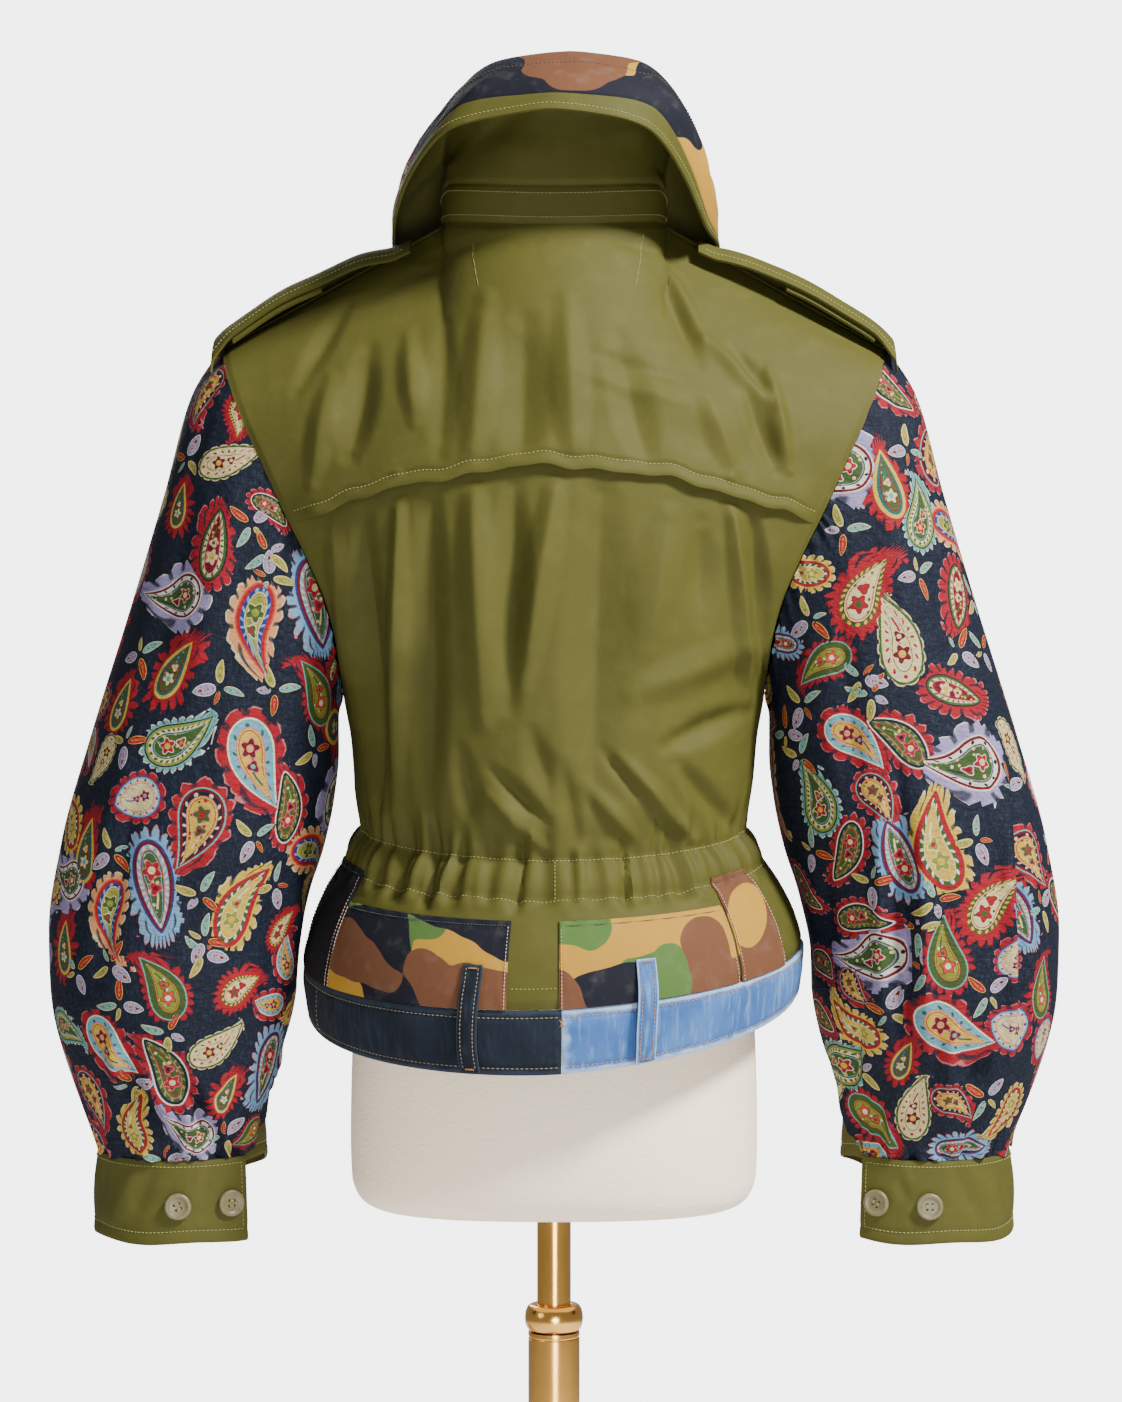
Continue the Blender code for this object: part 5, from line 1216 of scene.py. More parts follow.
def sleeve(along, turn):
    """Point of the left sleeve's plain outer surface, from the armhole at 0 to the cuff at 1."""
    along, turn = matched(along, turn)
    change = armhole(turn) - sleeve_ring(0 * turn, turn)
    point = sleeve_ring(along, turn) + change * read(SLEEVE, "armhole_share", along)[..., None]
    angle = 360 * (turn % 1.0)
    end = cuff_rim(angle, 0.0)
    end[..., 2] = sleeve_end_height(angle) + SEAM_GAP
    share = smoothstep(0.70, 1.0, along)[..., None]
    return clear_of_body(point * (1 - share) + end * share)


# Creases of each sleeve's back, and of both sleeves' fronts, as the torso's are given.
SLEEVE_CREASES = {
    "left": (
        (306, 700, 290, 672, 9, -10.2), (296, 712, 276, 668, 9, 7.2), (268, 705, 250, 664, 9, -7.2),
        (252, 690, 244, 668, 7, 7.0), (318, 735, 312, 690, 9, 7.0), (178, 842, 176, 770, 8, -7.2),
        (190, 850, 192, 760, 9, 6.1), (204, 800, 214, 700, 10, -5.2), (226, 1140, 262, 960, 17, 4.5),
        (262, 1120, 300, 930, 15, -4.5), (200, 1040, 220, 880, 15, -3.9), (280, 1000, 330, 860, 14, 4.5),
        (232, 960, 250, 800, 17, 4.2), (300, 900, 330, 770, 12, -4.2), (246, 1205, 266, 1130, 8, -2.8),
    ),
    "right": (
        (-246, 925, -252, 705, 10, -10.2), (-262, 905, -268, 720, 9, 7.2), (-232, 900, -238, 730, 9, 6.3),
        (-322, 950, -330, 720, 8, 8.7), (-334, 930, -340, 730, 8, -8.7), (-312, 720, -300, 690, 9, -8.7),
        (-286, 740, -282, 680, 9, 7.0), (-220, 742, -214, 690, 8, -7.0), (-196, 850, -200, 770, 9, -5.2),
        (-232, 1150, -262, 1000, 15, 4.2), (-270, 1100, -302, 960, 14, -4.9),
        (-206, 1030, -216, 900, 14, -3.9), (-290, 1000, -316, 880, 11, 4.9),
        (-244, 1205, -262, 1140, 8, -2.8),
    ),
    "front": (
        (240, 930, 250, 710, 10, -8.7), (258, 910, 266, 720, 9, 6.7), (224, 900, 232, 740, 9, 6.3),
        (316, 940, 326, 720, 9, -7.2), (300, 930, 306, 730, 9, 6.4), (280, 740, 276, 680, 9, -7.2),
        (202, 860, 204, 770, 9, -5.2), (240, 1130, 268, 970, 16, 4.5), (276, 1090, 306, 940, 14, -4.9),
    ),
}
SLEEVE_GATHERS = 46
GATHER_RISE = 5.2 * MM
GATHERED_AT = 0.965                 # how far along the sleeve its gathers stand highest
DROOP = 5.0 * MM                    # the cloth hangs this much over the cuff
SLEEVE_TURNS = 252
SLEEVE_STEPS = 137


def cuff_gathers(seed, along, turn):
    """How far the gathers into the cuff move the cloth, each with its own width, height, lean and reach."""
    pick = np.random.default_rng(seed)
    relief = np.zeros(turn.shape)
    for k in range(SLEEVE_GATHERS):
        place = (k + pick.uniform(-0.35, 0.35)) / SLEEVE_GATHERS
        width = pick.uniform(0.008, 0.016)
        height = pick.uniform(0.3, 1.0) * (1 if pick.random() < 0.55 else -1)
        reach = pick.uniform(0.05, 0.24)
        lean = pick.uniform(-0.25, 0.25)
        above = GATHERED_AT - along
        away = (turn - place - lean * above + 0.5) % 1.0 - 0.5
        rising = np.clip(above / reach, -1, 1)
        relief += height * bell(away / (width * (1 + 1.3 * np.abs(rising)))) * bell(np.maximum(rising, 0))
    return GATHER_RISE * relief * (1 - 0.65 * smoothstep(GATHERED_AT, 1.0, along))


def sleeve_cloth(hand, word):
    """A sleeve's outer points, its inward vectors, its plain points and their normals, for the wanted arm."""
    spread = np.linspace(0, 1, SLEEVE_STEPS)
    along, turn = np.meshgrid(spread - 0.11 * np.sin(2 * math.pi * spread) / (2 * math.pi),
                              np.arange(SLEEVE_TURNS) / SLEEVE_TURNS, indexing="ij")
    flip = np.array([hand, 1.0, 1.0])
    plain = sleeve(along, turn)
    normal = surface_normal(sleeve, along, turn, (0, 1), (-1, 2), -1.0)
    relief = (creased(plain * flip, SLEEVE_CREASES[word]) * smoothstep(-0.15, 0.35, normal[..., 1])
              + creased(plain, SLEEVE_CREASES["front"]) * smoothstep(0.15, -0.35, normal[..., 1]))
    relief = relief * smoothstep(0.0, 0.05, along) * smoothstep(1.0, 0.95, along)
    relief = relief + cuff_gathers(31 if hand > 0 else 47, along, turn)
    eased = 0.9 * MM * np.cos(2 * math.pi * 40 * turn + 5 * np.sin(9 * turn))
    head = bell(along / 0.05) * eased - bell(along / 0.02) * MM
    outer = clear_of_body(plain + normal * (relief + head)[..., None])
    sag = bell((along - 0.93) / 0.065) * (0.55 + 0.45 * np.sin(2 * math.pi * (3 * turn + 0.1 * hand)))
    outer[..., 2] -= DROOP * sag * np.clip(0.4 - normal[..., 2], 0, 1)
    outer[-1, :, 2] = sleeve_end_height(360 * turn[-1]) + SEAM_GAP
    inward = -normal
    end_angle = 2 * math.pi * turn[-1]
    inward[-1] = stacked(np.cos(end_angle), -np.sin(end_angle), 0 * end_angle)
    return outer * flip, inward * flip, plain * flip, normal * flip


# The print: paisleys with fringes of petals or spikes, rings, dots and spotted hearts, and sprigs of leaves.
# A look is one design. tip is how thin its tail is, petals go once round it, and its colours run inwards.
PAINTS = {
    "red": (0.234, 0.0070, 0.0125), "crimson": (0.094, 0.0039, 0.0086), "orange": (0.374, 0.047, 0.0172),
    "peach": (0.445, 0.199, 0.086), "pink": (0.351, 0.098, 0.101), "cream": (0.452, 0.374, 0.187),
    "white": (0.476, 0.448, 0.382), "yellow": (0.413, 0.277, 0.036), "lime": (0.156, 0.179, 0.023),
    "leaf": (0.031, 0.062, 0.0125), "aqua": (0.086, 0.257, 0.234), "teal": (0.0117, 0.074, 0.070),
    "sky": (0.117, 0.226, 0.335), "royal": (0.0109, 0.023, 0.125), "navy": (0.0047, 0.0070, 0.0172),
    "lilac": (0.215, 0.179, 0.312),
}
GROUND = ((0.0045, 0.0065, 0.0135), (0.017, 0.024, 0.042))
YARN_SHADE = (0.012, 0.010, 0.014)
LOOK_COLUMNS = ("name", "bend", "width", "tip", "petals", "fringe", "spike",
                "petal", "rim", "edge", "band", "ring", "dot", "heart", "spot", "fleck")
LOOK_ROWS = (
    ("lilac", 0.80, 0.85, 0.8, 11, 0.40, 0.0, "lilac white white crimson white navy leaf red cream"),
    ("ember", 0.60, 0.52, 1.0, 17, 0.20, 0.1, "peach cream orange red royal sky lime leaf lime"),
    ("flame", 0.10, 0.60, 0.9, 19, 0.50, 1.0, "red crimson yellow yellow teal teal leaf cream aqua"),
    ("frost", 0.40, 0.72, 0.9, 25, 0.17, 0.7, "aqua white navy lime cream leaf leaf red yellow"),
    ("scallop", 0.30, 0.66, 0.9, 12, 0.26, 0.0, "red pink white aqua sky teal yellow crimson peach"),
    ("round", 0.05, 0.95, 0.4, 13, 0.26, 0.4, "red pink royal sky cream royal cream crimson lilac"),
    ("hook", 0.35, 0.75, 1.0, 15, 0.24, 0.5, "red pink aqua crimson navy cream yellow leaf red"),
    ("feather", 0.05, 0.52, 0.6, 23, 0.32, 0.6, "sky pink royal crimson sky cream leaf red cream"),
    ("gold", 0.45, 0.55, 0.5, 18, 0.24, 0.4, "yellow cream red red leaf white yellow lime yellow"),
    ("garnet", 0.35, 0.68, 0.9, 23, 0.23, 0.5, "red crimson aqua leaf leaf leaf lime orange white"),
    ("moon", 0.30, 0.50, 0.3, 17, 0.26, 0.4, "red pink white navy leaf lime leaf red cream"),
    ("seed", 0.20, 0.60, 0.9, 16, 0.07, 0.3, "leaf cream leaf cream cream red cream crimson yellow"),
    ("posy", 0.30, 0.70, 0.8, 25, 0.27, 0.8, "red crimson red red leaf yellow cream red leaf"),
    ("lens", 0.05, 0.50, 0.5, 19, 0.34, 0.1, "red pink navy leaf cream leaf crimson cream yellow"),
    ("yellow leaf", 0.15, 0.42, 0.4, 8, 0.0, 0.0, "cream cream cream yellow lime lime lime leaf lime"),
    ("aqua leaf", 0.15, 0.40, 0.4, 8, 0.0, 0.0, "cream cream cream aqua aqua teal teal aqua teal"),
    ("red leaf", 0.10, 0.40, 0.4, 8, 0.0, 0.0, "yellow yellow yellow red red red red orange red"),
    ("lilac bud", 0.00, 0.62, 0.4, 6, 0.0, 0.0, "white white white lilac lilac crimson crimson lilac red"),
)
LOOKS = [(*row[:-1], *row[-1].split()) for row in LOOK_ROWS]
LOOK_NAMES = [row[0] for row in LOOKS]
LEAVES = ("yellow leaf", "aqua leaf", "red leaf", "lilac bud")
PAISLEYS = len(LOOKS) - len(LEAVES)
BEND_FROM = -0.2                    # where its tail starts to bend, from -1 at the head to 1 at the tip
THINNEST = 0.02
LEAST_AWAY = 0.05                   # these two keep the distance in bounds at its middle and at its tip
LEAST_SLOPE = 0.4

# Where the motifs lie on the backs of the sleeves: look, x and y in pixels of the photograph, half length in
# millimetres, the way the tip points in degrees clockwise from up, and the hand of its bend.
MOTIFS = {
    "left": (
        ("lilac", 176, 601, 25, 235, 1), ("ember", 252, 628, 34, 198, -1), ("flame", 174, 670, 24, 30, 1),
        ("frost", 180, 742, 27, 80, -1), ("scallop", 252, 766, 34, 172, -1), ("moon", 292, 807, 26, 8, -1),
        ("garnet", 320, 690, 26, 345, -1), ("feather", 318, 604, 34, 165, 1),
        ("round", 137, 798, 18, 250, 1), ("hook", 202, 828, 30, 185, 1), ("feather", 156, 888, 34, 168, 1),
        ("gold", 236, 905, 31, 12, 1), ("ember", 103, 914, 28, 198, -1), ("flame", 120, 704, 20, 10, 1),
        ("seed", 102, 762, 20, 200, 1), ("lilac", 66, 886, 22, 250, 1), ("flame", 86, 851, 24, 0, 1),
        ("garnet", 165, 987, 25, 345, -1), ("posy", 241, 986, 20, 50, 1),
        ("scallop", 108, 1045, 26, 155, -1), ("frost", 66, 1024, 20, 90, 1),
        ("moon", 170, 1072, 28, 348, -1), ("seed", 219, 1050, 23, 62, -1),
        ("feather", 267, 1068, 27, 192, 1), ("flame", 225, 1093, 15, 20, 1), ("hook", 94, 1100, 22, 150, 1),
        ("lilac", 191, 1136, 18, 265, 1), ("gold", 133, 1128, 20, 345, 1), ("garnet", 250, 1133, 13, 200, 1),
        ("posy", 280, 927, 16, 10, 1), ("scallop", 284, 958, 17, 330, 1), ("flame", 64, 948, 20, 0, 1),
        ("lens", 216, 546, 27, 4, 1), ("seed", 230, 462, 25, 82, -1), ("posy", 240, 414, 17, 160, 1),
        ("moon", 270, 508, 16, 118, 1), ("hook", 203, 394, 22, 200, -1), ("garnet", 214, 361, 12, 20, 1),
        ("flame", 180, 504, 17, 0, 1), ("gold", 305, 890, 14, 0, 1),
    ),
    "right": (
        ("moon", 889, 387, 25, 150, -1), ("flame", 888, 484, 26, 345, 1), ("lilac", 834, 474, 28, 215, 1),
        ("frost", 922, 517, 25, 25, -1), ("gold", 802, 573, 20, 270, 1), ("posy", 860, 590, 30, 15, 1),
        ("lens", 960, 596, 25, 190, 1), ("seed", 897, 638, 33, 352, -1), ("garnet", 823, 661, 22, 252, -1),
        ("feather", 780, 642, 17, 280, 1), ("lens", 957, 695, 25, 108, -1),
        ("scallop", 857, 740, 26, 115, 1), ("moon", 903, 738, 26, 322, -1), ("lilac", 971, 770, 30, 235, 1),
        ("frost", 821, 798, 26, 2, -1), ("hook", 880, 797, 20, 132, 1), ("gold", 933, 845, 34, 330, 1),
        ("moon", 850, 853, 24, 192, 1), ("feather", 900, 858, 28, 338, 1), ("posy", 991, 903, 28, 28, 1),
        ("hook", 1032, 861, 23, 165, -1), ("round", 1038, 789, 18, 160, 1), ("moon", 1012, 700, 22, 165, 1),
        ("feather", 1024, 912, 25, 155, 1), ("moon", 805, 888, 20, 160, -1), ("moon", 861, 914, 23, 78, 1),
        ("lilac", 872, 964, 26, 228, 1), ("gold", 853, 1031, 24, 285, 1), ("garnet", 944, 954, 26, 335, 1),
        ("scallop", 952, 1036, 31, 128, -1), ("round", 1011, 1030, 19, 285, 1),
        ("seed", 913, 1108, 25, 5, 1), ("garnet", 874, 1118, 25, 118, 1), ("hook", 956, 1102, 18, 110, 1),
        ("gold", 1009, 1111, 20, 188, 1), ("feather", 960, 1148, 19, 82, 1),
        ("garnet", 1041, 992, 22, 340, 1), ("flame", 901, 1061, 15, 20, 1), ("moon", 820, 962, 18, 100, 1),
        ("round", 1012, 960, 14, 0, 1),
    ),
}
SPRIGS = {
    "left": (
        (219, 690), (277, 690), (139, 656), (112, 850), (254, 836), (198, 897), (204, 940), (128, 744),
        (276, 884), (315, 750), (76, 971), (110, 966), (202, 955), (168, 1035), (121, 1005), (131, 1083),
        (223, 1134), (269, 553), (252, 523), (188, 458), (268, 578),
    ),
    "right": (
        (910, 450), (842, 530), (917, 575), (810, 618), (802, 703), (800, 757), (813, 852), (874, 881),
        (976, 838), (936, 899), (984, 652), (961, 650), (862, 677), (872, 696), (786, 731), (1011, 786),
        (1042, 908), (859, 1070), (988, 992), (889, 1010), (926, 971), (918, 930),
    ),
}
SPRIG_LEAF = 8.5 * MM
SPRIG_SHAPE = ((0, 1.0), (105, 0.9), (195, 0.6), (260, 1.0))    # which way each leaf points, and its size
SPRIG_TURN = 77                     # each charted sprig is turned this much further than the last
DRAWN_SIZES = (31, 28, 25, 22, 19, 16, 13, 11)
DRAWN_TRIES = 160
SMALLEST_PAISLEY = 16               # drawn motifs smaller than this are sprigs
FILM = 36.0                         # millimetres of it that span the photograph's height
PHOTO_HEIGHT = 1402
PHOTO_MIDDLE = (561, 701)
PHOTO_FOCUS = CAMERA_LENS / FILM * PHOTO_HEIGHT    # pixels across a metre that is a metre away


def seen_at(points):
    """Where the camera sees these points, in pixels of the photograph."""
    away = CAMERA_PLACE[1] - points[..., 1]
    return np.stack([PHOTO_MIDDLE[0] - (points[..., 0] - CAMERA_PLACE[0]) * PHOTO_FOCUS / away,
                     PHOTO_MIDDLE[1] - (points[..., 2] - CAMERA_PLACE[2]) * PHOTO_FOCUS / away], axis=-1)


def outline_distance(x, y, bend, width, tip):
    """About how far a place is outside a paisley's outline, in half lengths. y runs from head to tip."""
    late = np.maximum(y - BEND_FROM, 0)
    bent = x - bend * late**2
    left = np.maximum((1 - y) / 2, THINNEST)
    half = width * left**(tip / 2)
    across = bent / half
    rho, oval = np.sqrt(y**2 + across**2), np.sqrt(y**2 + (bent / width)**2)
    slope = y + across**2 * tip / (4 * left) - across / half * 2 * bend * late
    steep = np.sqrt((across / half)**2 + slope**2) / np.maximum(rho, LEAST_AWAY)
    oval_steep = np.sqrt((bent / width**2)**2 + y**2) / np.maximum(oval, LEAST_AWAY)
    near = (rho - 1) / np.maximum(steep, LEAST_SLOPE)
    return np.maximum(near, (oval - 1) / np.maximum(oval_steep, LEAST_SLOPE))


class Motif:
    """One motif on the cloth: its middle, its own axes, its half length and its look."""

    def __init__(self, place, normal, points, bends, size, look):
        up = unit(np.array([0.0, 0.0, 1.0]) - normal * normal[2])
        right = np.cross(up, normal)
        turn = math.radians(points)
        self.y_axis = up * math.cos(turn) + right * math.sin(turn)
        self.x_axis = np.cross(self.y_axis, normal) * bends
        self.place, self.normal, self.size, self.look = place, normal, size, LOOK_NAMES.index(look)

    def local(self, points):
        away = (points - self.place) / self.size
        return away @ self.x_axis, away @ self.y_axis, away @ self.normal

    def distance(self, points):
        """How far points are outside the motif, in metres, and further for the far side of the sleeve."""
        x, y, off = self.local(points)
        outside = outline_distance(x, y, *LOOKS[self.look][1:4])
        return (outside + 3 * np.maximum(np.abs(off) - 0.5, 0)) * self.size


def sprig_leaves(place, normal, turn):
    """Three leaves and a bud, round a middle."""
    leaves = []
    for k, (around, size) in enumerate(SPRIG_SHAPE):
        leaf = Motif(place, normal, turn + around, 1, SPRIG_LEAF * size, LEAVES[(k + int(turn)) % 4])
        leaf.place = place + leaf.y_axis * SPRIG_LEAF * (0.35 + size)
        leaves.append(leaf)
    return leaves


def motifs_over(charted, sprigs, plain, normal, seed):
    """The charted motifs, as the camera sees them, then others drawn by lot wherever there is room."""
    pick = np.random.default_rng(seed)
    points, normals = plain.reshape(-1, 3), normal.reshape(-1, 3)
    seen = seen_at(points) + np.where(normals[:, 1:2] > 0.05, 0.0, 1e6)
    laid = []
    for look, photo_x, photo_y, half_length, tip_points, bends in charted:
        at = np.argmin(np.linalg.norm(seen - (photo_x, photo_y), axis=1))
        laid.append(Motif(points[at], normals[at], tip_points, bends, half_length * MM, look))
    for number, (photo_x, photo_y) in enumerate(sprigs):
        at = np.argmin(np.linalg.norm(seen - (photo_x, photo_y), axis=1))
        laid += sprig_leaves(points[at], normals[at], SPRIG_TURN * number)
    near = np.min([motif.distance(points) for motif in laid] or [np.ones(len(points))], axis=0)
    for size in DRAWN_SIZES:
        big = size >= SMALLEST_PAISLEY
        for _ in range(DRAWN_TRIES):
            at = pick.integers(len(points))
            turn, bends = pick.uniform(0, 360), pick.choice([-1, 1])
            if near[at] < size * MM * (0.80 if big else 1.05):
                continue
            if big:
                look = LOOK_NAMES[pick.integers(PAISLEYS)]
                new = [Motif(points[at], normals[at], turn, bends, size * MM, look)]
            else:
                new = sprig_leaves(points[at], normals[at], turn)
            laid += new
            near = np.minimum(near, np.min([motif.distance(points) for motif in new], axis=0))
    return laid


def listed(items, name, width=1, kind=float):
    """One property of all of a mesh's items, as an array with this many columns."""
    values = np.zeros(len(items) * width, kind)
    items.foreach_get(name, values)
    return values.reshape(-1, width)


def lay_print(obj, motifs):
    """Gives each face the nearest motif, as x and y in the motif's own axes and the number of its look."""
    mesh = obj.data
    middles, corners = listed(mesh.polygons, "center", 3), listed(mesh.vertices, "co", 3)
    vertex_of = listed(mesh.loops, "vertex_index", kind=int)[:, 0]
    chosen = np.argmin([motif.distance(middles) for motif in motifs], axis=0)
    of_corner = np.repeat(chosen, listed(mesh.polygons, "loop_total", kind=int)[:, 0])
    values = np.zeros((len(vertex_of), 3))
    for number, motif in enumerate(motifs):
        here = of_corner == number
        x, y, _ = motif.local(corners[vertex_of[here]])
        values[here] = stacked(x, y, (motif.look + 0.5) / len(LOOKS))
    made = mesh.attributes.new("motif", "FLOAT_VECTOR", "CORNER")
    made.data.foreach_set("vector", np.clip(values, -8, 8).ravel())


# The print's rings, whose edges lie between two depths, and the two flowers in its heart: how far along the
# motif, size, petals, and the colour of the middle.
OUTER_RINGS = (("edge", 0.006, -0.006), ("band", -0.034, -0.044), ("ring", -0.105, -0.115))
INNER_RINGS = (("rim", -0.198, -0.208), ("heart", -0.222, -0.232), ("petal", -0.262, -0.270),
               ("heart", -0.284, -0.292))
FLOWERS = ((-0.34, 0.215, 5.0, "fleck"), (0.05, 0.135, 3.0, "band"))
DOTS_DEEP = 0.158


def paisley_finish():
    finish = Finish("paisley_cotton", 0.72, gloss=0.12)

    def by_look(*names):
        """The colour, or up to three numbers, that the face's look has in these columns."""
        stops = []
        for number, row in enumerate(LOOKS):
            cells = [row[LOOK_COLUMNS.index(name)] for name in names]
            stops.append((number / len(LOOKS), PAINTS[cells[0]] if len(cells) == 1 else cells))
        return finish.value(finish.node("ValToRGB", {"stops": stops}, {"Fac": look}))

    def at_least(least, value):
        return finish.math("MAXIMUM", value, least)

    def rings(rows):
        return [(finish.step(depth, shallow, deep), by_look(name)) for name, shallow, deep in rows]

    motif = finish.attribute("motif", "Vector")
    x, y, look = finish.parts(motif)
    bend, width, tip = finish.parts(by_look("bend", "width", "tip"))
    petals, fringe, spike = finish.parts(by_look("petals", "fringe", "spike"))
    late = at_least(0.0, y - BEND_FROM)
    bent = x - bend * late * late
    left = at_least(THINNEST, (1.0 - y) * 0.5)
    half = width * left**(tip * 0.5)
    across = bent / half
    rho, oval = finish.length(across, y), finish.length(bent / width, y)
    slope = y + across * across * tip / (left * 4.0) - across / half * bend * late * 2.0
    steep = finish.length(across / half, slope) / at_least(LEAST_AWAY, rho)
    oval_steep = finish.length(bent / (width * width), y) / at_least(LEAST_AWAY, oval)
    near = (rho - 1.0) / at_least(LEAST_SLOPE, steep)
    far = (oval - 1.0) / at_least(LEAST_SLOPE, oval_steep)
    leafy = finish.step(look, (PAISLEYS - 0.2) / len(LOOKS), PAISLEYS / len(LOOKS))
    depth = (at_least(near, far) + (finish.noise(900.0) - 0.5) * 0.02) * (1.0 - leafy * 0.35)

    round_it = finish.math("ARCTAN2", across, y)
    round_it = round_it - finish.math("SINE", round_it * 2.0) * 0.17
    petal_place = round_it * petals * (1 / (2 * math.pi))
    from_middle = abs(finish.math("FRACT", petal_place) - 0.5) * 2.0
    scallop = finish.math("SQRT", 1.0 - from_middle * from_middle)
    reach = fringe * (0.35 + 0.65 * (scallop + spike * (1.0 - from_middle - scallop)))
    ragged = 1.0 + (finish.noise(170.0, 1.0) - 0.5) * (0.3 + spike * 1.1)
    inside_petal = reach * ragged - depth
    groove = finish.step(from_middle, 0.60, 0.82) * finish.step(depth / (fringe + 0.001), 0.08, 0.25)
    streaks = finish.noise(1.0, 2.0, at=finish.place((700.0, 700.0, 240.0)))
    ground = finish.mix(finish.step(streaks, 0.45, 0.75) * 0.6, *GROUND)
    layers = [(finish.step(inside_petal, 0.0, 0.012), by_look("rim")),
              (finish.step(inside_petal, 0.030, 0.045), by_look("petal")), (groove * 0.85, ground)]

    along_ring = (finish.math("FRACT", petal_place + 0.5) - 0.5) * 4.4 / petals
    dot = finish.length(along_ring, depth + DOTS_DEEP)
    layers += rings(OUTER_RINGS) + [(finish.step(dot, 0.052, 0.040), by_look("dot"))] + rings(INNER_RINGS)
    in_heart = finish.step(depth, -0.245, -0.255)
    cells = finish.node("TexVoronoi", {"feature": "F1"}, {"Vector": motif, "Scale": 7.0})
    share, _, _ = finish.parts(finish.value(cells, "Color"))
    spotted = finish.step(finish.value(cells, "Distance"), 0.36, 0.30) * finish.step(share, 0.45, 0.46)
    stem = finish.step(abs(bent + finish.math("SINE", y * 9.0) * 0.03), 0.030, 0.018)
    stem = stem * finish.step(y, -0.35, -0.30) * finish.step(y, 0.50, 0.45)
    layers += [(spotted * in_heart, by_look("fleck")), (stem * in_heart, by_look("dot"))]
    for middle, size, count, inner_name in FLOWERS:
        radius = finish.length(bent, y - middle)
        lobe = 0.80 + finish.math("SINE", finish.math("ARCTAN2", bent, y - middle) * count) * 0.20
        inside = lobe * size - radius
        layers += [(finish.step(inside, -0.030, -0.020) * in_heart, by_look("rim")),
                   (finish.step(inside, -0.004, 0.006) * in_heart, by_look("spot")),
                   (finish.step(radius, size * 0.42, size * 0.36) * in_heart, by_look(inner_name))]

    printed = finish.step(inside_petal, -0.01, 0.02)
    thread = finish.noise(1300.0, 2.0)
    layers.append((finish.step(thread, 0.35, 0.75) * (0.12 + 0.22 * printed), YARN_SHADE))
    finish.colour(finish.layered(ground, layers))
    puckers = finish.noise(1.0, 2.0, at=finish.place((150.0, 150.0, 330.0)), distortion=0.6)
    finish.bump(puckers * 0.8 + printed * 0.10 + thread * 0.12 + finish.noise(42.0, 2.0) * 1.1, 0.0018)
    return finish


PAISLEY = paisley_finish()
for word, hand in (("left", 1.0), ("right", -1.0)):
    outer, inward, plain, normal = sleeve_cloth(hand, word)
    cloth = cloth_body(f"sleeve_{word}_cloth", outer, inward, CLOTH, PAISLEY, True, "sleeve_" + word)
    lay_print(cloth, motifs_over(MOTIFS[word], SPRIGS[word], plain, normal, 5 if hand > 0 else 6))


# ---------------------------------------------------------------- the cuffs
# Doubled olive cotton, worn unbuttoned. Each is an open band that rises round the wrist from its buttoned
# end. Rows of stitches run below its top, above its lower edge and beside the buttoned end.

CUFF_HEIGHT = 0.060
CUFF_THICK = 2.0 * MM
CUFF_FLARE = 0.05
CUFF_BUTTON_ANGLES = (54.0, 88.0)
CUFF_HEM = 9.0 * MM                 # its lower stitches are this far above the edge
CUFF_ARC = 0.95                     # millimetres round the cuff for each degree, on average

# Soft creases: from and to in millimetres round the cuff and down from its top, half width, and height.
CUFF_CREASES = (
    (52, 4, 74, 30, 8, -1.3), (70, 6, 92, 44, 9, 1.4), (98, 2, 112, 40, 9, -1.6), (112, 8, 132, 52, 10, 1.7),
    (140, 0, 146, 44, 9, -1.5), (160, 4, 172, 50, 11, 1.6), (196, 2, 190, 46, 10, -1.6),
    (222, 0, 236, 50, 12, 1.5), (268, 4, 262, 54, 10, -1.5), (292, 2, 306, 50, 12, 1.5),
    (330, 4, 326, 52, 10, -1.3), (60, 50, 96, 38, 7, 0.9), (124, 56, 166, 46, 7, -1.0),
    (44, 16, 60, 48, 6, 0.7),
)


def cuff_surface(hand, angle, drop, proud=0.0):
    """Point of a cuff's outer side, this far below its top edge, and its normal."""
    angle, drop = matched(angle, drop)
    chart = stacked(angle * CUFF_ARC * MM, 0 * angle, drop)
    quiet = np.ones_like(angle)
    for middle in CUFF_BUTTON_ANGLES:
        quiet = np.minimum(quiet, 0.35 + 0.65 * smoothstep(9, 16, np.abs(angle - middle)))
    relief = creased(chart, CUFF_CREASES) * quiet
    at_hem, at_foot = drop - CUFF_HEIGHT + CUFF_HEM, CUFF_HEIGHT - drop
    relief -= 0.5 * MM * bell(at_hem / (3.5 * MM)) + 0.6 * MM * bell(drop / (2.5 * MM))
    relief -= 0.6 * MM * bell(at_foot / (2 * MM)) + 0.5 * MM * bell((angle - CUFF["angle"][0]) / 2.5)
    point = cuff_rim(angle, read(CUFF, "out", angle) + CUFF_FLARE * drop + relief + proud)
    wave = 1.1 * MM * np.sin(np.radians(angle) * 5 + hand) * smoothstep(0, CUFF_HEIGHT, drop)
    point[..., 2] = read(CUFF, "top", angle) - drop + wave
    turn = np.radians(angle)
    normal = unit(stacked(-np.cos(turn) * CUFF_HALF_DEPTH, np.sin(turn) * CUFF_HALF_WIDTH, 0 * turn))
    return point * (hand, 1, 1), normal * (hand, 1, 1)


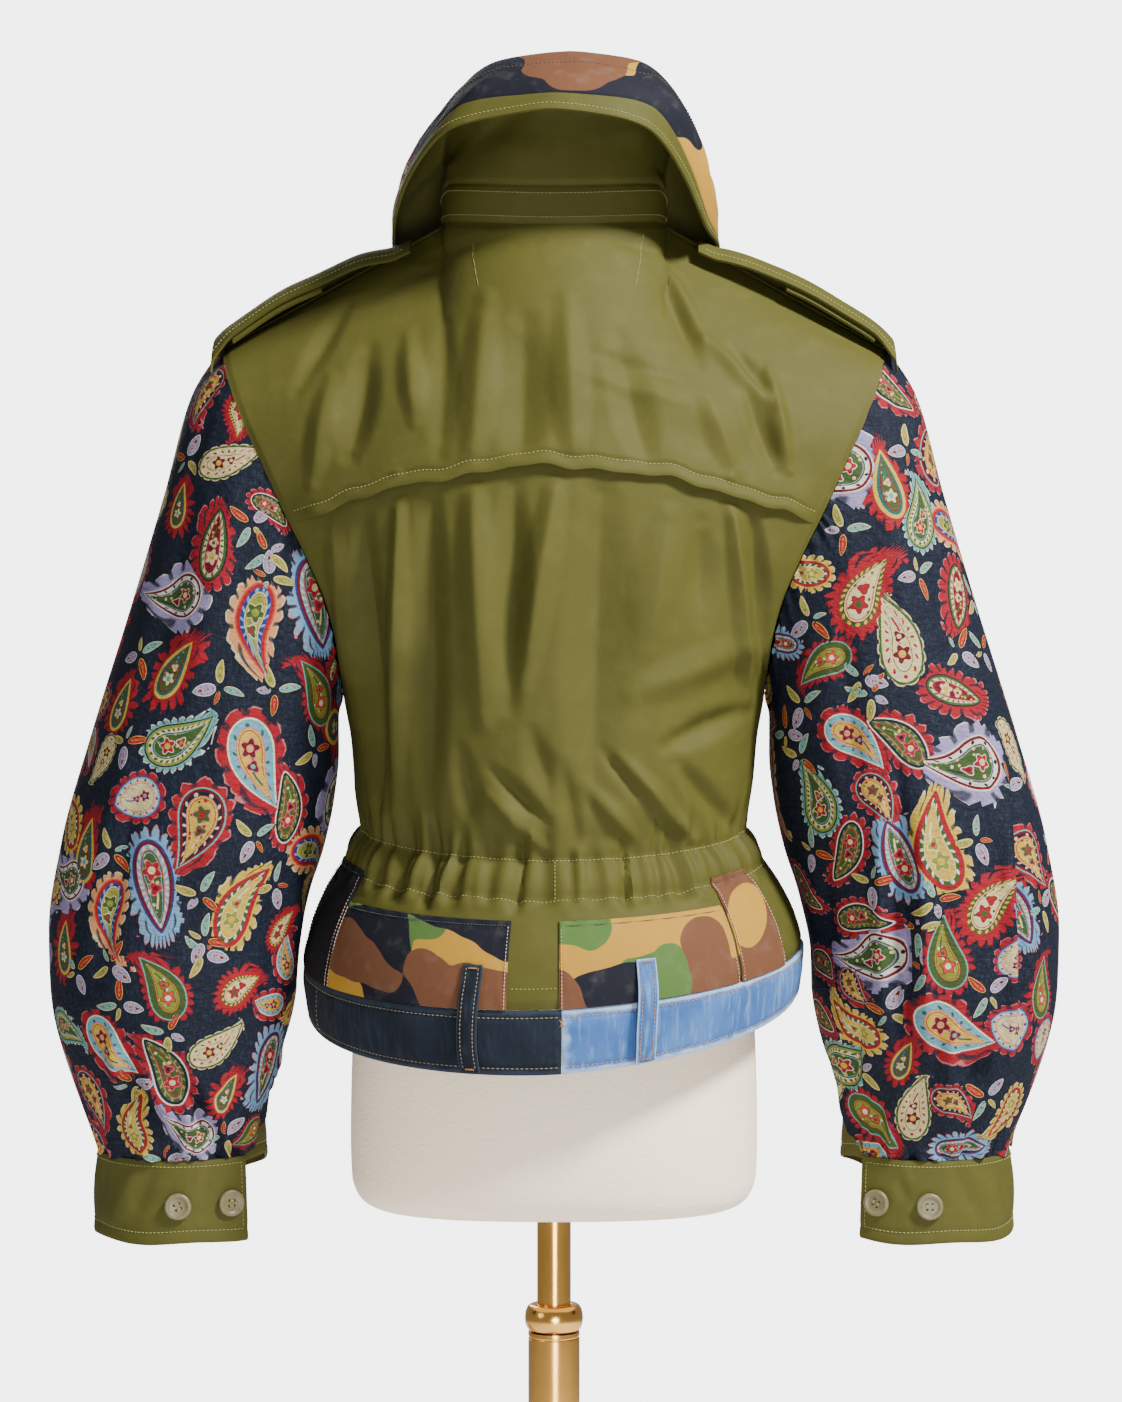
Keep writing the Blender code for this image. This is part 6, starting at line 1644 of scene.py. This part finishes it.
for word, hand in (("left", 1.0), ("right", -1.0)):
    first, last = CUFF["angle"][[0, -1]]
    angle, drop = np.meshgrid(np.linspace(first, last, 241), closer_at_ends(0, CUFF_HEIGHT, 41))
    outer, normal = cuff_surface(hand, angle, drop)
    turn = np.radians(angle)
    inward = stacked(np.cos(turn), -np.sin(turn), 0 * turn) * (hand, 1, 1)
    cuff = cloth_body(f"cuff_{word}_cloth", outer, inward, CUFF_THICK, OLIVE_COTTON, node="cuff_" + word)
    round_it = np.linspace(first + 3, last - 2, 900)
    hem = CUFF_HEIGHT - CUFF_HEM
    for around, down in ((round_it, hem), (round_it, 4 * MM), (first + 4.5, np.linspace(5 * MM, hem, 80))):
        sew("olive_stitches", *cuff_surface(hand, around, down, ON_CLOTH))
    for number, middle in enumerate(CUFF_BUTTON_ANGLES, 1):
        out = cuff_surface(hand, middle, CUFF_HEIGHT / 2)[1]
        put_button(f"cuff_button_{word}_{number}", out, tilt=0.5 * number + hand)


# ---------------------------------------------------------------- the collar
# A wide collar stands up round the neck, rolls over and falls to the shoulders. Below it is plain olive, in a
# stand and an under collar. On top it is pieced of camouflage and paisley cotton, inside an olive border.

COLLAR_COLUMNS = ("angle", "roll_x", "roll_y", "roll_z", "edge_x", "edge_y", "edge_z", "border")
COLLAR_ROWS = (
    (0.0, 0.000, 0.070, 1.437, 0.000, 0.126, 1.389, 0.100),
    (30.0, 0.046, 0.062, 1.432, 0.062, 0.112, 1.378, 0.130),
    (55.0, 0.075, 0.042, 1.414, 0.098, 0.074, 1.345, 0.080),
    (78.0, 0.087, 0.014, 1.390, 0.114, 0.032, 1.318, 0.050),
    (105.0, 0.086, -0.024, 1.364, 0.120, -0.030, 1.311, 0.045),
    (130.0, 0.072, -0.062, 1.330, 0.114, -0.084, 1.270, 0.045),
    (150.0, 0.050, -0.086, 1.300, 0.098, -0.116, 1.230, 0.045),
    (162.0, 0.034, -0.094, 1.284, 0.084, -0.125, 1.208, 0.045),
)
COLLAR_END = 162.0
ROLL_SHIFT = -0.011         # the roll leans to the wearer's right at the back, and the free edge to the left
EDGE_SHIFT = 0.005
STAND_HEIGHT = 0.026
STAND_SHARE = 0.12          # of the collar's depth from neck seam to free edge
COLLAR_STATIONS = np.array([0.0, STAND_SHARE, 0.36, 0.55, 0.76, 1.0])    # foot, stand, column, roll to edge
STAND_PLY = 2.0 * MM
UNDER_PLY = 1.5 * MM
TOP_START = STAND_SHARE + 0.05
PAISLEY_FROM = 63.0         # the top is paisley from here round to the wearer's left front
COLLAR_STEPS = 217          # from one front end to the other
MIDDLE_SOFT = 12.0          # degrees over which it levels off at the middle of the back
TUCK_SHARE = 0.030          # the under collar starts this far down behind the stand
TUCK_DOWN = 2.5 * MM        # the stand's foot goes this far down inside the neckline
SEWN_TO = 158.0             # its rows of stitches stop here, just short of its front ends
SEWN_SHARES = {"foot": 0.022, "stand": STAND_SHARE - 0.018, "top": 0.69}
BORDER_SEWN = 0.036         # the border's row is at most this share in from the free edge
COLLAR = table(COLLAR_ROWS, COLLAR_COLUMNS)

# The collar's own chart, in millimetres: round the neck from the middle of the back, and from seam to edge.
CHART_ROUND = 1.7           # for each degree
CHART_DEEP = 160.0
COLLAR_CREASES = (
    (-70, 62, -20, 52, 13, -2.6), (-58, 44, -92, 56, 11, 2.2), (30, 56, 76, 44, 12, -2.2),
    (8, 34, 56, 40, 10, 1.6), (-8, 66, 26, 60, 11, 1.6), (-60, 112, -86, 132, 13, -2.6),
    (-40, 104, -58, 130, 12, 2.2), (38, 108, 56, 136, 12, -2.2), (80, 96, 96, 140, 13, 2.4),
    (112, 84, 124, 140, 12, -2.4), (150, 60, 170, 120, 14, 2.6), (190, 40, 214, 110, 14, -2.6),
    (-118, 90, -130, 140, 12, 2.4), (-150, 70, -164, 132, 13, -2.6), (-192, 50, -216, 116, 14, 2.4),
    (6, 100, 0, 134, 14, 1.6), (-100, 30, -140, 40, 11, -1.6), (100, 34, 144, 44, 11, 1.6),
    (-230, 60, -250, 120, 13, -2.2), (232, 64, 252, 126, 13, 2.2),
)
COLLAR_BLOTCHES = (
    (1, 118, 92, 60, 98, 42, 34), (1, 66, 122, 34, 126, 30, 24), (1, 112, 130, 84, 132, 30, 26),
    (1, -12, 140, -62, 130, 16, 20), (1, -62, 118, -88, 118, 20, 16), (1, -92, 102, -112, 96, 12, 10),
    (1, 30, 141, -4, 143, 12, 10), (2, 18, 84, -36, 84, 20, 20), (2, 2, 104, -18, 108, 26, 22),
    (2, -6, 118, -8, 126, 20, 17), (2, -128, 104, -150, 98, 17, 14), (2, -172, 112, -208, 108, 15, 18),
    (0, -238, 122, -266, 100, 26, 22), (1, -222, 82, -252, 62, 22, 24), (0, 60, 36, 18, 46, 22, 26),
    (1, -34, 42, -80, 52, 24, 22), (2, -128, 44, -152, 58, 22, 18), (0, -190, 52, -220, 34, 22, 20),
    (2, 92, 50, 104, 34, 18, 14), (0, -100, 28, -122, 32, 14, 12),
)


def neckline(bend):
    """The neck seam, this many degrees round from the middle of the back."""
    place = bend / 90
    back = torso_top(+1, NECK_SHARE * np.minimum(place, 1))
    front = torso_top(-1, NECK_SHARE * np.clip(2 - place, 0, 1))
    return np.where((place <= 1)[..., None], back, front)


def collar(angle, share):
    """Point of the collar's plain under side: share 0 at the neck seam, 1 at the free edge."""
    angle, share = matched(angle, share)
    bend = np.abs(angle)
    level_bend = bend * (1 - np.exp(-bend / MIDDLE_SOFT))
    foot = neckline(bend) + np.array([0, 0, SEAM_GAP])
    roll, edge = [stacked(read(COLLAR, part + "_x", bend), read(COLLAR, part + "_y", level_bend),
                          read(COLLAR, part + "_z", level_bend)) for part in ("roll", "edge")]
    rise = np.clip((roll - foot)[..., 2:3] * 0.35, 0.008, STAND_HEIGHT)
    outwards = unit((edge - roll) * np.array([1, 1, 0]))
    stand_top = foot + (roll - foot) * np.array([0.10, 0.10, 0]) + np.array([0, 0, 1]) * rise
    column = foot + (roll - foot) * np.array([0.30, 0.30, 0.72]) - outwards * 0.004
    shoulder = roll * 0.45 + edge * 0.55 + outwards * 0.010 + np.array([0, 0, 0.006])
    line = np.stack([foot, stand_top, column, roll, shoulder, edge])
    slopes = np.gradient(line, COLLAR_STATIONS, axis=0)
    i, span, u = segment(COLLAR_STATIONS, share)

    def pick(values, index):
        return np.take_along_axis(values, index[None, ..., None], axis=0)[0]

    point = cubic(u[..., None], span[..., None], pick(line, i), pick(slopes, i), pick(line, i + 1),
                  pick(slopes, i + 1))
    point[..., 0] *= np.where(angle < 0, -1.0, 1.0)
    lean = ROLL_SHIFT * bell((share - 0.6) / 0.45) + EDGE_SHIFT * smoothstep(0.75, 1.0, share)
    point[..., 0] += smoothstep(120.0, 20.0, bend) * lean
    return point


def collar_surface(angle, share, depth=0.0):
    """Point of the creased collar, this deep inside its under side, and the under side's normal."""
    angle, share = matched(angle, share)
    ahead, behind = np.clip(angle + 1, -COLLAR_END, COLLAR_END), np.clip(angle - 1, -COLLAR_END, COLLAR_END)
    around = collar(ahead, share) - collar(behind, share)
    up = collar(angle, np.clip(share + 0.01, 0, 1)) - collar(angle, np.clip(share - 0.01, 0, 1))
    normal = unit(np.cross(up, around))
    chart = stacked(angle * CHART_ROUND * MM, 0 * angle, share * CHART_DEEP * MM)
    ends = smoothstep(0, 8, COLLAR_END - np.abs(angle)) * smoothstep(STAND_SHARE, STAND_SHARE + 0.08, share)
    relief = creased(chart, COLLAR_CREASES) * ends
    relief -= 0.4 * MM * bell((share - STAND_SHARE) / 0.02)
    wave = 2.2 * MM * np.sin(np.radians(angle) * 4.3 + 0.6) * smoothstep(0.8, 1.0, share) * ends
    return collar(angle, share) + normal * (relief + wave - depth)[..., None], normal


def border_share(angle):
    bend = np.abs(angle)
    return read(COLLAR, "border", bend * (1 - np.exp(-bend / MIDDLE_SOFT)))


def collar_ply(node, angles, start, end, rows, thick, finish, on_top):
    """One ply of the collar, between two shares of its depth at each angle. Its finer side is the one that
    shows, and its edges are rolled. Returns it with that side's points, outward normals and chart places."""
    even = closer_at_ends(0, 1, rows)[:, None]
    share = start + (end - start) * even
    angle = np.broadcast_to(angles, share.shape)
    to_edge = np.minimum(np.minimum(even, 1 - even) * (end - start) * CHART_DEEP,
                         np.minimum(angles - angles[0], angles[-1] - angles) * CHART_ROUND)
    roll = 0.45 * MM * bell(to_edge / 2.2)
    way = -1.0 if on_top else 1.0
    tuck = (STAND_PLY + SEAM_GAP) * smoothstep(STAND_SHARE + 0.026, STAND_SHARE + 0.003, share)
    foot = bell(share / 0.020)
    if node != "under_collar":
        tuck = STAND_PLY * foot
    surface, normal = collar_surface(angle, share, TOP_DEPTH + thick - roll if on_top else roll + tuck)
    surface[..., 2] -= TUCK_DOWN * foot
    ply = cloth_body(node + "_cloth", surface, normal * -way, thick, finish, node=node)
    chart = np.stack([angle * CHART_ROUND, share * CHART_DEEP], axis=-1)
    return ply, surface, normal * way, np.concatenate([chart.reshape(-1, 2), chart[::2, ::2].reshape(-1, 2)])


SEAM = 0.0006                       # half the seam between two plies, as a share of the collar's depth
SEAM_ANGLE = 0.12
TOP_DEPTH = UNDER_PLY + SEAM_GAP
whole_way = np.linspace(-COLLAR_END, COLLAR_END, COLLAR_STEPS)
to_seam = np.linspace(-COLLAR_END, PAISLEY_FROM - SEAM_ANGLE, 151)
from_seam = np.linspace(PAISLEY_FROM + SEAM_ANGLE, COLLAR_END, 67)
border = 1 - border_share(whole_way)
COLLAR_PLIES = (             # node, angles, shares from and to, rows, thickness, finish, flat size, bed
    ("collar_stand", whole_way, 0, STAND_SHARE - SEAM, 21, STAND_PLY, OLIVE_COTTON, (0.44, 0.021),
     "yoke_cloth"),
    ("under_collar", whole_way, STAND_SHARE - TUCK_SHARE, 1, 97, UNDER_PLY, OLIVE_COTTON, (0.62, 0.135),
     "collar_stand_cloth"),
    ("collar_border", whole_way, border + SEAM, 1, 21, PATCH, OLIVE_COTTON, (0.74, 0.011),
     "under_collar_cloth"),
    ("top_collar_camouflage", to_seam, TOP_START, 1 - border_share(to_seam) - SEAM, 81, PATCH, CAMOUFLAGE,
     (0.41, 0.115), "under_collar_cloth"),
    ("top_collar_paisley", from_seam, TOP_START, 1 - border_share(from_seam) - SEAM, 81, PATCH, PAISLEY,
     (0.20, 0.115), "under_collar_cloth"),
)
for node, angles, start, end, rows, thick, finish, flat, carried_by in COLLAR_PLIES:
    start, end = start + 0 * angles, end + 0 * angles
    ply, surface, outward, places = collar_ply(node, angles, start, end, rows, thick, finish, thick == PATCH)
    if finish is CAMOUFLAGE:
        blotch_fields(ply.data, COLLAR_BLOTCHES, places)
        note(ply.data, "yellow_blotch", np.full(len(places), -9.0))
    if finish is PAISLEY:
        lay_print(ply, motifs_over((), (), surface, outward, 8))

most = np.linspace(-SEWN_TO, SEWN_TO, 1500)
sew("olive_stitches", *collar_surface(most, SEWN_SHARES["stand"], -ON_CLOTH), thread=0.34 * MM)
sew("olive_stitches", *collar_surface(most, SEWN_SHARES["foot"], -ON_CLOTH))
for group, share in (("olive_stitches", 1 - np.minimum(0.45 * border_share(most), BORDER_SEWN)),
                     ("dark_top_stitches", SEWN_SHARES["top"])):
    points, normal = collar_surface(most, share, TOP_DEPTH + PATCH + ON_CLOTH)
    sew(group, points, -normal)
finish_sewing("dark_top_stitches", thread_finish("umber_thread", (0.075, 0.050, 0.035)))


# ---------------------------------------------------------------- the shoulder straps
# A strap of doubled olive cotton bridges each shoulder. Its outer end turns down to the shoulder tip and is
# faced with a second ply, and its inner end lies under the collar. Both long edges are stitched.

STRAP_ROWS = (
    (0.2520, 0.0000),
    (0.2510, 0.0080),
    (0.2470, 0.0112),
    (0.2366, 0.0142),
    (0.2175, 0.0168),
    (0.1985, 0.0175),
    (0.1720, 0.0158),
    (0.1690, 0.0156),
    (0.1428, 0.0117),
    (0.1304, 0.0078),
    (0.1200, 0.0042),
    (0.1060, 0.0027),
)
STRAP_HALF_WIDTH = 0.0250
STRAP_FACED_FROM = 0.2375           # x between which the facing lies
STRAP_FACED_TO = 0.1710
STRAP_PLY = 1.9 * MM
STRAP_DROOP = 12.0 * MM             # its long edges hang this much lower than its middle
STRAP_TIP_DROOP = 5.0 * MM          # and this much more at its outer end
FACING_DROOP = 3.5 * MM             # the facing's long edges hang this much below the strap's
STRAP_SEWN = (3, -4)                # the lines of its grid that its rows of stitches follow
STRAP = table(STRAP_ROWS, ("x", "lift"))


def strap_lines(hand):
    """A strap's middle line, from its outer end, and the vectors down into the cloth."""
    slope = (SHOULDER_TIP[1] - NECK_SIDE[1]) / (SHOULDER_TIP[0] - NECK_SIDE[0])
    height = NECK_SIDE[1] + slope * (STRAP["x"] - NECK_SIDE[0]) + STRAP["lift"]
    corners = stacked(STRAP["x"], 0 * height, height)
    runs = run_along(corners)
    at = np.linspace(0, runs[-1], 121)
    line = stacked(*(smooth_curve(runs, corners[:, k], at) for k in range(3)))
    ends = smoothstep(0, 0.03, at) * smoothstep(0, 0.03, at[-1] - at)
    line[:, 2] += 0.5 * MM * np.sin(at * 95 + hand) * ends
    run = unit(np.gradient(line, axis=0))
    return line, stacked(-run[:, 2], run[:, 1], run[:, 0])


for word, hand in (("left", 1.0), ("right", -1.0)):
    flip = np.array([hand, 1.0, 1.0])
    line, down = strap_lines(hand)
    spread = np.linspace(-1, 1, 31)[:, None]
    from_rim = (1 - np.abs(spread)) * STRAP_HALF_WIDTH
    sink = 0.5 * MM * bell(from_rim / (1.6 * MM)) + 0.35 * MM * bell((from_rim - 4 * MM) / (2 * MM))
    outer = line[None] + spread[..., None] * np.array([0, STRAP_HALF_WIDTH, 0]) + down[None] * sink[..., None]
    at_end = smoothstep(0.235, 0.250, line[:, 0])
    outer[..., 2] -= (STRAP_DROOP + STRAP_TIP_DROOP * at_end) * spread**2
    slant = 2 * STRAP_DROOP * spread / STRAP_HALF_WIDTH
    inward = unit(down[None] - slant[..., None] * np.array([0.0, 1.0, 0.0]))
    node = "shoulder_strap_" + word
    strap = cloth_body(node + "_cloth", outer * flip, inward * flip, STRAP_PLY, OLIVE_COTTON, node=node)
    faced = np.flatnonzero((line[:, 0] > STRAP_FACED_TO) & (line[:, 0] < STRAP_FACED_FROM))
    faced = faced[:(len(faced) - 1) // 2 * 2 + 1]
    lower = outer[:, faced] + inward[:, faced] * (STRAP_PLY + SEAM_GAP)
    lower[..., 2] -= FACING_DROOP * spread**4
    lower_inward = inward[:, faced] * flip
    facing = cloth_body(f"strap_facing_{word}", lower * flip, lower_inward, STRAP_PLY, OLIVE_COTTON)
    for row in STRAP_SEWN:
        sew("olive_stitches", outer[row, 4:-2] * flip, -inward[row, 4:-2] * flip)


# ---------------------------------------------------------------- the dress form
# The jacket is shown on a smooth, limbless form covered in cream jersey, flat underneath and closed at the
# neck. It clears the cloth everywhere.

FORM_COLUMNS = ("height", "half_width", "back", "front", "exponent")
FORM_ROWS = (
    (0.6000, 0.112, 0.070, 0.070, 2.5),
    (0.6020, 0.128, 0.084, 0.082, 2.5),
    (0.6090, 0.142, 0.097, 0.095, 2.5),
    (0.6260, 0.149, 0.104, 0.101, 2.4),
    (0.6600, 0.150, 0.107, 0.102, 2.3),
    (0.7400, 0.148, 0.108, 0.102, 2.2),
    (0.8100, 0.134, 0.098, 0.092, 2.1),
    (0.8800, 0.118, 0.084, 0.084, 2.1),
    (0.9500, 0.124, 0.088, 0.094, 2.1),
    (1.0300, 0.133, 0.094, 0.112, 2.1),
    (1.0900, 0.136, 0.096, 0.116, 2.1),
    (1.1500, 0.145, 0.096, 0.104, 2.1),
    (1.2000, 0.160, 0.092, 0.088, 2.1),
    (1.2400, 0.172, 0.084, 0.074, 2.0),
    (1.2580, 0.178, 0.078, 0.066, 1.9),
    (1.2740, 0.178, 0.070, 0.060, 1.8),
    (1.2880, 0.160, 0.062, 0.056, 1.7),
    (1.3000, 0.140, 0.056, 0.052, 1.7),
    (1.3100, 0.116, 0.052, 0.050, 1.7),
    (1.3190, 0.082, 0.050, 0.048, 1.8),
    (1.3300, 0.062, 0.048, 0.047, 1.9),
    (1.3450, 0.055, 0.046, 0.047, 2.0),
    (1.3900, 0.051, 0.046, 0.047, 2.0),
    (1.3960, 0.044, 0.040, 0.040, 2.0),
)
FORM_SIDES = 128
FORM_LEVELS = 141
FORM_ROOM = 1.9 * MM                # between the form and the cloth
FORM_EVENED = (4, 4)                # rows and columns each way over which that room is evened out
FORM_COLOURS = ((0.95, 0.77, 0.54), (0.97, 0.84, 0.65))


def form_finish():
    finish = Finish("form_jersey", 0.75, sheen=0.10, gloss=0.3)
    finish.colour(finish.mix(finish.noise(5.0, 3.0), *FORM_COLOURS))
    grain = finish.noise(520.0, 2.0)
    pebble = finish.noise(1.0, 2.0, at=finish.place((210.0, 210.0, 330.0)), distortion=0.8)
    finish.bump(pebble * 0.8 + grain * 0.35 + finish.noise(24.0, 2.0) * 0.5, 0.0007)
    return finish


def room_inside(points):
    """How far out, level, the form may reach at each point before it meets the cloth."""
    trees = []
    for piece in (back, yoke, *fronts):
        corners = [vertex.co for vertex in piece.data.vertices]
        trees.append(BVHTree.FromPolygons(corners, [tuple(face.vertices) for face in piece.data.polygons]))
    room = np.ones(points.shape[:2])
    for row in range(points.shape[0]):
        for col in range(points.shape[1]):
            x, y, z = points[row, col]
            way = Vector((x, y, 0)).normalized()
            hits = [tree.ray_cast(Vector((0, 0, z)), way)[3] for tree in trees]
            room[row, col] = min([hit for hit in hits if hit is not None], default=1.0)
    return room - FORM_ROOM


def blurred(field, reach, pick):
    """Each value replaced by pick, such as the least or the mean, of those around it; columns go round."""
    high, wide = reach
    tall = np.concatenate([np.repeat(field[:1], high, axis=0), field, np.repeat(field[-1:], high, axis=0)])
    near = [np.roll(tall[high + row:high + row + len(field)], col, axis=1)
            for row in range(-high, high + 1) for col in range(-wide, wide + 1)]
    return pick(near, axis=0)


FORM = table(FORM_ROWS, FORM_COLUMNS)
steps = np.linspace(0, len(FORM_ROWS) - 1, FORM_LEVELS)
height, half_width, back_depth, front_depth, exponent = [
    smooth_curve(np.arange(len(FORM_ROWS)), FORM[name], steps)[:, None] for name in FORM_COLUMNS]
angle = 2 * math.pi * np.arange(FORM_SIDES) / FORM_SIDES
c, s = np.cos(angle), np.sin(angle)
depth = np.where(s >= 0, back_depth, front_depth)
level_points = stacked(np.sign(c) * np.abs(c)**(2 / exponent) * half_width,
                       np.sign(s) * np.abs(s)**(2 / exponent) * depth, height)
room = blurred(blurred(room_inside(level_points), FORM_EVENED, np.min), FORM_EVENED, np.mean)
reach = np.linalg.norm(level_points[..., :2], axis=-1)
level_points[..., :2] *= (np.minimum(reach, room) / reach)[..., None]
rings = np.arange(FORM_LEVELS * FORM_SIDES).reshape(FORM_LEVELS, FORM_SIDES)
beside = np.roll(rings, -1, axis=1)
faces = np.stack([rings[:-1], beside[:-1], beside[1:], rings[1:]], axis=-1).reshape(-1, 4).tolist()
faces += [rings[0][::-1].tolist(), rings[-1].tolist()]
form_mesh = smooth_solid("dress_form_jersey", level_points.reshape(-1, 3).tolist(), faces, 50)
put_piece("dress_form_jersey", form_mesh, form_finish(), node="dress_form")


# ---------------------------------------------------------------- the brass stand
# Turned and polished brass: a round base, a tube that stands on it, a rounded ring at the tube's mouth, and a
# thinner tube that carries the form and slides in it.

BASE_RADIUS = 0.1700
BASE_HEIGHT = 0.0140
BASE_ROUND = 0.006
TUBE_SEAT_RADIUS = 0.032
TUBE_SEAT_HEIGHT = 0.004
INNER_TUBE_RADIUS = 0.0125
OUTER_TUBE_RADIUS = 0.0190
BORE = INNER_TUBE_RADIUS + 0.1 * MM
RING_RADIUS = 0.0215
RING_TOP = 0.5280
RING_HEIGHT = 0.0200
RING_EDGE = 1.2 * MM
GROOVE = 1.2 * MM                   # half the height of the groove round the outer tube's mouth
INNER_TUBE_BOTTOM = 0.2300
FORM_BOTTOM = 0.6000
STAND_SIDES = 112


def rounded(radius, height, size, start, end, count, tall=None):
    """An arc of a turned profile round a middle, between two angles in degrees, 0 outwards and 90 up."""
    turns = np.radians(np.linspace(start, end, count))
    return [(radius + size * math.cos(turn), height + (tall or size) * math.sin(turn)) for turn in turns]


base_top = BASE_HEIGHT + BASE_ROUND
seat_top = base_top + TUBE_SEAT_HEIGHT
seat_foot = seat_top + SEAM_GAP
tube_top = RING_TOP - RING_HEIGHT
ring_middle = tube_top + RING_HEIGHT / 2 + SEAM_GAP
ring_half = RING_HEIGHT / 2 - SEAM_GAP
slope_out = BASE_RADIUS - BASE_ROUND
slope = [(slope_out - (slope_out - TUBE_SEAT_RADIUS) * k / 8, BASE_HEIGHT + BASE_ROUND * k / 8)
         for k in range(1, 8)]
STAND_PIECES = (
    ("stand_base", "stand", [(0, 0), *rounded(BASE_RADIUS - 3 * MM, 3 * MM, 3 * MM, -90, 0, 6),
                             *rounded(slope_out, BASE_HEIGHT - BASE_ROUND, BASE_ROUND, 0, 90, 9), *slope,
                             *rounded(TUBE_SEAT_RADIUS + 2 * MM, base_top + 2 * MM, 2 * MM, 270, 180, 6),
                             *rounded(TUBE_SEAT_RADIUS - 1.5 * MM, seat_top - 1.5 * MM, 1.5 * MM, 0, 90, 6),
                             (0, seat_top)]),
    ("outer_tube", "stand", [(OUTER_TUBE_RADIUS, seat_foot), (OUTER_TUBE_RADIUS, tube_top - 5 * MM),
                             *rounded(OUTER_TUBE_RADIUS, tube_top - 3.8 * MM, 0.7 * MM, -90, -270, 7, GROOVE),
                             (OUTER_TUBE_RADIUS, tube_top - 2 * MM), (OUTER_TUBE_RADIUS, tube_top),
                             (BORE, tube_top), (BORE, seat_foot)]),
    ("stand_ring", "stand", [*rounded(RING_RADIUS - 4.6 * MM, ring_middle, 4.6 * MM, -90, 90, 17, ring_half),
                             *rounded(BORE + RING_EDGE, RING_TOP - RING_EDGE, RING_EDGE, 90, 180, 6),
                             (BORE, tube_top + SEAM_GAP)]),
    ("inner_tube", "form", [(0, INNER_TUBE_BOTTOM), (INNER_TUBE_RADIUS, INNER_TUBE_BOTTOM),
                            (INNER_TUBE_RADIUS, FORM_BOTTOM - SEAM_GAP), (0, FORM_BOTTOM - SEAM_GAP)]),
)
for node, body, profile in STAND_PIECES:
    mesh = turned(node + "_brass", profile, STAND_SIDES)
    put_piece(node + "_brass", mesh, BRASS, body, node)
finish_sewing("olive_stitches", OLIVE_THREAD)
finish_sewing("button_stitches", OLIVE_THREAD)
